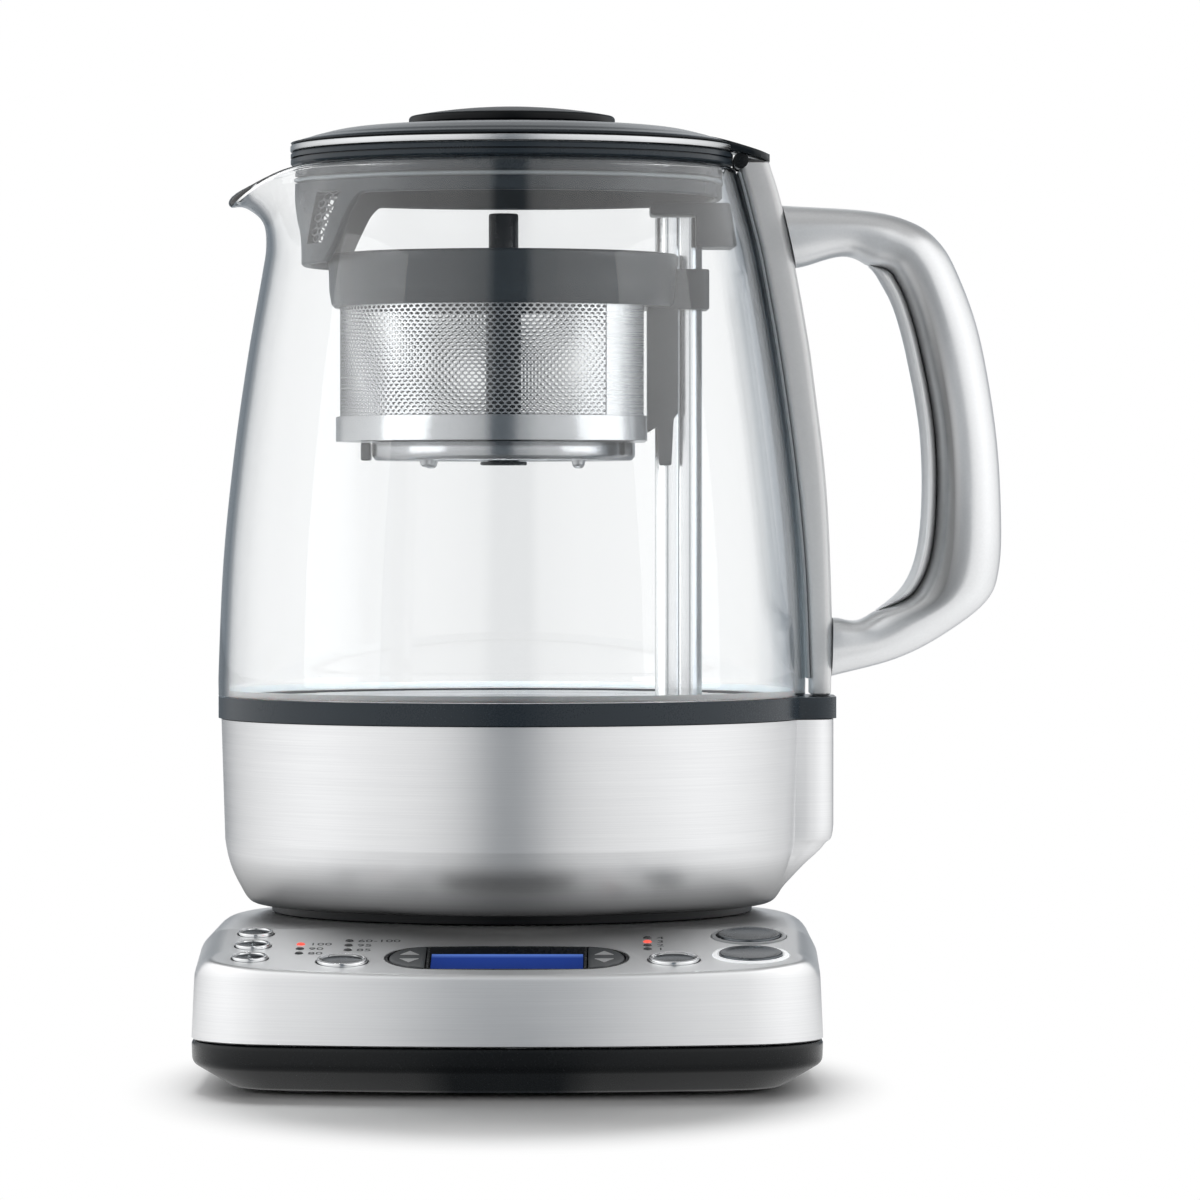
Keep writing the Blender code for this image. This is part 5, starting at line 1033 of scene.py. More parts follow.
def make_connector():
    top, flange = 0.0534, 0.0388
    grooves = [(0.0058, 0.0070), (0.0112, 0.0124), (0.0150, 0.0160)]
    outline = [(0, top - 0.0020), (0.0026, top - 0.0020), (0.0030, top)]
    for start, end in grooves:
        outline += [(start, top), (start + 0.0001, top - 0.0016), (end - 0.0001, top - 0.0016), (end, top)]
    outline += [(0.0174, top), (0.0189, top - 0.0015), (0.0189, flange), (0.0240, flange), (0.0240, flange - 0.003), (0, flange - 0.003)]
    body = new_mesh("power_connector_body", turned(rounded(outline, 0.0004, 2), 96), black_plastic)
    place(body, "base", ["power_connector"], "black_plastic")
    bm = bmesh.new()
    for start, end in grooves[:2]:
        turned(rounded([(start + 0.0003, top - 0.0015), (end - 0.0003, top - 0.0015), (end - 0.0003, top - 0.0006), (start + 0.0003, top - 0.0006)], 0.0001, 2, closed=True), 72, closed=True, bm=bm)
    place(new_mesh("connector_contacts", bm, chrome), "base", slot="chrome")


make_grommet()
make_connector()

# %% [markdown]
# ## Round buttons
# The five small buttons are chromed caps with a dished face in a raised rim, and the two large
# ones are dark metal caps inside light rings. Each cap is turned: the dish, the rounded rim, the
# side that slides in the panel, the flange that keeps it in, and the stem on its switch.

# %% Buttons
def button_outline(radius, large):
    rim = 0.0009
    dish = rim - (0.0010 if large else 0.0013)
    seat = (-0.0035 if large else -0.0023)
    face = [(0, dish), (radius * 0.45, dish + 0.00015), (radius * 0.72, dish + 0.0005), (radius * 0.86, rim - 0.00012), (radius * 0.93, rim), (radius * 0.985, rim - 0.00018), (radius, rim - 0.0006)]
    outline = [tuple(row) for row in smooth_curve(face, 4)]
    outline += [(radius, seat), (radius + 0.0009, seat), (radius + 0.0009, seat - 0.0009), (0.0018, seat - 0.0009), (0.0018, -0.0085), (0, -0.0085)]
    return outline


def darken_dish(cap, x, up, reach):
    """The dished face inside a small button's bright rim is dark metal."""
    cap.data.materials.append(dished_face)
    middle = PANEL @ Vector((x, up, 0))
    for face in cap.data.polygons:
        if (face.center - middle).length < reach:
            face.material_index = 1


for name, x, up, radius in BUTTONS:
    large = radius > 0.008
    form = turned(button_outline(radius, large), 72, x, up)
    bmesh.ops.transform(form, matrix=PANEL, verts=form.verts)
    cap = new_mesh(f"{name}_cap", form, dark_cap if large else chrome)
    if not large:
        darken_dish(cap, x, up, radius * 0.80)
    place(cap, name, [name], "dark_cap" if large else "chrome")

# %% [markdown]
# Each large button sits in a ring of white plastic that carries the light of its lamp up to the
# panel. The ring round the start button is lit.

# %% Light rings
for name, material in (("start_button", lit_ring), ("water_button", quiet_ring)):
    x, up = next((row[1], row[2]) for row in BUTTONS if row[0] == name)
    outline = rounded([(0.0087, 0.0004), (0.0098, 0.0004), (0.0098, -0.0023), (0.0105, -0.0023), (0.0105, -0.0032), (0.0087, -0.0032)], 0.00025, 3, closed=True)
    form = turned(outline, 72, x, up, closed=True)
    bmesh.ops.transform(form, matrix=PANEL, verts=form.verts)
    ring_name = name.replace("button", "light_ring")
    place(new_mesh(f"{ring_name}_moulding", form, material), "base", [ring_name], "light_ring")

# %% [markdown]
# ## The display cluster
# The lens-shaped black frame holds the blue display under a clear window, with a rocking pad at
# each end. The frame is a prism with pockets cut into it and every edge rounded. The pads are
# slightly crowned, and their arrows are printed in white.

# %% Display frame
def rocker_outline(side, inset, steps=20):
    half = WINDOW_HALF[1] - inset
    start = WINDOW_HALF[0] + 0.0010 + inset
    end = CLUSTER_HALF[0] - 0.0010 - inset - start
    points = []
    for step in range(steps + 1):
        angle = math.pi * (step / steps - 0.5)
        points.append((side * (start + end * math.cos(angle)), CLUSTER_UP + half * math.sin(angle)))
    return points


def make_display_frame():
    body = new_mesh("display_cluster_frame", prism(cluster_outline(0.0003), -0.0129, 0.0), black_plastic)
    window = (WINDOW_HALF[0] + 0.0003, WINDOW_HALF[1] + 0.0003)
    pocket = block((-window[0], CLUSTER_UP - window[1], -0.0053), (window[0], CLUSTER_UP + window[1], 0.004))
    pads = [prism(rocker_outline(side, 0), -0.0043, 0.004) for side in (1, -1)]
    carve(body, [pocket, *pads])
    bevelled(body, 0.00022, 3)
    body.data.transform(PANEL)
    place(body, "base", ["display_frame"], "black_plastic")


def make_rocker(side, name):
    rings = []
    for inset, height in ((0.0003, -0.0024), (0.0003, -0.0004), (0.0004, -0.0001), (0.0007, 0.0001), (0.0016, 0.00022), (0.0030, 0.0003)):
        rings.append([Vector((x, y, height)) for x, y in rocker_outline(side, inset)])
    pad = skin(bmesh.new(), rings)
    start, end = sorted((side * 0.0217, side * 0.0288))
    block((start, CLUSTER_UP - 0.0008, -0.0043 + 0.0003), (end, CLUSTER_UP + 0.0008, -0.0026), bm=pad)
    bmesh.ops.transform(pad, matrix=PANEL, verts=pad.verts)
    place(new_mesh(f"{name}_pad", pad, rocker_grey), name, [name], "dark_cap")
    print_form = bmesh.new()
    middle = side * 0.0252
    for way in (1, -1):
        tip = CLUSTER_UP + way * 0.0068
        foot = CLUSTER_UP + way * 0.0022
        outline = rounded([(middle - 0.0026, foot), (middle + 0.0026, foot), (middle, tip)], 0.0004, 3, closed=True)
        prism(outline, 0.00020, 0.00034, bm=print_form)
    bmesh.ops.transform(print_form, matrix=PANEL, verts=print_form.verts)
    place(new_mesh(f"{name}_arrows", print_form, pale_print), name)


rocker_grey = finish(
    "rocker_grey", (0.055, 0.062, 0.068), (0.075, 0.083, 0.090), (0.30, 0.38), "grain", MOULDED, 0.000008,
)
make_display_frame()
make_rocker(-1, "rocker_left")
make_rocker(1, "rocker_right")
nodes["display_module"].data.materials[0] = display_blue
for name in ("display_module", "display_window"):
    nodes[name].visible_glossy = False
nodes["display_window"].data.materials[0] = window_plastic

# %% [markdown]
# ## Indicator lights and panel marks
# Each light is a small domed lens over the end of a light guide. The photograph's words are left
# off. Beside the lights stand plain numbers, temperatures for the five kinds of tea and steps of
# strength, and short ticks mark the option buttons.

# %% Lenses
def make_lenses(name, spots, material):
    form = bmesh.new()
    outline = smooth_curve([(0, 0.00045), (0.0006, 0.0004), (0.0010, 0.0002), (0.00115, -0.0002)], 3)
    outline = [tuple(row) for row in outline] + [(0.00085, -0.0008), (0, -0.0008)]
    for x, up in spots:
        turned(outline, 20, x, up, bm=form)
    bmesh.ops.transform(form, matrix=PANEL, verts=form.verts)
    place(new_mesh(name, form, material), "base", slot="light_guide")


make_lenses("dark_lenses", TEA_LIGHTS[:2] + TEA_LIGHTS[3:] + STRENGTH_LIGHTS[:2] + STRENGTH_LIGHTS[3:], dark_lens)
make_lenses("lit_lenses", [TEA_LIGHTS[2], STRENGTH_LIGHTS[2]], lit_red)
for name in ("tea_light_guide", "strength_light_guide"):
    nodes[name].data.materials[0] = red_guide
nodes["control_board"].data.materials[0] = board_green

# %% Printed numbers and ticks
def printed_text(text, x, up, height):
    """Letters as a flat mesh, a hair above the panel."""
    curve = bpy.data.curves.new("mark", "FONT")
    curve.body = text
    curve.size = height / 0.7
    curve.align_y = "CENTER"
    curve.extrude = 0.00001
    holder = bpy.data.objects.new("mark", curve)
    scene.collection.objects.link(holder)
    seen = bpy.context.evaluated_depsgraph_get()
    mesh = bpy.data.meshes.new_from_object(holder.evaluated_get(seen), depsgraph=seen)
    mesh.transform(PANEL @ Matrix.Translation((x, up, 0.00003)))
    bpy.data.objects.remove(holder)
    return mesh


def make_marks():
    form = bmesh.new()
    labels = [("80", 0), ("90", 1), ("100", 2), ("85", 3), ("95", 4), ("60-100", 5)]
    for text, index in labels:
        x, up = TEA_LIGHTS[index]
        form.from_mesh(printed_text(text, x + 0.0022, up, 0.0028))
    for index, (x, up) in enumerate(STRENGTH_LIGHTS):
        form.from_mesh(printed_text(str(index + 1), x + 0.0024, up, 0.0028))
    for name, x, up, radius in BUTTONS[:3]:
        for turn in (-0.5, 0.0, 0.5):
            middle = math.pi / 2 + turn
            arc = []
            for out in (radius + 0.0014, radius + 0.0026):
                sweep = [middle - 0.035, middle + 0.035]
                arc += [(x + out * math.cos(a), up + out * math.sin(a)) for a in (sweep if out < radius + 0.002 else sweep[::-1])]
            piece = prism(arc, 0.00002, 0.00004)
            bmesh.ops.transform(piece, matrix=PANEL, verts=piece.verts)
            mesh = bpy.data.meshes.new("tick")
            piece.to_mesh(mesh)
            piece.free()
            form.from_mesh(mesh)
    marks = new_mesh("panel_marks", form, grey_print)
    place(marks, "base")


make_marks()

# %% [markdown]
# ## The jug's plan
# The steel body and the waist ring are round, with a rounded step towards the handle. The ring
# below is the larger of a circle and a rounded box, blended where they meet, so the step grows
# out of the round wall with a small fillet, as pressed steel does.

# %% Jug plan
STEP_HALF_WIDTH = 0.0177
STEP_CORNER = 0.0080
STEP_FILLET = 0.0030
JUG_ANGLES = [math.radians(-20 + 0.625 * step) for step in range(64)]
JUG_ANGLES += [math.radians(20 + 2.5 * step) for step in range(128)]


def step_reach(angle, reach):
    """How far out the step's rounded end lies at an angle."""
    along, aside = math.cos(angle), abs(math.sin(angle))
    if along <= 0:
        return 0.0
    middle_x, middle_y = reach - STEP_CORNER, STEP_HALF_WIDTH - STEP_CORNER
    if reach / along * aside <= middle_y:
        return reach / along
    if aside > 0 and STEP_HALF_WIDTH / aside * along <= middle_x:
        return STEP_HALF_WIDTH / aside
    near = middle_x * along + middle_y * aside
    return near + math.sqrt(max(near * near - middle_x ** 2 - middle_y ** 2 + STEP_CORNER ** 2, 0))


def jug_ring(radius, height, reach=0.0, share=0.0):
    ring = []
    for angle in JUG_ANGLES:
        stepped = step_reach(angle, reach)
        blend = max(STEP_FILLET - abs(stepped - radius), 0) ** 2 / STEP_FILLET / 4
        out = radius + (max(stepped, radius) + blend - radius) * share
        ring.append(Vector((out * math.cos(angle), out * math.sin(angle), height)))
    return ring


# %% [markdown]
# ## Socket and foot
# The jug's black socket fits over the base's round connector. Around it, a black ring carries the
# jug on the seat, and its lip closes the steel body's lower edge.

# %% Socket and foot
def make_socket():
    outline = rounded([(0, 0.0586), (0.0297, 0.0586), (0.0297, 0.0414), (0.0196, 0.0414), (0.0196, 0.0541), (0, 0.0541)], 0.0008, 3)
    place(new_mesh("connector_socket", turned(outline, 96), black_plastic), "jug_socket", ["jug_socket"], "black_plastic")


def make_foot():
    lip = 0.0462
    outline = rounded(
        [(0.0304, 0.0414), (0.0657, 0.0414), (0.0657, lip), (0.0683, lip), (0.0683, 0.0476), (0.0627, 0.0476), (0.0597, 0.0444), (0.0304, 0.0444)],
        0.0005, 3, closed=True,
    )
    place(new_mesh("foot_ring", turned(outline, 128, closed=True), knob_plastic), "jug", ["jug_foot"], "black_plastic")


make_socket()
make_foot()

# %% [markdown]
# ## The brushed steel body
# The lower body is deep-drawn steel, brushed round and round. Seven rows from the CAD model are
# joined by a smooth curve, which removes the facets, and Solidify gives the sheet its thickness.

# %% Steel body
STEEL_RADIUS = 0.0795
STEEL_LOW = 0.0438
STEEL_TOP = 0.0940
STEEL_ROWS = [
    (0.832, 0.000, 0.00), (0.897, 0.010, 0.00), (0.937, 0.100, 0.03), (0.968, 0.207, 0.27),
    (0.985, 0.321, 0.75), (0.989, 0.430, 1.00), (1.000, 1.000, 1.00),
]


def make_steel_body():
    rings = []
    for out, up, share in smooth_curve(STEEL_ROWS, 7):
        height = STEEL_LOW + (STEEL_TOP - STEEL_LOW) * min(max(up, 0), 1)
        rings.append(jug_ring(STEEL_RADIUS * min(out, 1.0), height, 0.0877, min(max(share, 0), 1)))
    body = new_mesh("jug_steel_body", skin(bmesh.new(), rings, caps=False), body_steel)
    wall = body.modifiers.new("wall", "SOLIDIFY")
    wall.thickness = 0.0008
    wall.offset = -1
    settle(body)
    place(body, "jug", ["steel_body"], "brushed_steel")


make_steel_body()

# %% [markdown]
# ## The waist ring, the floor and its seal
# A dark ring joins steel and glass. The floor plate lies on its inner ledge, with pressed rings
# that keep the thin steel flat when the heater under it gets hot, and a pale silicone ring seals
# it against the glass.

# %% Waist ring
def make_waist():
    low, high = 0.0943, 0.1001
    outline = rounded(
        [(0.0803, low, 1), (0.0803, high, 1), (0.0759, high, 0), (0.0759, 0.0983, 0), (0.0735, 0.0983, 0),
         (0.0735, 0.0908, 0), (0.0781, 0.0908, 0), (0.0781, low, 0)],
        0.0005, 3, closed=True,
    )
    rings = []
    for radius, height, share in outline:
        rings.append(jug_ring(radius, height, 0.0885 - (0.0803 - radius), smooth_step((radius - 0.0785) / 0.0010)))
    place(new_mesh("jug_waist_ring", skin(bmesh.new(), rings, closed=True), slate_plastic), "jug", ["waist_ring"], "slate_plastic")


def make_floor():
    top, thick = 0.0998, 0.0010
    upper = [(0, top - 0.0002)]
    for start in (0.012, 0.024, 0.050, 0.066):
        upper += [(start, top - 0.0002), (start + 0.0008, top), (start + 0.0026, top), (start + 0.0034, top - 0.0002)]
    upper += [(0.0745, top - 0.0002), (0.0755, top - 0.0004)]
    lower = [(radius, height - thick + 0.0002) for radius, height in reversed(upper)]
    outline = rounded(upper + lower, 0.0004, 3)
    plate = new_mesh("pressed_floor", turned(outline, 128), satin_floor)
    carve(plate, [turned([(0, 0.09), (0.0022, 0.09), (0.0022, 0.11), (0, 0.11)], 24, 0.0456)])
    place(plate, "jug", ["floor_plate"], "satin_metal")
    ring = rounded([(0.0737, 0.1004), (0.0774, 0.1004), (0.0774, 0.1022)], 0.0004, 3, closed=True)
    place(new_mesh("floor_seal_ring", turned(ring, 128, closed=True), pale_silicone), "jug", ["floor_seal"], "silicone")


satin_floor = finish(
    "satin_floor", (0.56, 0.57, 0.58), (0.68, 0.69, 0.70), (0.24, 0.32), "brushing", BRUSHED, 0.000004, Metallic=1.0,
)
make_waist()
make_floor()

# %% [markdown]
# ## The glass jug and its spout
# The glass wall is blown, so its lines are soft everywhere. For each upright line round the jug,
# a smooth curve runs through the CAD model's rows, and the spout adds a way out and a way down
# near the front. The inner line is the outer one moved inwards square to the wall, and an arc
# joins the two at the rim, so that the glass has the same thickness all over, also in the lip.

# %% Glass jug
WAIST_RADIUS = 0.0803
GLASS_LOW = 0.1004
GLASS_TOP = 0.2446
GLASS_WALL = 0.0026
GLASS_SHARES = [
    (1.000, 0.000), (0.999, 0.060), (0.983, 0.256), (0.948, 0.450), (0.900, 0.640),
    (0.853, 0.789), (0.831, 0.850), (0.808, 0.900), (0.785, 0.950), (0.760, 1.000),
]
SPOUT_SHARES = [(0.0, 0.0)] * 6 + [(0.03, 0.0), (0.20, 0.05), (0.60, 0.35), (1.0, 1.0)]
SPOUT_REACH = 0.0165
SPOUT_DROP = 0.0110
SPOUT_CURL = 1.7
SPOUT_HALF_ANGLE = math.radians(32)
GLASS_ROWS = [
    (WAIST_RADIUS * out, GLASS_LOW + (GLASS_TOP - GLASS_LOW) * up, away, down)
    for (out, up), (away, down) in zip(GLASS_SHARES, SPOUT_SHARES)
]
GLASS_CURVE = smooth_curve(GLASS_ROWS, 6)


def glass_line(angle):
    """The outer and inner line of the wall at an angle, as (out, height)."""
    near = smooth_step(1 - abs(angle - math.pi) / SPOUT_HALF_ANGLE)
    outer = []
    for radius, height, away, down in GLASS_CURVE:
        spot = (radius + SPOUT_REACH * away * near, height - SPOUT_DROP * down * near ** SPOUT_CURL)
        outer.append(Vector(spot))
    outer[0].y = GLASS_LOW
    inner = []
    for index, spot in enumerate(outer):
        along = outer[min(index + 1, len(outer) - 1)] - outer[max(index - 1, 0)]
        inner.append(spot + Vector((-along.y, along.x)).normalized() * GLASS_WALL)
    inner[0].y = GLASS_LOW
    return outer, inner


def make_glass():
    lines = []
    columns = 144
    for column in range(columns):
        angle = math.tau * column / columns
        outer, inner = glass_line(angle)
        along = (outer[-1] - outer[-2]).normalized() * GLASS_WALL / 2
        middle, half = (outer[-1] + inner[-1]) / 2, (outer[-1] - inner[-1]) / 2
        rim = [middle - along + half * math.cos(t) + along * math.sin(t) for t in (math.pi * k / 8 for k in range(9))]
        line = outer[:-1] + rim + inner[-2::-1]
        lines.append([Vector((spot.x * math.cos(angle), spot.x * math.sin(angle), spot.y)) for spot in line])
    rings = [list(ring) for ring in zip(*lines)]
    place(new_mesh("jug_glass_wall", skin(bmesh.new(), rings, closed=True), jug_glass), "jug", ["glass_jug"], "clear_glass")


def glass_radius(height):
    """The outer wall's radius away from the spout."""
    for (low_r, low_z, *_), (high_r, high_z, *_) in zip(GLASS_CURVE, GLASS_CURVE[1:]):
        if low_z <= height <= high_z:
            return low_r + (high_r - low_r) * (height - low_z) / (high_z - low_z)
    return GLASS_CURVE[-1 if height > GLASS_TOP else 0][0]


make_glass()

# %% [markdown]
# ## The spine and the handle
# The spine is a cast strip that follows the glass, and the handle is fixed to it. Both are skinned
# through rounded sections along a smooth curve. A handle feels right when no line on it has a
# sudden bend, so the CAD model's pairs of points are joined by a curve before the sections are
# laid across them. A bright grip strip closes the inside of the bend.

# %% Spine
SPINE_ROWS = [(0.983, 0.0), (1.0, 0.139), (0.913, 0.385), (0.703, 0.600), (0.590, 0.690), (0.410, 0.806), (0.190, 0.926), (0.0, 1.0)]
SPINE_LOW, SPINE_TOP = 0.1004, 0.2456
PIN_X = 0.0625
PIN_RADIUS = 0.0017
PIN_SEAT = 0.0020
PIN_PLACE = Matrix.Translation((PIN_X, 0, SPINE_TOP + 0.0005)) @ Matrix.Rotation(math.pi / 2, 4, "X")
SPINE_CURVE = [
    (0.0702 + (0.0874 - 0.0702) * out, SPINE_LOW + (SPINE_TOP - SPINE_LOW) * up)
    for out, up in smooth_curve(SPINE_ROWS, 8)
]


def spine_reach(height):
    for (low_x, low_z), (high_x, high_z) in zip(SPINE_CURVE, SPINE_CURVE[1:]):
        if low_z <= height <= high_z:
            return low_x + (high_x - low_x) * (height - low_z) / (high_z - low_z)
    return SPINE_CURVE[-1][0]


spine_metal = finish(
    "spine_metal", (0.88, 0.885, 0.89), (0.94, 0.945, 0.95), (0.30, 0.38), "grain", SATIN, 0.000002, Metallic=0.25,
)


def spine_ring(reach, height, shrink=0.0):
    inner = glass_radius(height) + 0.0011 + shrink
    half = 0.0090 - shrink
    outer = reach - shrink
    points = [(inner, -half), (outer, -half), (outer, half), (inner, half)]
    return [Vector((x, y, height)) for x, y in rounded(points, 0.0022, 4, closed=True)]


def strip_ring(inner, outer, half, height, radius):
    points = [(inner, -half), (outer, -half), (outer, half), (inner, half)]
    return [Vector((x, y, height)) for x, y in rounded(points, radius, 4, closed=True)]


def make_spine():
    """The top rises to a shoulder under the lid's tail, with a round seat for the rest pin."""
    rings = [spine_ring(SPINE_CURVE[0][0], SPINE_LOW, 0.0006)]
    rings += [spine_ring(reach, max(height, SPINE_LOW + 0.0005)) for reach, height in SPINE_CURVE]
    for outer, rise in ((0.0698, 0.0003), (0.0683, 0.0006), (0.0664, 0.0010), (0.0653, 0.0013)):
        rings.append(strip_ring(PIN_X + 0.0004, outer, 0.0084 - rise * 1.5, SPINE_TOP + rise, 0.0006))
    spine = new_mesh("jug_spine", skin(bmesh.new(), rings), spine_metal)
    seat = turned([(0, -0.012), (PIN_SEAT, -0.012), (PIN_SEAT, 0.012), (0, 0.012)], 32)
    bmesh.ops.transform(seat, matrix=PIN_PLACE, verts=seat.verts)
    carve(spine, [seat])
    place(spine, "jug", ["spine"], "satin_metal")


def make_spine_gasket():
    """A dark strip fills the line between glass and metal."""
    rings = []
    for _, height in SPINE_CURVE[2:-2]:
        inner = glass_radius(height) + 0.0001
        rings.append(strip_ring(inner, inner + 0.0009, 0.0092, height, 0.0003))
    place(new_mesh("spine_gasket", skin(bmesh.new(), rings), grey_silicone), "jug", slot="silicone")


grey_silicone = finish(
    "grey_silicone", (0.40, 0.44, 0.47), (0.48, 0.52, 0.55), (0.42, 0.55), "grain",
    {"Grains": 800.0, "Detail": 3.0, "Contrast": 1.0}, 0.000006, Specular_IOR_Level=0.3,
)


# %% Handle
HANDLE_OUTER = [
    (0.231, 0.000), (0.520, 0.036), (0.733, 0.086), (0.932, 0.158), (0.992, 0.230), (1.000, 0.353), (0.975, 0.526),
    (0.901, 0.724), (0.800, 0.858), (0.715, 0.924), (0.597, 0.964), (0.398, 0.988), (0.000, 1.000),
]
HANDLE_INNER = [
    (0.264, 0.110), (0.345, 0.118), (0.432, 0.141), (0.550, 0.190), (0.615, 0.262), (0.640, 0.380), (0.629, 0.524),
    (0.574, 0.672), (0.520, 0.770), (0.465, 0.826), (0.398, 0.870), (0.281, 0.893), (0.064, 0.881),
]


def handle_points(shares):
    points = [[0.0734 + (0.134 - 0.0734) * x, 0.1055 + (0.2343 - 0.1055) * z] for x, z in shares]
    for end in (0, -1):
        points[end][0] = spine_reach(points[end][1]) + 0.0003
    return points


def handle_section(start, end, half_width, flat_side=2.2, sides=44):
    """A rounded section. The side towards the fingers may be flatter than the outer side."""
    middle, reach = (start + end) / 2, (end - start) / 2
    ring = []
    for step in range(sides):
        angle = math.tau * step / sides
        power = 2 / (flat_side if math.cos(angle) < 0 else 2.0)
        along = math.copysign(abs(math.cos(angle)) ** power, math.cos(angle))
        aside = math.copysign(abs(math.sin(angle)) ** power, math.sin(angle))
        ring.append(middle + reach * along + Vector((0, half_width * aside, 0)))
    return ring


def shade_inside(material, middle, share):
    """Painted shade: darken the colour on the side of the handle's grip turned towards the hand's opening, in place of
    the shade and the spine's dark reflection there.
    """
    tree = material.node_tree
    colour = tree.nodes["Principled BSDF"].inputs["Base Color"]
    place_of = add_node(tree, "ShaderNodeTexCoord")
    back = add_node(tree, "ShaderNodeVectorMath", {0: middle, 1: place_of.outputs["Object"]}, operation="SUBTRACT")
    way = add_node(tree, "ShaderNodeVectorMath", {0: back.outputs[0]}, operation="NORMALIZE")
    facing = add_node(tree, "ShaderNodeVectorMath", {0: way.outputs[0], 1: place_of.outputs["Normal"]}, operation="DOT_PRODUCT")
    split = add_node(tree, "ShaderNodeSeparateXYZ", {0: place_of.outputs["Object"]})
    inside = map_range(tree, facing.outputs["Value"], 0.0, 1.0, -0.34, -0.06)
    inside = math_node(tree, "MULTIPLY", inside, map_range(tree, facing.outputs["Value"], 1.0, 0.30, 0.22, 0.55))
    inside = math_node(tree, "MULTIPLY", inside, map_range(tree, split.outputs["X"], 0.0, 1.0, 0.100, 0.118))
    level = map_range(tree, inside, 1.0, share)
    shaded = add_node(tree, "ShaderNodeVectorMath", {0: colour.links[0].from_socket, 3: level}, operation="SCALE")
    tree.links.new(shaded.outputs[0], colour)
    return material


# The handle's colour carries painted shade on its inner side.
handle_metal = shade_inside(finish(
    "handle_metal", (0.80, 0.81, 0.82), (0.88, 0.89, 0.90), (0.26, 0.34), "grain", SATIN, 0.000002, Metallic=0.65,
), (0.098, 0.0, 0.172), 0.24)


def make_handle():
    """The grip strip fills the inside of the bend only, and both ends flare into the spine."""
    rows = [outer + inner for outer, inner in zip(handle_points(HANDLE_OUTER), handle_points(HANDLE_INNER))]
    line = smooth_curve(rows, 7)
    shell, grip = [], []
    for index, (outer_x, outer_z, inner_x, inner_z) in enumerate(line):
        share = index / (len(line) - 1)
        inside = smooth_step((share - GRIP_START) / 0.09) * smooth_step((GRIP_END - share) / 0.09)
        flare = 1 - smooth_step(min(share, 1 - share) / 0.10)
        outer, inner = Vector((outer_x - 0.0001, 0, outer_z)), Vector((inner_x, 0, inner_z))
        way = (outer - inner).normalized()
        inner -= way * HANDLE_FLARE * flare
        shell.append(handle_section(inner + way * 0.0040 * inside, outer, 0.0110 + 0.0008 * flare, 2.9))
        if inside > 0.02:
            grip.append(handle_section(inner, inner + way * (0.0004 + 0.0036 * inside), 0.0030 + 0.0050 * inside))
    place(new_mesh("cast_handle", skin(bmesh.new(), shell), handle_metal), "jug", ["handle_shell"], "satin_metal")
    place(new_mesh("grip_strip", skin(bmesh.new(), grip), grip_metal), "jug", ["handle_grip"], "satin_metal")


GRIP_START, GRIP_END = 0.15, 0.85
HANDLE_FLARE = 0.0018
grip_metal = finish(
    "grip_metal", (0.86, 0.87, 0.88), (0.92, 0.93, 0.94), (0.26, 0.34), "grain", POLISHED, 0.000002, Metallic=0.4,
)
make_spine()
make_spine_gasket()
make_handle()

# %% [markdown]
# ## The guide post and its bracket
# The post is a hollow steel profile with a groove down each broad side. A grey bracket under the
# lid holds its top, and a small black pin lies across the spine's top, where the lid rests.

# %% Guide post, bracket and pin
POST_X = (0.0392, 0.0520)
POST_HALF = 0.0050


def post_outline(grow=0.0):
    inner, outer, half = POST_X[0] - grow, POST_X[1] + grow, POST_HALF + grow
    return rounded([(inner, -half), (outer, -half), (outer, half), (inner, half)], 0.0020, 4, closed=True)


def post_lobes(steps=16):
    """Two ridged columns side by side, joined in the groove between them."""
    middle, reach = sum(POST_X) / 2, (POST_X[1] - POST_X[0]) / 4 - 0.0001
    points = []
    for side in (-1, 1):
        for lobe in (side, -side):
            for step in range(steps + 1):
                across = side * math.cos(math.pi * step / steps)
                bulge = (1 - abs(across) ** 1.3) ** (1 / 1.3)
                floor = 0.0041 if across * lobe < 0 else 0.0022
                x = middle + lobe * (reach + 0.0002) + across * reach
                points.append(Vector((x, side * (floor + (POST_HALF - floor) * bulge))))
    return points


def make_post():
    low, top = 0.1001, 0.2305
    outer = post_lobes()
    middle = Vector((sum(POST_X) / 2, 0))
    inner = []
    for point in outer:
        away = point - middle
        inner.append(middle + Vector((min(max(away.x, -0.0053), 0.0053), math.copysign(min(abs(away.y), 0.0039), away.y))))
    rings = [
        [Vector((p.x, p.y, height)) for p in outline]
        for outline, height in ((outer, low), (outer, top), (inner, top), (inner, low))
    ]
    post = new_mesh("steel_guide_post", skin(bmesh.new(), rings, closed=True), post_steel)
    place(post, "jug", ["guide_post"], "satin_metal")


def make_bracket():
    outline = rounded(
        [(0.0378, 0.2345), (0.0378, 0.2311), (0.0500, 0.2311), (0.0500, 0.2225), (0.0612, 0.2225), (0.0592, 0.2345)],
        0.0009, 4, closed=True,
    )
    bracket = new_mesh("grey_post_bracket", prism(outline, -0.0090, 0.0090, across="XZ"), slate_plastic)
    bevelled(bracket, 0.0006, 3, 50)
    carve(bracket, [prism(post_outline(0.0003), 0.2200, 0.2308)])
    place(bracket, "jug", ["post_top_bracket"], "slate_plastic")
    flange = 0.0022
    half = [(0, 0.0088), (flange, 0.0088), (flange, 0.0082), (PIN_RADIUS, 0.0082)]
    outline = [(radius, -along) for radius, along in half] + half[::-1]
    rod = turned(rounded(outline, 0.0003, 3), 40)
    bmesh.ops.transform(rod, matrix=PIN_PLACE, verts=rod.verts)
    place(new_mesh("black_rest_pin", rod, black_plastic), "jug", ["lid_rest_pin"], "black_plastic")


post_steel = finish(
    "post_steel", (0.80, 0.81, 0.82), (0.88, 0.89, 0.90), (0.16, 0.22), "brushing", BRUSHED, 0.000002, Metallic=0.9,
)
make_post()
make_bracket()

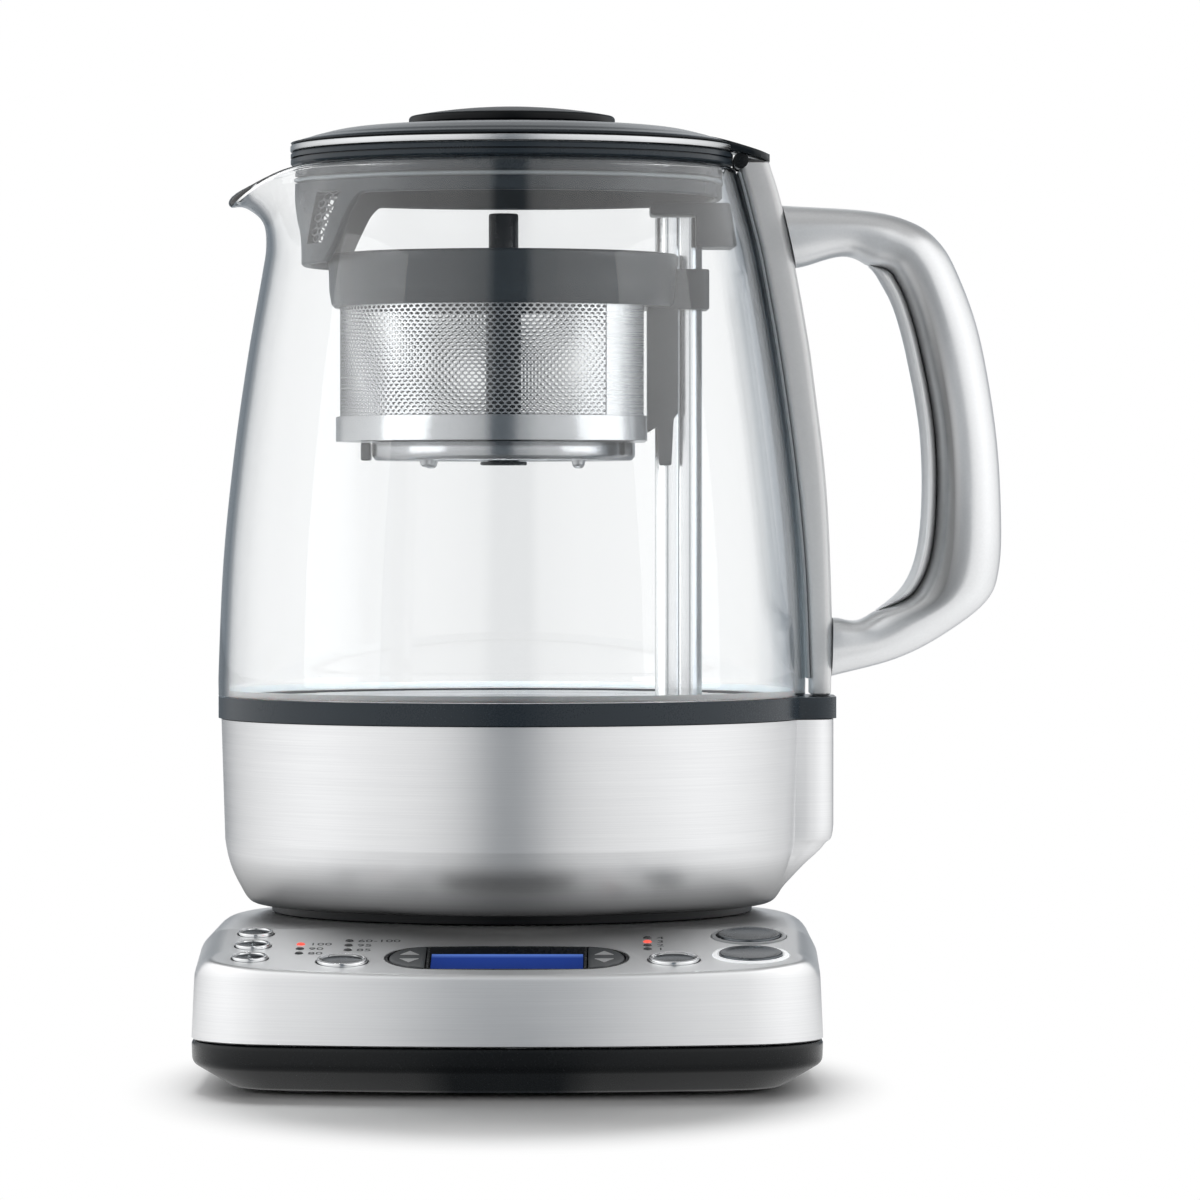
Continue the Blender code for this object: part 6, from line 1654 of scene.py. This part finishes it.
# %% [markdown]
# ## The lid
# The cover is a shallow dome with a tail that reaches back over the spine. The dome is turned and
# the tail is skinned through rounded sections, then the two are joined, so that they read as one
# moulding. The trim ring, the skirt with its deep nose at the spout, the seal and the knob are
# their own pieces, as they are on the real lid.

# %% Lid cover
RIM_RADIUS = 0.0605
TRIM_LOW = 0.2487
COVER_EDGE_Z = 0.2507
CROWN_Z = 0.2559
DOME = [
    (1.000, 0.00), (0.972, 0.16), (0.934, 0.29), (0.879, 0.48), (0.765, 0.77), (0.600, 0.91), (0.460, 0.97),
    (0.300, 1.00), (0.0, 1.0),
]
KNOB_RADIUS = 0.0282
KNOB_LOW = 0.2560
KNOB_TOP = 0.2611
KNOB_CROWN_DROP = 0.0027


def make_cover():
    rise = CROWN_Z - COVER_EDGE_Z
    dome = [(max(RIM_RADIUS * out, 0), min(COVER_EDGE_Z + rise * up, CROWN_Z)) for out, up in smooth_curve(DOME, 6)]
    dome[0] = (RIM_RADIUS - 0.0004, COVER_EDGE_Z)
    dome.insert(1, (RIM_RADIUS, COVER_EDGE_Z + 0.0004))
    outline = dome[::-1] + [(0.0573, COVER_EDGE_Z), (0.0573, TRIM_LOW), (0.0551, TRIM_LOW), (0.0540, 0.2507), (0.0463, 0.2526), (0.0363, 0.2534), (0.0242, 0.2537), (0, 0.2537)]
    outline[0] = (0, CROWN_Z)
    cover = new_mesh("domed_cover", turned(outline, 128), slate_gloss)
    rings = []
    for share in (step / 14 for step in range(15)):
        x = 0.0530 + (0.0704 - 0.0530) * share
        bottom = TRIM_LOW if x < 0.0611 else TRIM_LOW - (x - 0.0611) / (0.0704 - 0.0611) * 0.0027
        top = 0.2529 - 0.0049 * share ** 1.25
        half = 0.0100 if share < 0.8 else 0.0100 - 0.0040 * ((share - 0.8) / 0.2) ** 2
        points = rounded([(-half, bottom), (half, bottom), (half, top), (-half, top)], 0.0009, 4, closed=True)
        rings.append([Vector((x, y, z)) for y, z in points])
    carve(cover, [skin(bmesh.new(), rings)], "UNION")
    place(cover, "lid", ["lid_cover"], "slate_plastic")


def make_trim():
    top = TRIM_LOW + 0.0017
    outline = rounded([(0.0576, TRIM_LOW), (0.0606, TRIM_LOW), (0.0606, top), (0.0576, top)], 0.0004, 4, closed=True)
    trim = new_mesh("bright_trim_ring", turned(outline, 160, closed=True), satin_trim)
    carve(trim, [block((0.02, -0.0103, 0.24), (0.07, 0.0103, 0.26))])
    place(trim, "lid", ["lid_trim_ring"], "chrome")


def make_knob():
    """A low crown over a nearly upright side."""
    crown = [
        (KNOB_RADIUS * share, KNOB_TOP - KNOB_CROWN_DROP * share * share)
        for share in (0.985, 0.94, 0.86, 0.76, 0.64, 0.50, 0.34, 0.17, 0.0)
    ]
    side = [(0, KNOB_LOW), (KNOB_RADIUS - 0.0004, KNOB_LOW), (KNOB_RADIUS, KNOB_LOW + 0.0004), (KNOB_RADIUS, crown[0][1] - 0.0006)]
    knob = new_mesh("round_knob", turned(rounded(side + crown, 0.0004, 3), 128), knob_plastic)
    place(knob, "lid", ["lid_knob"], "black_plastic")


slate_gloss = finish(
    "slate_gloss", (0.009, 0.013, 0.017), (0.013, 0.018, 0.023), (0.15, 0.20), "grain", MOULDED, 0.000001, Specular_IOR_Level=0.28,
)
satin_trim = finish(
    "satin_trim", (0.50, 0.51, 0.52), (0.60, 0.61, 0.62), (0.20, 0.28), "brushing", BRUSHED, 0.000003, Metallic=1.0,
)
make_cover()
make_trim()
make_knob()

# %% Lid skirt
SKIRT_RADIUS = 0.0576
SKIRT_INNER = 0.0554
SKIRT_LOW = 0.2355
NOSE_LOW = 0.2175
NOSE_TOP_ANGLE = math.radians(47)
NOSE_LOW_ANGLE = math.radians(30)
SKIRT_SIDES = 240


def skirt_bottom(angle):
    """The lower edge is level, but deep at the spout, with slanted sides and soft corners."""
    away = abs(angle - math.pi)
    share = (NOSE_TOP_ANGLE - away) / (NOSE_TOP_ANGLE - NOSE_LOW_ANGLE)
    soft = share + math.sin(math.tau * share) / math.tau * -0.35 if 0 < share < 1 else min(max(share, 0), 1)
    return SKIRT_LOW + (NOSE_LOW - SKIRT_LOW) * soft


def make_skirt():
    groove = 0.0567
    outline = [
        (SKIRT_INNER, 0.2484), (RIM_RADIUS - 0.0004, 0.2484), (RIM_RADIUS, 0.2480), (RIM_RADIUS, 0.24695),
        (RIM_RADIUS - 0.0012, 0.24685), (RIM_RADIUS - 0.0012, 0.24655), (RIM_RADIUS, 0.24645),
        (RIM_RADIUS, 0.2454), (RIM_RADIUS - 0.0005, 0.2449),
        (SKIRT_RADIUS + 0.0004, 0.2449), (SKIRT_RADIUS, 0.2445),
        (SKIRT_RADIUS, 0.2410), (groove, 0.2410), (groove, 0.2390), (SKIRT_RADIUS, 0.2390),
        (SKIRT_RADIUS, None), (SKIRT_RADIUS - 0.0005, -0.0005), (SKIRT_INNER + 0.0005, -0.0005), (SKIRT_INNER, None),
    ]
    rings = []
    for radius, height in outline:
        ring = []
        for step in range(SKIRT_SIDES):
            angle = math.tau * step / SKIRT_SIDES
            low = skirt_bottom(angle)
            z = height if height and height > 0 else low + (0.0005 if height is None else 0)
            ring.append(Vector((radius * math.cos(angle), radius * math.sin(angle), z)))
        rings.append(ring)
    skirt = new_mesh("lid_skirt_and_rim", skin(bmesh.new(), rings, closed=True), slate_plastic)
    windows = []
    for side in (-1, 1):
        rings = []
        lift = FILTER_PLACES[side][1]
        for height in (FILTER_LOW + lift + 0.0006, FILTER_TOP + lift - 0.0006):
            ring = []
            for radius, way in ((0.0600, 1), (0.0530, -1)):
                for step in range(-6, 7):
                    angle = filter_angle(side, way * step / 6 * (FILTER_HALF - 0.012), height)
                    ring.append(Vector((radius * math.cos(angle), radius * math.sin(angle), height)))
            rings.append(ring)
        windows.append(skin(bmesh.new(), rings))
    carve(skirt, windows)
    place(skirt, "lid", ["lid_skirt"], "slate_plastic")
    ring = rounded([(0.0570, 0.2393), (0.0579, 0.23965), (0.0579, 0.24035), (0.0570, 0.2407)], 0.0002, 3, closed=True)
    place(new_mesh("skirt_seal", turned(ring, 128, closed=True), grey_silicone), "lid", ["lid_seal"], "silicone")


# side: (turn from the spout, lift); through the front patch the rear one is seen
FILTER_PLACES = {1: (math.radians(28.5), 0.0), -1: (math.radians(23.4), 0.0018)}
FILTER_HALF = math.radians(6.5)
FILTER_LEAN = math.radians(5.2)
FILTER_LOW = 0.2222
FILTER_TOP = 0.2368


def filter_angle(side, across, height):
    """Where a point of the filter lies round the skirt. The patch leans with the nose's edge."""
    turn, lift = FILTER_PLACES[side]
    rise = (height - lift - FILTER_LOW) / (FILTER_TOP - FILTER_LOW) * 2 - 1
    return math.pi + side * (turn + FILTER_LEAN * rise) + across


make_skirt()

# %% [markdown]
# ## Perforated sheet
# The spout's filter and the tea basket's drum are punched sheet. One tree of Geometry Nodes makes
# it: a grid with every second row moved half a pitch is cut into triangles, and the dual of those
# triangles is a honeycomb. Each cell gets a smaller copy inside it, and that copy is removed,
# which leaves a hole. The sheet is made flat and then bent round its carrier.

# %% The punching tree
def punching_tree():
    tree = bpy.data.node_groups.new("punched_sheet", "GeometryNodeTree")
    face = tree.interface
    face.new_socket(name="Geometry", in_out="INPUT", socket_type="NodeSocketGeometry")
    for name in ("Length", "Height", "Column Pitch", "Row Pitch", "Hole Share"):
        face.new_socket(name=name, in_out="INPUT", socket_type="NodeSocketFloat")
    face.new_socket(name="Material", in_out="INPUT", socket_type="NodeSocketMaterial")
    face.new_socket(name="Geometry", in_out="OUTPUT", socket_type="NodeSocketGeometry")
    sizes = tree.nodes.new("NodeGroupInput")
    columns = math_node(tree, "ADD", math_node(tree, "ROUND", math_node(tree, "DIVIDE", sizes.outputs["Length"], sizes.outputs["Column Pitch"])), 1)
    rows = math_node(tree, "ADD", math_node(tree, "ROUND", math_node(tree, "DIVIDE", sizes.outputs["Height"], sizes.outputs["Row Pitch"])), 1)
    grid = add_node(tree, "GeometryNodeMeshGrid", {
        "Size X": math_node(tree, "MULTIPLY", math_node(tree, "SUBTRACT", columns, 1), sizes.outputs["Column Pitch"]),
        "Size Y": math_node(tree, "MULTIPLY", math_node(tree, "SUBTRACT", rows, 1), sizes.outputs["Row Pitch"]),
        "Vertices X": columns,
        "Vertices Y": rows,
    })
    spot = tree.nodes.new("GeometryNodeInputPosition")
    parts = add_node(tree, "ShaderNodeSeparateXYZ", {0: spot.outputs[0]})
    row = math_node(tree, "ROUND", math_node(tree, "DIVIDE", parts.outputs[1], sizes.outputs["Row Pitch"]))
    odd = math_node(tree, "MODULO", math_node(tree, "ABSOLUTE", row), 2)
    shift = math_node(tree, "MULTIPLY", math_node(tree, "MULTIPLY", odd, sizes.outputs["Column Pitch"]), 0.5)
    moved = add_node(tree, "ShaderNodeCombineXYZ", {0: shift})
    staggered = add_node(tree, "GeometryNodeSetPosition", {"Geometry": grid.outputs["Mesh"], "Offset": moved.outputs[0]})
    triangles = add_node(tree, "GeometryNodeTriangulate", {0: staggered.outputs[0]})
    if hasattr(triangles, "quad_method"):
        triangles.quad_method = "SHORTEST_DIAGONAL"
    elif "Quad Method" in triangles.inputs:
        triangles.inputs["Quad Method"].default_value = "Shortest Diagonal"
    cells = add_node(tree, "GeometryNodeDualMesh", {0: triangles.outputs[0]})
    inset = add_node(tree, "GeometryNodeExtrudeMesh", {"Mesh": cells.outputs[0], "Offset Scale": 0.0, "Individual": True}, mode="FACES")
    holes = add_node(tree, "GeometryNodeScaleElements", {
        "Geometry": inset.outputs["Mesh"], "Selection": inset.outputs["Top"], "Scale": sizes.outputs["Hole Share"],
    }, domain="FACE")
    punched = add_node(tree, "GeometryNodeDeleteGeometry", {"Geometry": holes.outputs[0], "Selection": inset.outputs["Top"]}, domain="FACE")
    joined = add_node(tree, "GeometryNodeMergeByDistance", {"Geometry": punched.outputs[0], "Distance": 0.000005})
    real = add_node(tree, "GeometryNodeRealizeInstances", {0: joined.outputs[0]})
    coated = add_node(tree, "GeometryNodeSetMaterial", {"Geometry": real.outputs[0], "Material": sizes.outputs["Material"]})
    out = tree.nodes.new("NodeGroupOutput")
    tree.links.new(coated.outputs[0], out.inputs[0])
    return tree


PUNCHING = punching_tree()


def run_nodes(name, tree, values, seed_mesh=None):
    """Run a tree on a piece, keep the result as a plain mesh, and drop the modifier."""
    mesh = seed_mesh or bpy.data.meshes.new(name)
    piece = bpy.data.objects.new(name, mesh)
    scene.collection.objects.link(piece)
    step = piece.modifiers.new("nodes", "NODES")
    step.node_group = tree
    for item in tree.interface.items_tree:
        if item.in_out == "INPUT" and item.name in values:
            step[item.identifier] = values[item.name]
    seen = bpy.context.evaluated_depsgraph_get()
    made = bpy.data.meshes.new_from_object(piece.evaluated_get(seen), depsgraph=seen)
    piece.modifiers.clear()
    piece.data = made
    return piece


def punched_sheet(name, length, height, pitch, share, material, bend, thickness):
    """Punch a flat sheet, bend it round its carrier, and give it its thickness."""
    sheet = run_nodes(name, PUNCHING, {
        "Length": length, "Height": height, "Column Pitch": pitch[0], "Row Pitch": pitch[1],
        "Hole Share": share, "Material": material,
    })
    for corner in sheet.data.vertices:
        corner.co = bend(corner.co.x, corner.co.y)
    wall = sheet.modifiers.new("wall", "SOLIDIFY")
    wall.thickness = thickness
    wall.offset = 0
    settle(sheet)
    bm = bmesh.new()
    bm.from_mesh(sheet.data)
    bmesh.ops.recalc_face_normals(bm, faces=bm.faces)
    bm.to_mesh(sheet.data)
    bm.free()
    return sheet


# %% Spout filter
filter_grey = finish(
    "filter_grey", (0.030, 0.037, 0.045), (0.042, 0.050, 0.059), (0.22, 0.30), "grain", MOULDED, 0.000002,
)


def make_filters():
    radius = SKIRT_RADIUS - 0.0006
    for name, side, open_share in (("front", 1, 0.74), ("rear", -1, 0.90)):
        middle_z = (FILTER_LOW + FILTER_TOP) / 2 + FILTER_PLACES[side][1]

        def bend(along, up, side=side, middle_z=middle_z):
            angle = filter_angle(side, along / radius, middle_z + up)
            return Vector((radius * math.cos(angle), radius * math.sin(angle), middle_z + up))

        size = (FILTER_HALF * 2 * radius, FILTER_TOP - FILTER_LOW)
        sheet = punched_sheet(f"spout_filter_{name}", *size, (0.0046, 0.0018), open_share, filter_grey, bend, 0.0002)
        place(sheet, "lid", slot="slate_plastic")


make_filters()

# %% [markdown]
# ## The tea basket
# The basket is round with one flat towards the post. Its outline is an arc, a flat and two small
# fillets, with an outward direction at every point. Hoop, drum, collar and lid are all laid out
# from that one line, so the gaps between them are even all the way round.

# %% Basket plan
BASKET_X = -0.0023
DRUM_RADIUS = 0.0450
DRUM_FLAT = 0.0381
FLAT_FILLET = 0.0040


def basket_plan():
    reach = DRUM_RADIUS - FLAT_FILLET
    middle_x = DRUM_FLAT - FLAT_FILLET
    middle_y = math.sqrt(reach * reach - middle_x * middle_x)
    turn = math.atan2(middle_y, middle_x)
    marks = []
    for step in range(132):
        angle = turn + (math.tau - 2 * turn) * step / 132
        way = Vector((math.cos(angle), math.sin(angle), 0))
        marks.append((way * DRUM_RADIUS, way))
    for side, start, end in ((-1, -turn, 0.0), (1, 0.0, turn)):
        for step in range(7):
            angle = start + (end - start) * step / 6
            way = Vector((math.cos(angle), math.sin(angle), 0))
            marks.append((Vector((middle_x, side * middle_y, 0)) + way * FLAT_FILLET, way))
        if side < 0:
            for step in range(1, 16):
                y = -middle_y + 2 * middle_y * step / 16
                marks.append((Vector((DRUM_FLAT, y, 0)), Vector((1, 0, 0))))
    marks.pop()
    return marks


BASKET_PLAN = basket_plan()


def basket_ring(grow, height):
    return [Vector((BASKET_X, 0, height)) + point + way * grow for point, way in BASKET_PLAN]


def basket_circle(radius, height):
    return [Vector((BASKET_X, 0, height)) + point.normalized() * radius for point, _ in BASKET_PLAN]


def basket_form(outline, bm=None):
    """Skin an outline of (grow, height) or (None, height, radius) rows round the basket."""
    rings = []
    for grow, height, radius in outline:
        rings.append(basket_circle(radius, height) if grow is None else basket_ring(grow, height))
    return skin(bm or bmesh.new(), rings, closed=True)


print("basket plan:", len(BASKET_PLAN), "points")

# %% [markdown]
# ## The perforated drum
# The drum is punched steel, bent round and welded to a plain flat side. The punched sheet is
# bent along the basket's outline. Plain bands at the top and bottom and a plain flat at the rear
# cover its edges, as the unpunched margins of the real sheet do.

# %% Drum
DRUM_WALL = 0.0008
DRUM_LOW = 0.1705
DRUM_TOP = 0.2100
PUNCHED_LOW = 0.1764
PUNCHED_TOP = 0.2094
PUNCHED_START = math.radians(50)


def make_drum():
    radius = DRUM_RADIUS - DRUM_WALL / 2
    middle_z = (PUNCHED_LOW + PUNCHED_TOP) / 2

    def bend(along, up):
        angle = math.pi + along / radius
        return Vector((BASKET_X + radius * math.cos(angle), radius * math.sin(angle), middle_z + up))

    length = (math.tau - 2 * PUNCHED_START) * radius + 0.002
    sheet = punched_sheet("drum_punched_sheet", length, PUNCHED_TOP - PUNCHED_LOW + 0.0020, (0.00195, 0.00100), 0.70, drum_steel, bend, 0.0003)
    place(sheet, "basket", slot="brushed_steel")

    bm = bmesh.new()
    for low, high in ((DRUM_LOW, PUNCHED_LOW), (PUNCHED_TOP, DRUM_TOP)):
        profile = rounded([(0, low), (0, high), (-DRUM_WALL, high), (-DRUM_WALL, low)], 0.0001, 1, closed=True)
        basket_form([(grow, height, 0) for grow, height in profile], bm)
    bands = new_mesh("drum_bands", bm, drum_steel)
    place(bands, "basket", ["basket_drum"], "brushed_steel")

    bm = bmesh.new()
    marks = [(point, way) for point, way in BASKET_PLAN if abs(math.atan2(point.y, point.x)) < PUNCHED_START + 0.03]
    marks.sort(key=lambda mark: math.atan2(mark[0].y, mark[0].x))
    strips = []
    for point, way in marks:
        outer = Vector((BASKET_X, 0, 0)) + point - way * 0.00005
        inner = outer - way * (DRUM_WALL - 0.0001)
        low, high = PUNCHED_LOW - 0.0003, PUNCHED_TOP + 0.0003
        strips.append([Vector((p.x, p.y, z)) for p, z in ((outer, low), (outer, high), (inner, high), (inner, low))])
    skin(bm, strips)
    place(new_mesh("drum_plain_side", bm, drum_steel), "basket", slot="brushed_steel")


drum_steel = finish(
    "drum_steel", (0.42, 0.43, 0.44), (0.50, 0.51, 0.52), (0.20, 0.28), "brushing", BRUSHED, 0.000003, Metallic=1.0,
)
make_drum()

# %% [markdown]
# ## Hoop, pan and latch
# A polished hoop closes the drum's lower edge. Under it hangs a shallow pressed pan with small
# feet, and a grey catch sits at its side.

# %% Hoop, pan and latch
PAN_RADIUS = 0.0360
PAN_LOW = 0.1644


def make_hoop():
    low, high = 0.1696, 0.1763
    profile = [(0.0009, low), (0.0009, high), (0.0003, high), (0.0003, low + 0.0006)]
    rows = [(grow, height, 0) for grow, height in rounded(profile, 0.0002, 2)]
    rows += [(None, low + 0.0006, 0.0347), (None, low, 0.0347), (0.0006, low, 0)]
    place(new_mesh("polished_hoop", basket_form(rows), hoop_steel), "basket", ["basket_hoop"], "brushed_steel")


def make_pan():
    top = 0.1693
    upper = [(0.0044, PAN_LOW), (0.0120, PAN_LOW), (0.0125, PAN_LOW + 0.0004), (0.0200, PAN_LOW + 0.0004), (0.0205, PAN_LOW), (0.0350, PAN_LOW), (0.0360, PAN_LOW + 0.0012), (0.0360, top)]
    lower = [(0.0353, top), (0.0353, PAN_LOW + 0.0014), (0.0346, PAN_LOW + 0.0008), (0.0205, PAN_LOW + 0.0008), (0.0200, PAN_LOW + 0.0012), (0.0125, PAN_LOW + 0.0012), (0.0120, PAN_LOW + 0.0008), (0.0044, PAN_LOW + 0.0008)]
    pan = new_mesh("basket_pan_pressing", turned(rounded(upper + lower, 0.0003, 2), 120, BASKET_X, closed=True), hoop_steel)
    holes = []
    for ring, count in ((0.0085, 10), (0.0160, 20), (0.0235, 30), (0.0292, 36)):
        for step in range(count):
            angle = math.tau * (step + 0.5) / count
            near_foot = ring > 0.028 and min(abs(angle - math.pi / 2 * (k + 0.5)) for k in range(4)) < 0.12
            if not near_foot:
                x, y = BASKET_X + ring * math.cos(angle), ring * math.sin(angle)
                holes.append((x, y))
    cutter = bmesh.new()
    for x, y in holes:
        turned([(0, PAN_LOW - 0.001), (0.0011, PAN_LOW - 0.001), (0.0011, PAN_LOW + 0.002), (0, PAN_LOW + 0.002)], 12, x, y, bm=cutter)
    carve(pan, [cutter])
    place(pan, "basket", ["basket_pan"], "brushed_steel")
    feet = bmesh.new()
    for step in range(4):
        angle = math.pi / 2 * (step + 0.5)
        x, y = BASKET_X + 0.0290 * math.cos(angle), 0.0290 * math.sin(angle)
        outline = [(0, PAN_LOW - 0.0020), (0.0010, PAN_LOW - 0.0019), (0.0016, PAN_LOW - 0.0013), (0.0018, PAN_LOW - 0.0004), (0.0021, PAN_LOW + 0.0004), (0, PAN_LOW + 0.0004)]
        turned(rounded(outline, 0.0003, 2), 24, x, y, bm=feet)
    place(new_mesh("pan_feet", feet, hoop_steel), "basket", slot="brushed_steel")


def make_latch():
    end = BASKET_X - PAN_RADIUS - 0.0003
    latch = new_mesh("grey_latch", block((end - 0.0027, -0.0040, PAN_LOW), (end, 0.0040, 0.1693)), slate_plastic)
    bevelled(latch, 0.0005, 3)
    place(latch, "basket", ["basket_latch"], "slate_plastic")


hoop_steel = finish(
    "hoop_steel", (0.38, 0.39, 0.40), (0.45, 0.46, 0.47), (0.12, 0.18), "brushing", BRUSHED, 0.000002, Metallic=1.0,
)
make_hoop()
make_pan()
make_latch()

# %% [markdown]
# ## The collar that rides on the post
# The grey collar holds the drum. On its flat side it carries a saddle that slides on the post, a
# lug that closes round the post, and in the saddle a magnet that follows the carriage inside the
# post. The parts are joined, and then the post's channel is cut out of them with an even gap.

# %% Collar
COLLAR_RADIUS = 0.0481
COLLAR_LOW = 0.2061
COLLAR_TOP = 0.2205
SADDLE_START = 0.0370
LUG_LOW, LUG_TOP = 0.2055, 0.2165


def make_collar():
    rows = [
        (None, COLLAR_LOW, 0.0463), (None, COLLAR_LOW + 0.0010, 0.0471), (None, COLLAR_LOW + 0.0045, 0.0477),
        (None, COLLAR_TOP - 0.0034, COLLAR_RADIUS - 0.0002), (None, COLLAR_TOP - 0.0028, COLLAR_RADIUS),
        (None, COLLAR_TOP - 0.0006, COLLAR_RADIUS), (None, COLLAR_TOP, COLLAR_RADIUS - 0.0006),
        (0.0016, COLLAR_TOP, 0), (0.0012, COLLAR_TOP - 0.0004, 0), (0.0012, LUG_TOP, 0), (-0.0014, LUG_TOP, 0),
        (-0.0014, 0.2103, 0), (0.0003, 0.2103, 0), (0.0003, COLLAR_LOW, 0),
    ]
    collar = new_mesh("grey_collar", basket_form(rows), slate_plastic)
    foot = 0.1771
    side = [
        (SADDLE_START, foot - 0.0052), (SADDLE_START, 0.2075), (0.0453, 0.2075), (0.0453, foot),
        (0.0441, foot - 0.0013), (0.0435, 0.1630), (0.0402, 0.1630), (0.0396, foot - 0.0035),
    ]
    saddle = prism(rounded(side, 0.0006, 3, closed=True), -0.0086, 0.0086, across="XZ")
    start, end = SADDLE_START + 0.0004, 0.0538
    lug_plan = rounded([(start, -0.0086), (end, -0.0086), (end, 0.0086), (start, 0.0086)], 0.0020, 5, closed=True)
    rings = []
    for inset, height in rounded([(0.0030, LUG_LOW), (0, LUG_LOW), (0, LUG_TOP), (0.0030, LUG_TOP)], 0.0006, 3):
        middle = Vector(((start + end) / 2, 0))
        ring = []
        for point in lug_plan:
            away = point - middle
            ring.append(Vector((middle.x + away.x * (1 - inset / 0.0086), away.y * (1 - inset / 0.0086), height)))
        rings.append(ring)
    carve(collar, [saddle, skin(bmesh.new(), rings)], "UNION")
    face = 0.0392 - 0.0004
    pocket = block((face - 0.0020, -0.0043, 0.1948), (face + 0.0010, 0.0043, 0.2061))
    carve(collar, [prism(post_outline(0.0004), 0.1600, 0.2300), pocket])
    place(collar, "basket", ["basket_collar"], "slate_plastic")


make_collar()

# %% [markdown]
# ## The stem and the basket's lid
# The black stem goes down the middle of the basket and ends in a head under the pan. The basket's
# own lid slides on it and lies on the collar's ledge.

# %% Stem and basket lid
def make_stem():
    low, top = PAN_LOW - 0.0013, 0.2317
    outline = [(0, low), (0.0064, low), (0.0064, PAN_LOW - 0.0003), (0.00405, PAN_LOW - 0.0003), (0.00405, PAN_LOW + 0.0013), (0.0048, PAN_LOW + 0.0013), (0.0048, 0.2115), (0.00405, 0.2125), (0.00405, top), (0, top)]
    place(new_mesh("black_stem", turned(rounded(outline, 0.0007, 4), 64, BASKET_X), black_plastic), "basket", ["basket_stem"], "black_plastic")


def make_basket_lid():
    low, high = LUG_TOP + 0.0003, LUG_TOP + 0.0015
    edge = rounded([(-0.0006, high), (0.0007, high), (0.0007, low), (-0.0006, low)], 0.0003, 3)
    rows = [(None, high - 0.0006, radius) for radius in (0.0044, 0.0348)]
    rows += [(None, high - 0.0003, 0.0355), (None, high, 0.0362)] + [(grow, height, 0) for grow, height in edge]
    rows += [(None, low, 0.0362), (None, low + 0.0002, 0.0348), (None, low + 0.0002, 0.0044)]
    place(new_mesh("basket_lid_disc", basket_form(rows), drum_steel), "basket_lid", ["basket_lid"], "brushed_steel")


make_stem()
make_basket_lid()

# %% [markdown]
# ## Fixing screws under the base
# Six screws hold the tray to the shell. The points of a small mesh say where they sit, and a tree
# of Geometry Nodes puts one screw head on each.

# %% Screws
def screw_tree():
    tree = bpy.data.node_groups.new("screws_on_points", "GeometryNodeTree")
    face = tree.interface
    face.new_socket(name="Geometry", in_out="INPUT", socket_type="NodeSocketGeometry")
    face.new_socket(name="Screw", in_out="INPUT", socket_type="NodeSocketObject")
    face.new_socket(name="Size", in_out="INPUT", socket_type="NodeSocketFloat")
    face.new_socket(name="Material", in_out="INPUT", socket_type="NodeSocketMaterial")
    face.new_socket(name="Geometry", in_out="OUTPUT", socket_type="NodeSocketGeometry")
    given = tree.nodes.new("NodeGroupInput")
    head = add_node(tree, "GeometryNodeObjectInfo", {"Object": given.outputs["Screw"]})
    heads = add_node(tree, "GeometryNodeInstanceOnPoints", {
        "Points": given.outputs["Geometry"], "Instance": head.outputs["Geometry"], "Scale": given.outputs["Size"],
    })
    real = add_node(tree, "GeometryNodeRealizeInstances", {0: heads.outputs[0]})
    coated = add_node(tree, "GeometryNodeSetMaterial", {"Geometry": real.outputs[0], "Material": given.outputs["Material"]})
    out = tree.nodes.new("NodeGroupOutput")
    tree.links.new(coated.outputs[0], out.inputs[0])
    return tree


def make_screws():
    outline = rounded([(0, 0.0), (0.0029, 0.0), (0.0035, 0.0006), (0.0035, 0.0016), (0, 0.0016)], 0.0003, 3)
    head = new_mesh("screw_head", turned(outline, 40), screw_steel)
    arms = [block((-0.0020, -0.0004, -0.001), (0.0020, 0.0004, 0.0009)), block((-0.0004, -0.0020, -0.001), (0.0004, 0.0020, 0.0009))]
    carve(head, arms)
    spots = [(-0.040, -0.075, 0.0003), (0.040, -0.075, 0.0003), (-0.040, 0.052, 0.0003), (0.040, 0.052, 0.0003), (-0.058, 0.0, 0.0003), (0.058, 0.0, 0.0003)]
    marks = bpy.data.meshes.new("screw_places")
    marks.from_pydata(spots, [], [])
    screws = run_nodes("base_screws", screw_tree(), {"Screw": head, "Size": 1.0, "Material": screw_steel}, marks)
    bpy.data.objects.remove(head)
    screws.data.shade_smooth()
    screws.data.set_sharp_from_angle(angle=math.radians(32))
    place(screws, "base", slot="dark_metal")


screw_steel = finish(
    "screw_steel", (0.36, 0.36, 0.37), (0.46, 0.46, 0.47), (0.28, 0.36), "brushing", BRUSHED, 0.000003, Metallic=1.0,
)
make_screws()

# %% [markdown]
# ## Parts that keep their CAD shape
# The motor, its screw and carriage, the magnet and the heater are simple solids inside the jug.
# Their CAD shapes are right, so they only get their finishes.

# %% Finishes on CAD nodes
for name, material in (
    ("lift_motor", motor_metal), ("lift_screw", post_steel), ("magnet_carriage", black_plastic),
    ("basket_magnet", motor_metal), ("heater_ring", motor_metal),
):
    nodes[name].data.materials[0] = material
    print(f"{name}: {material.name}")
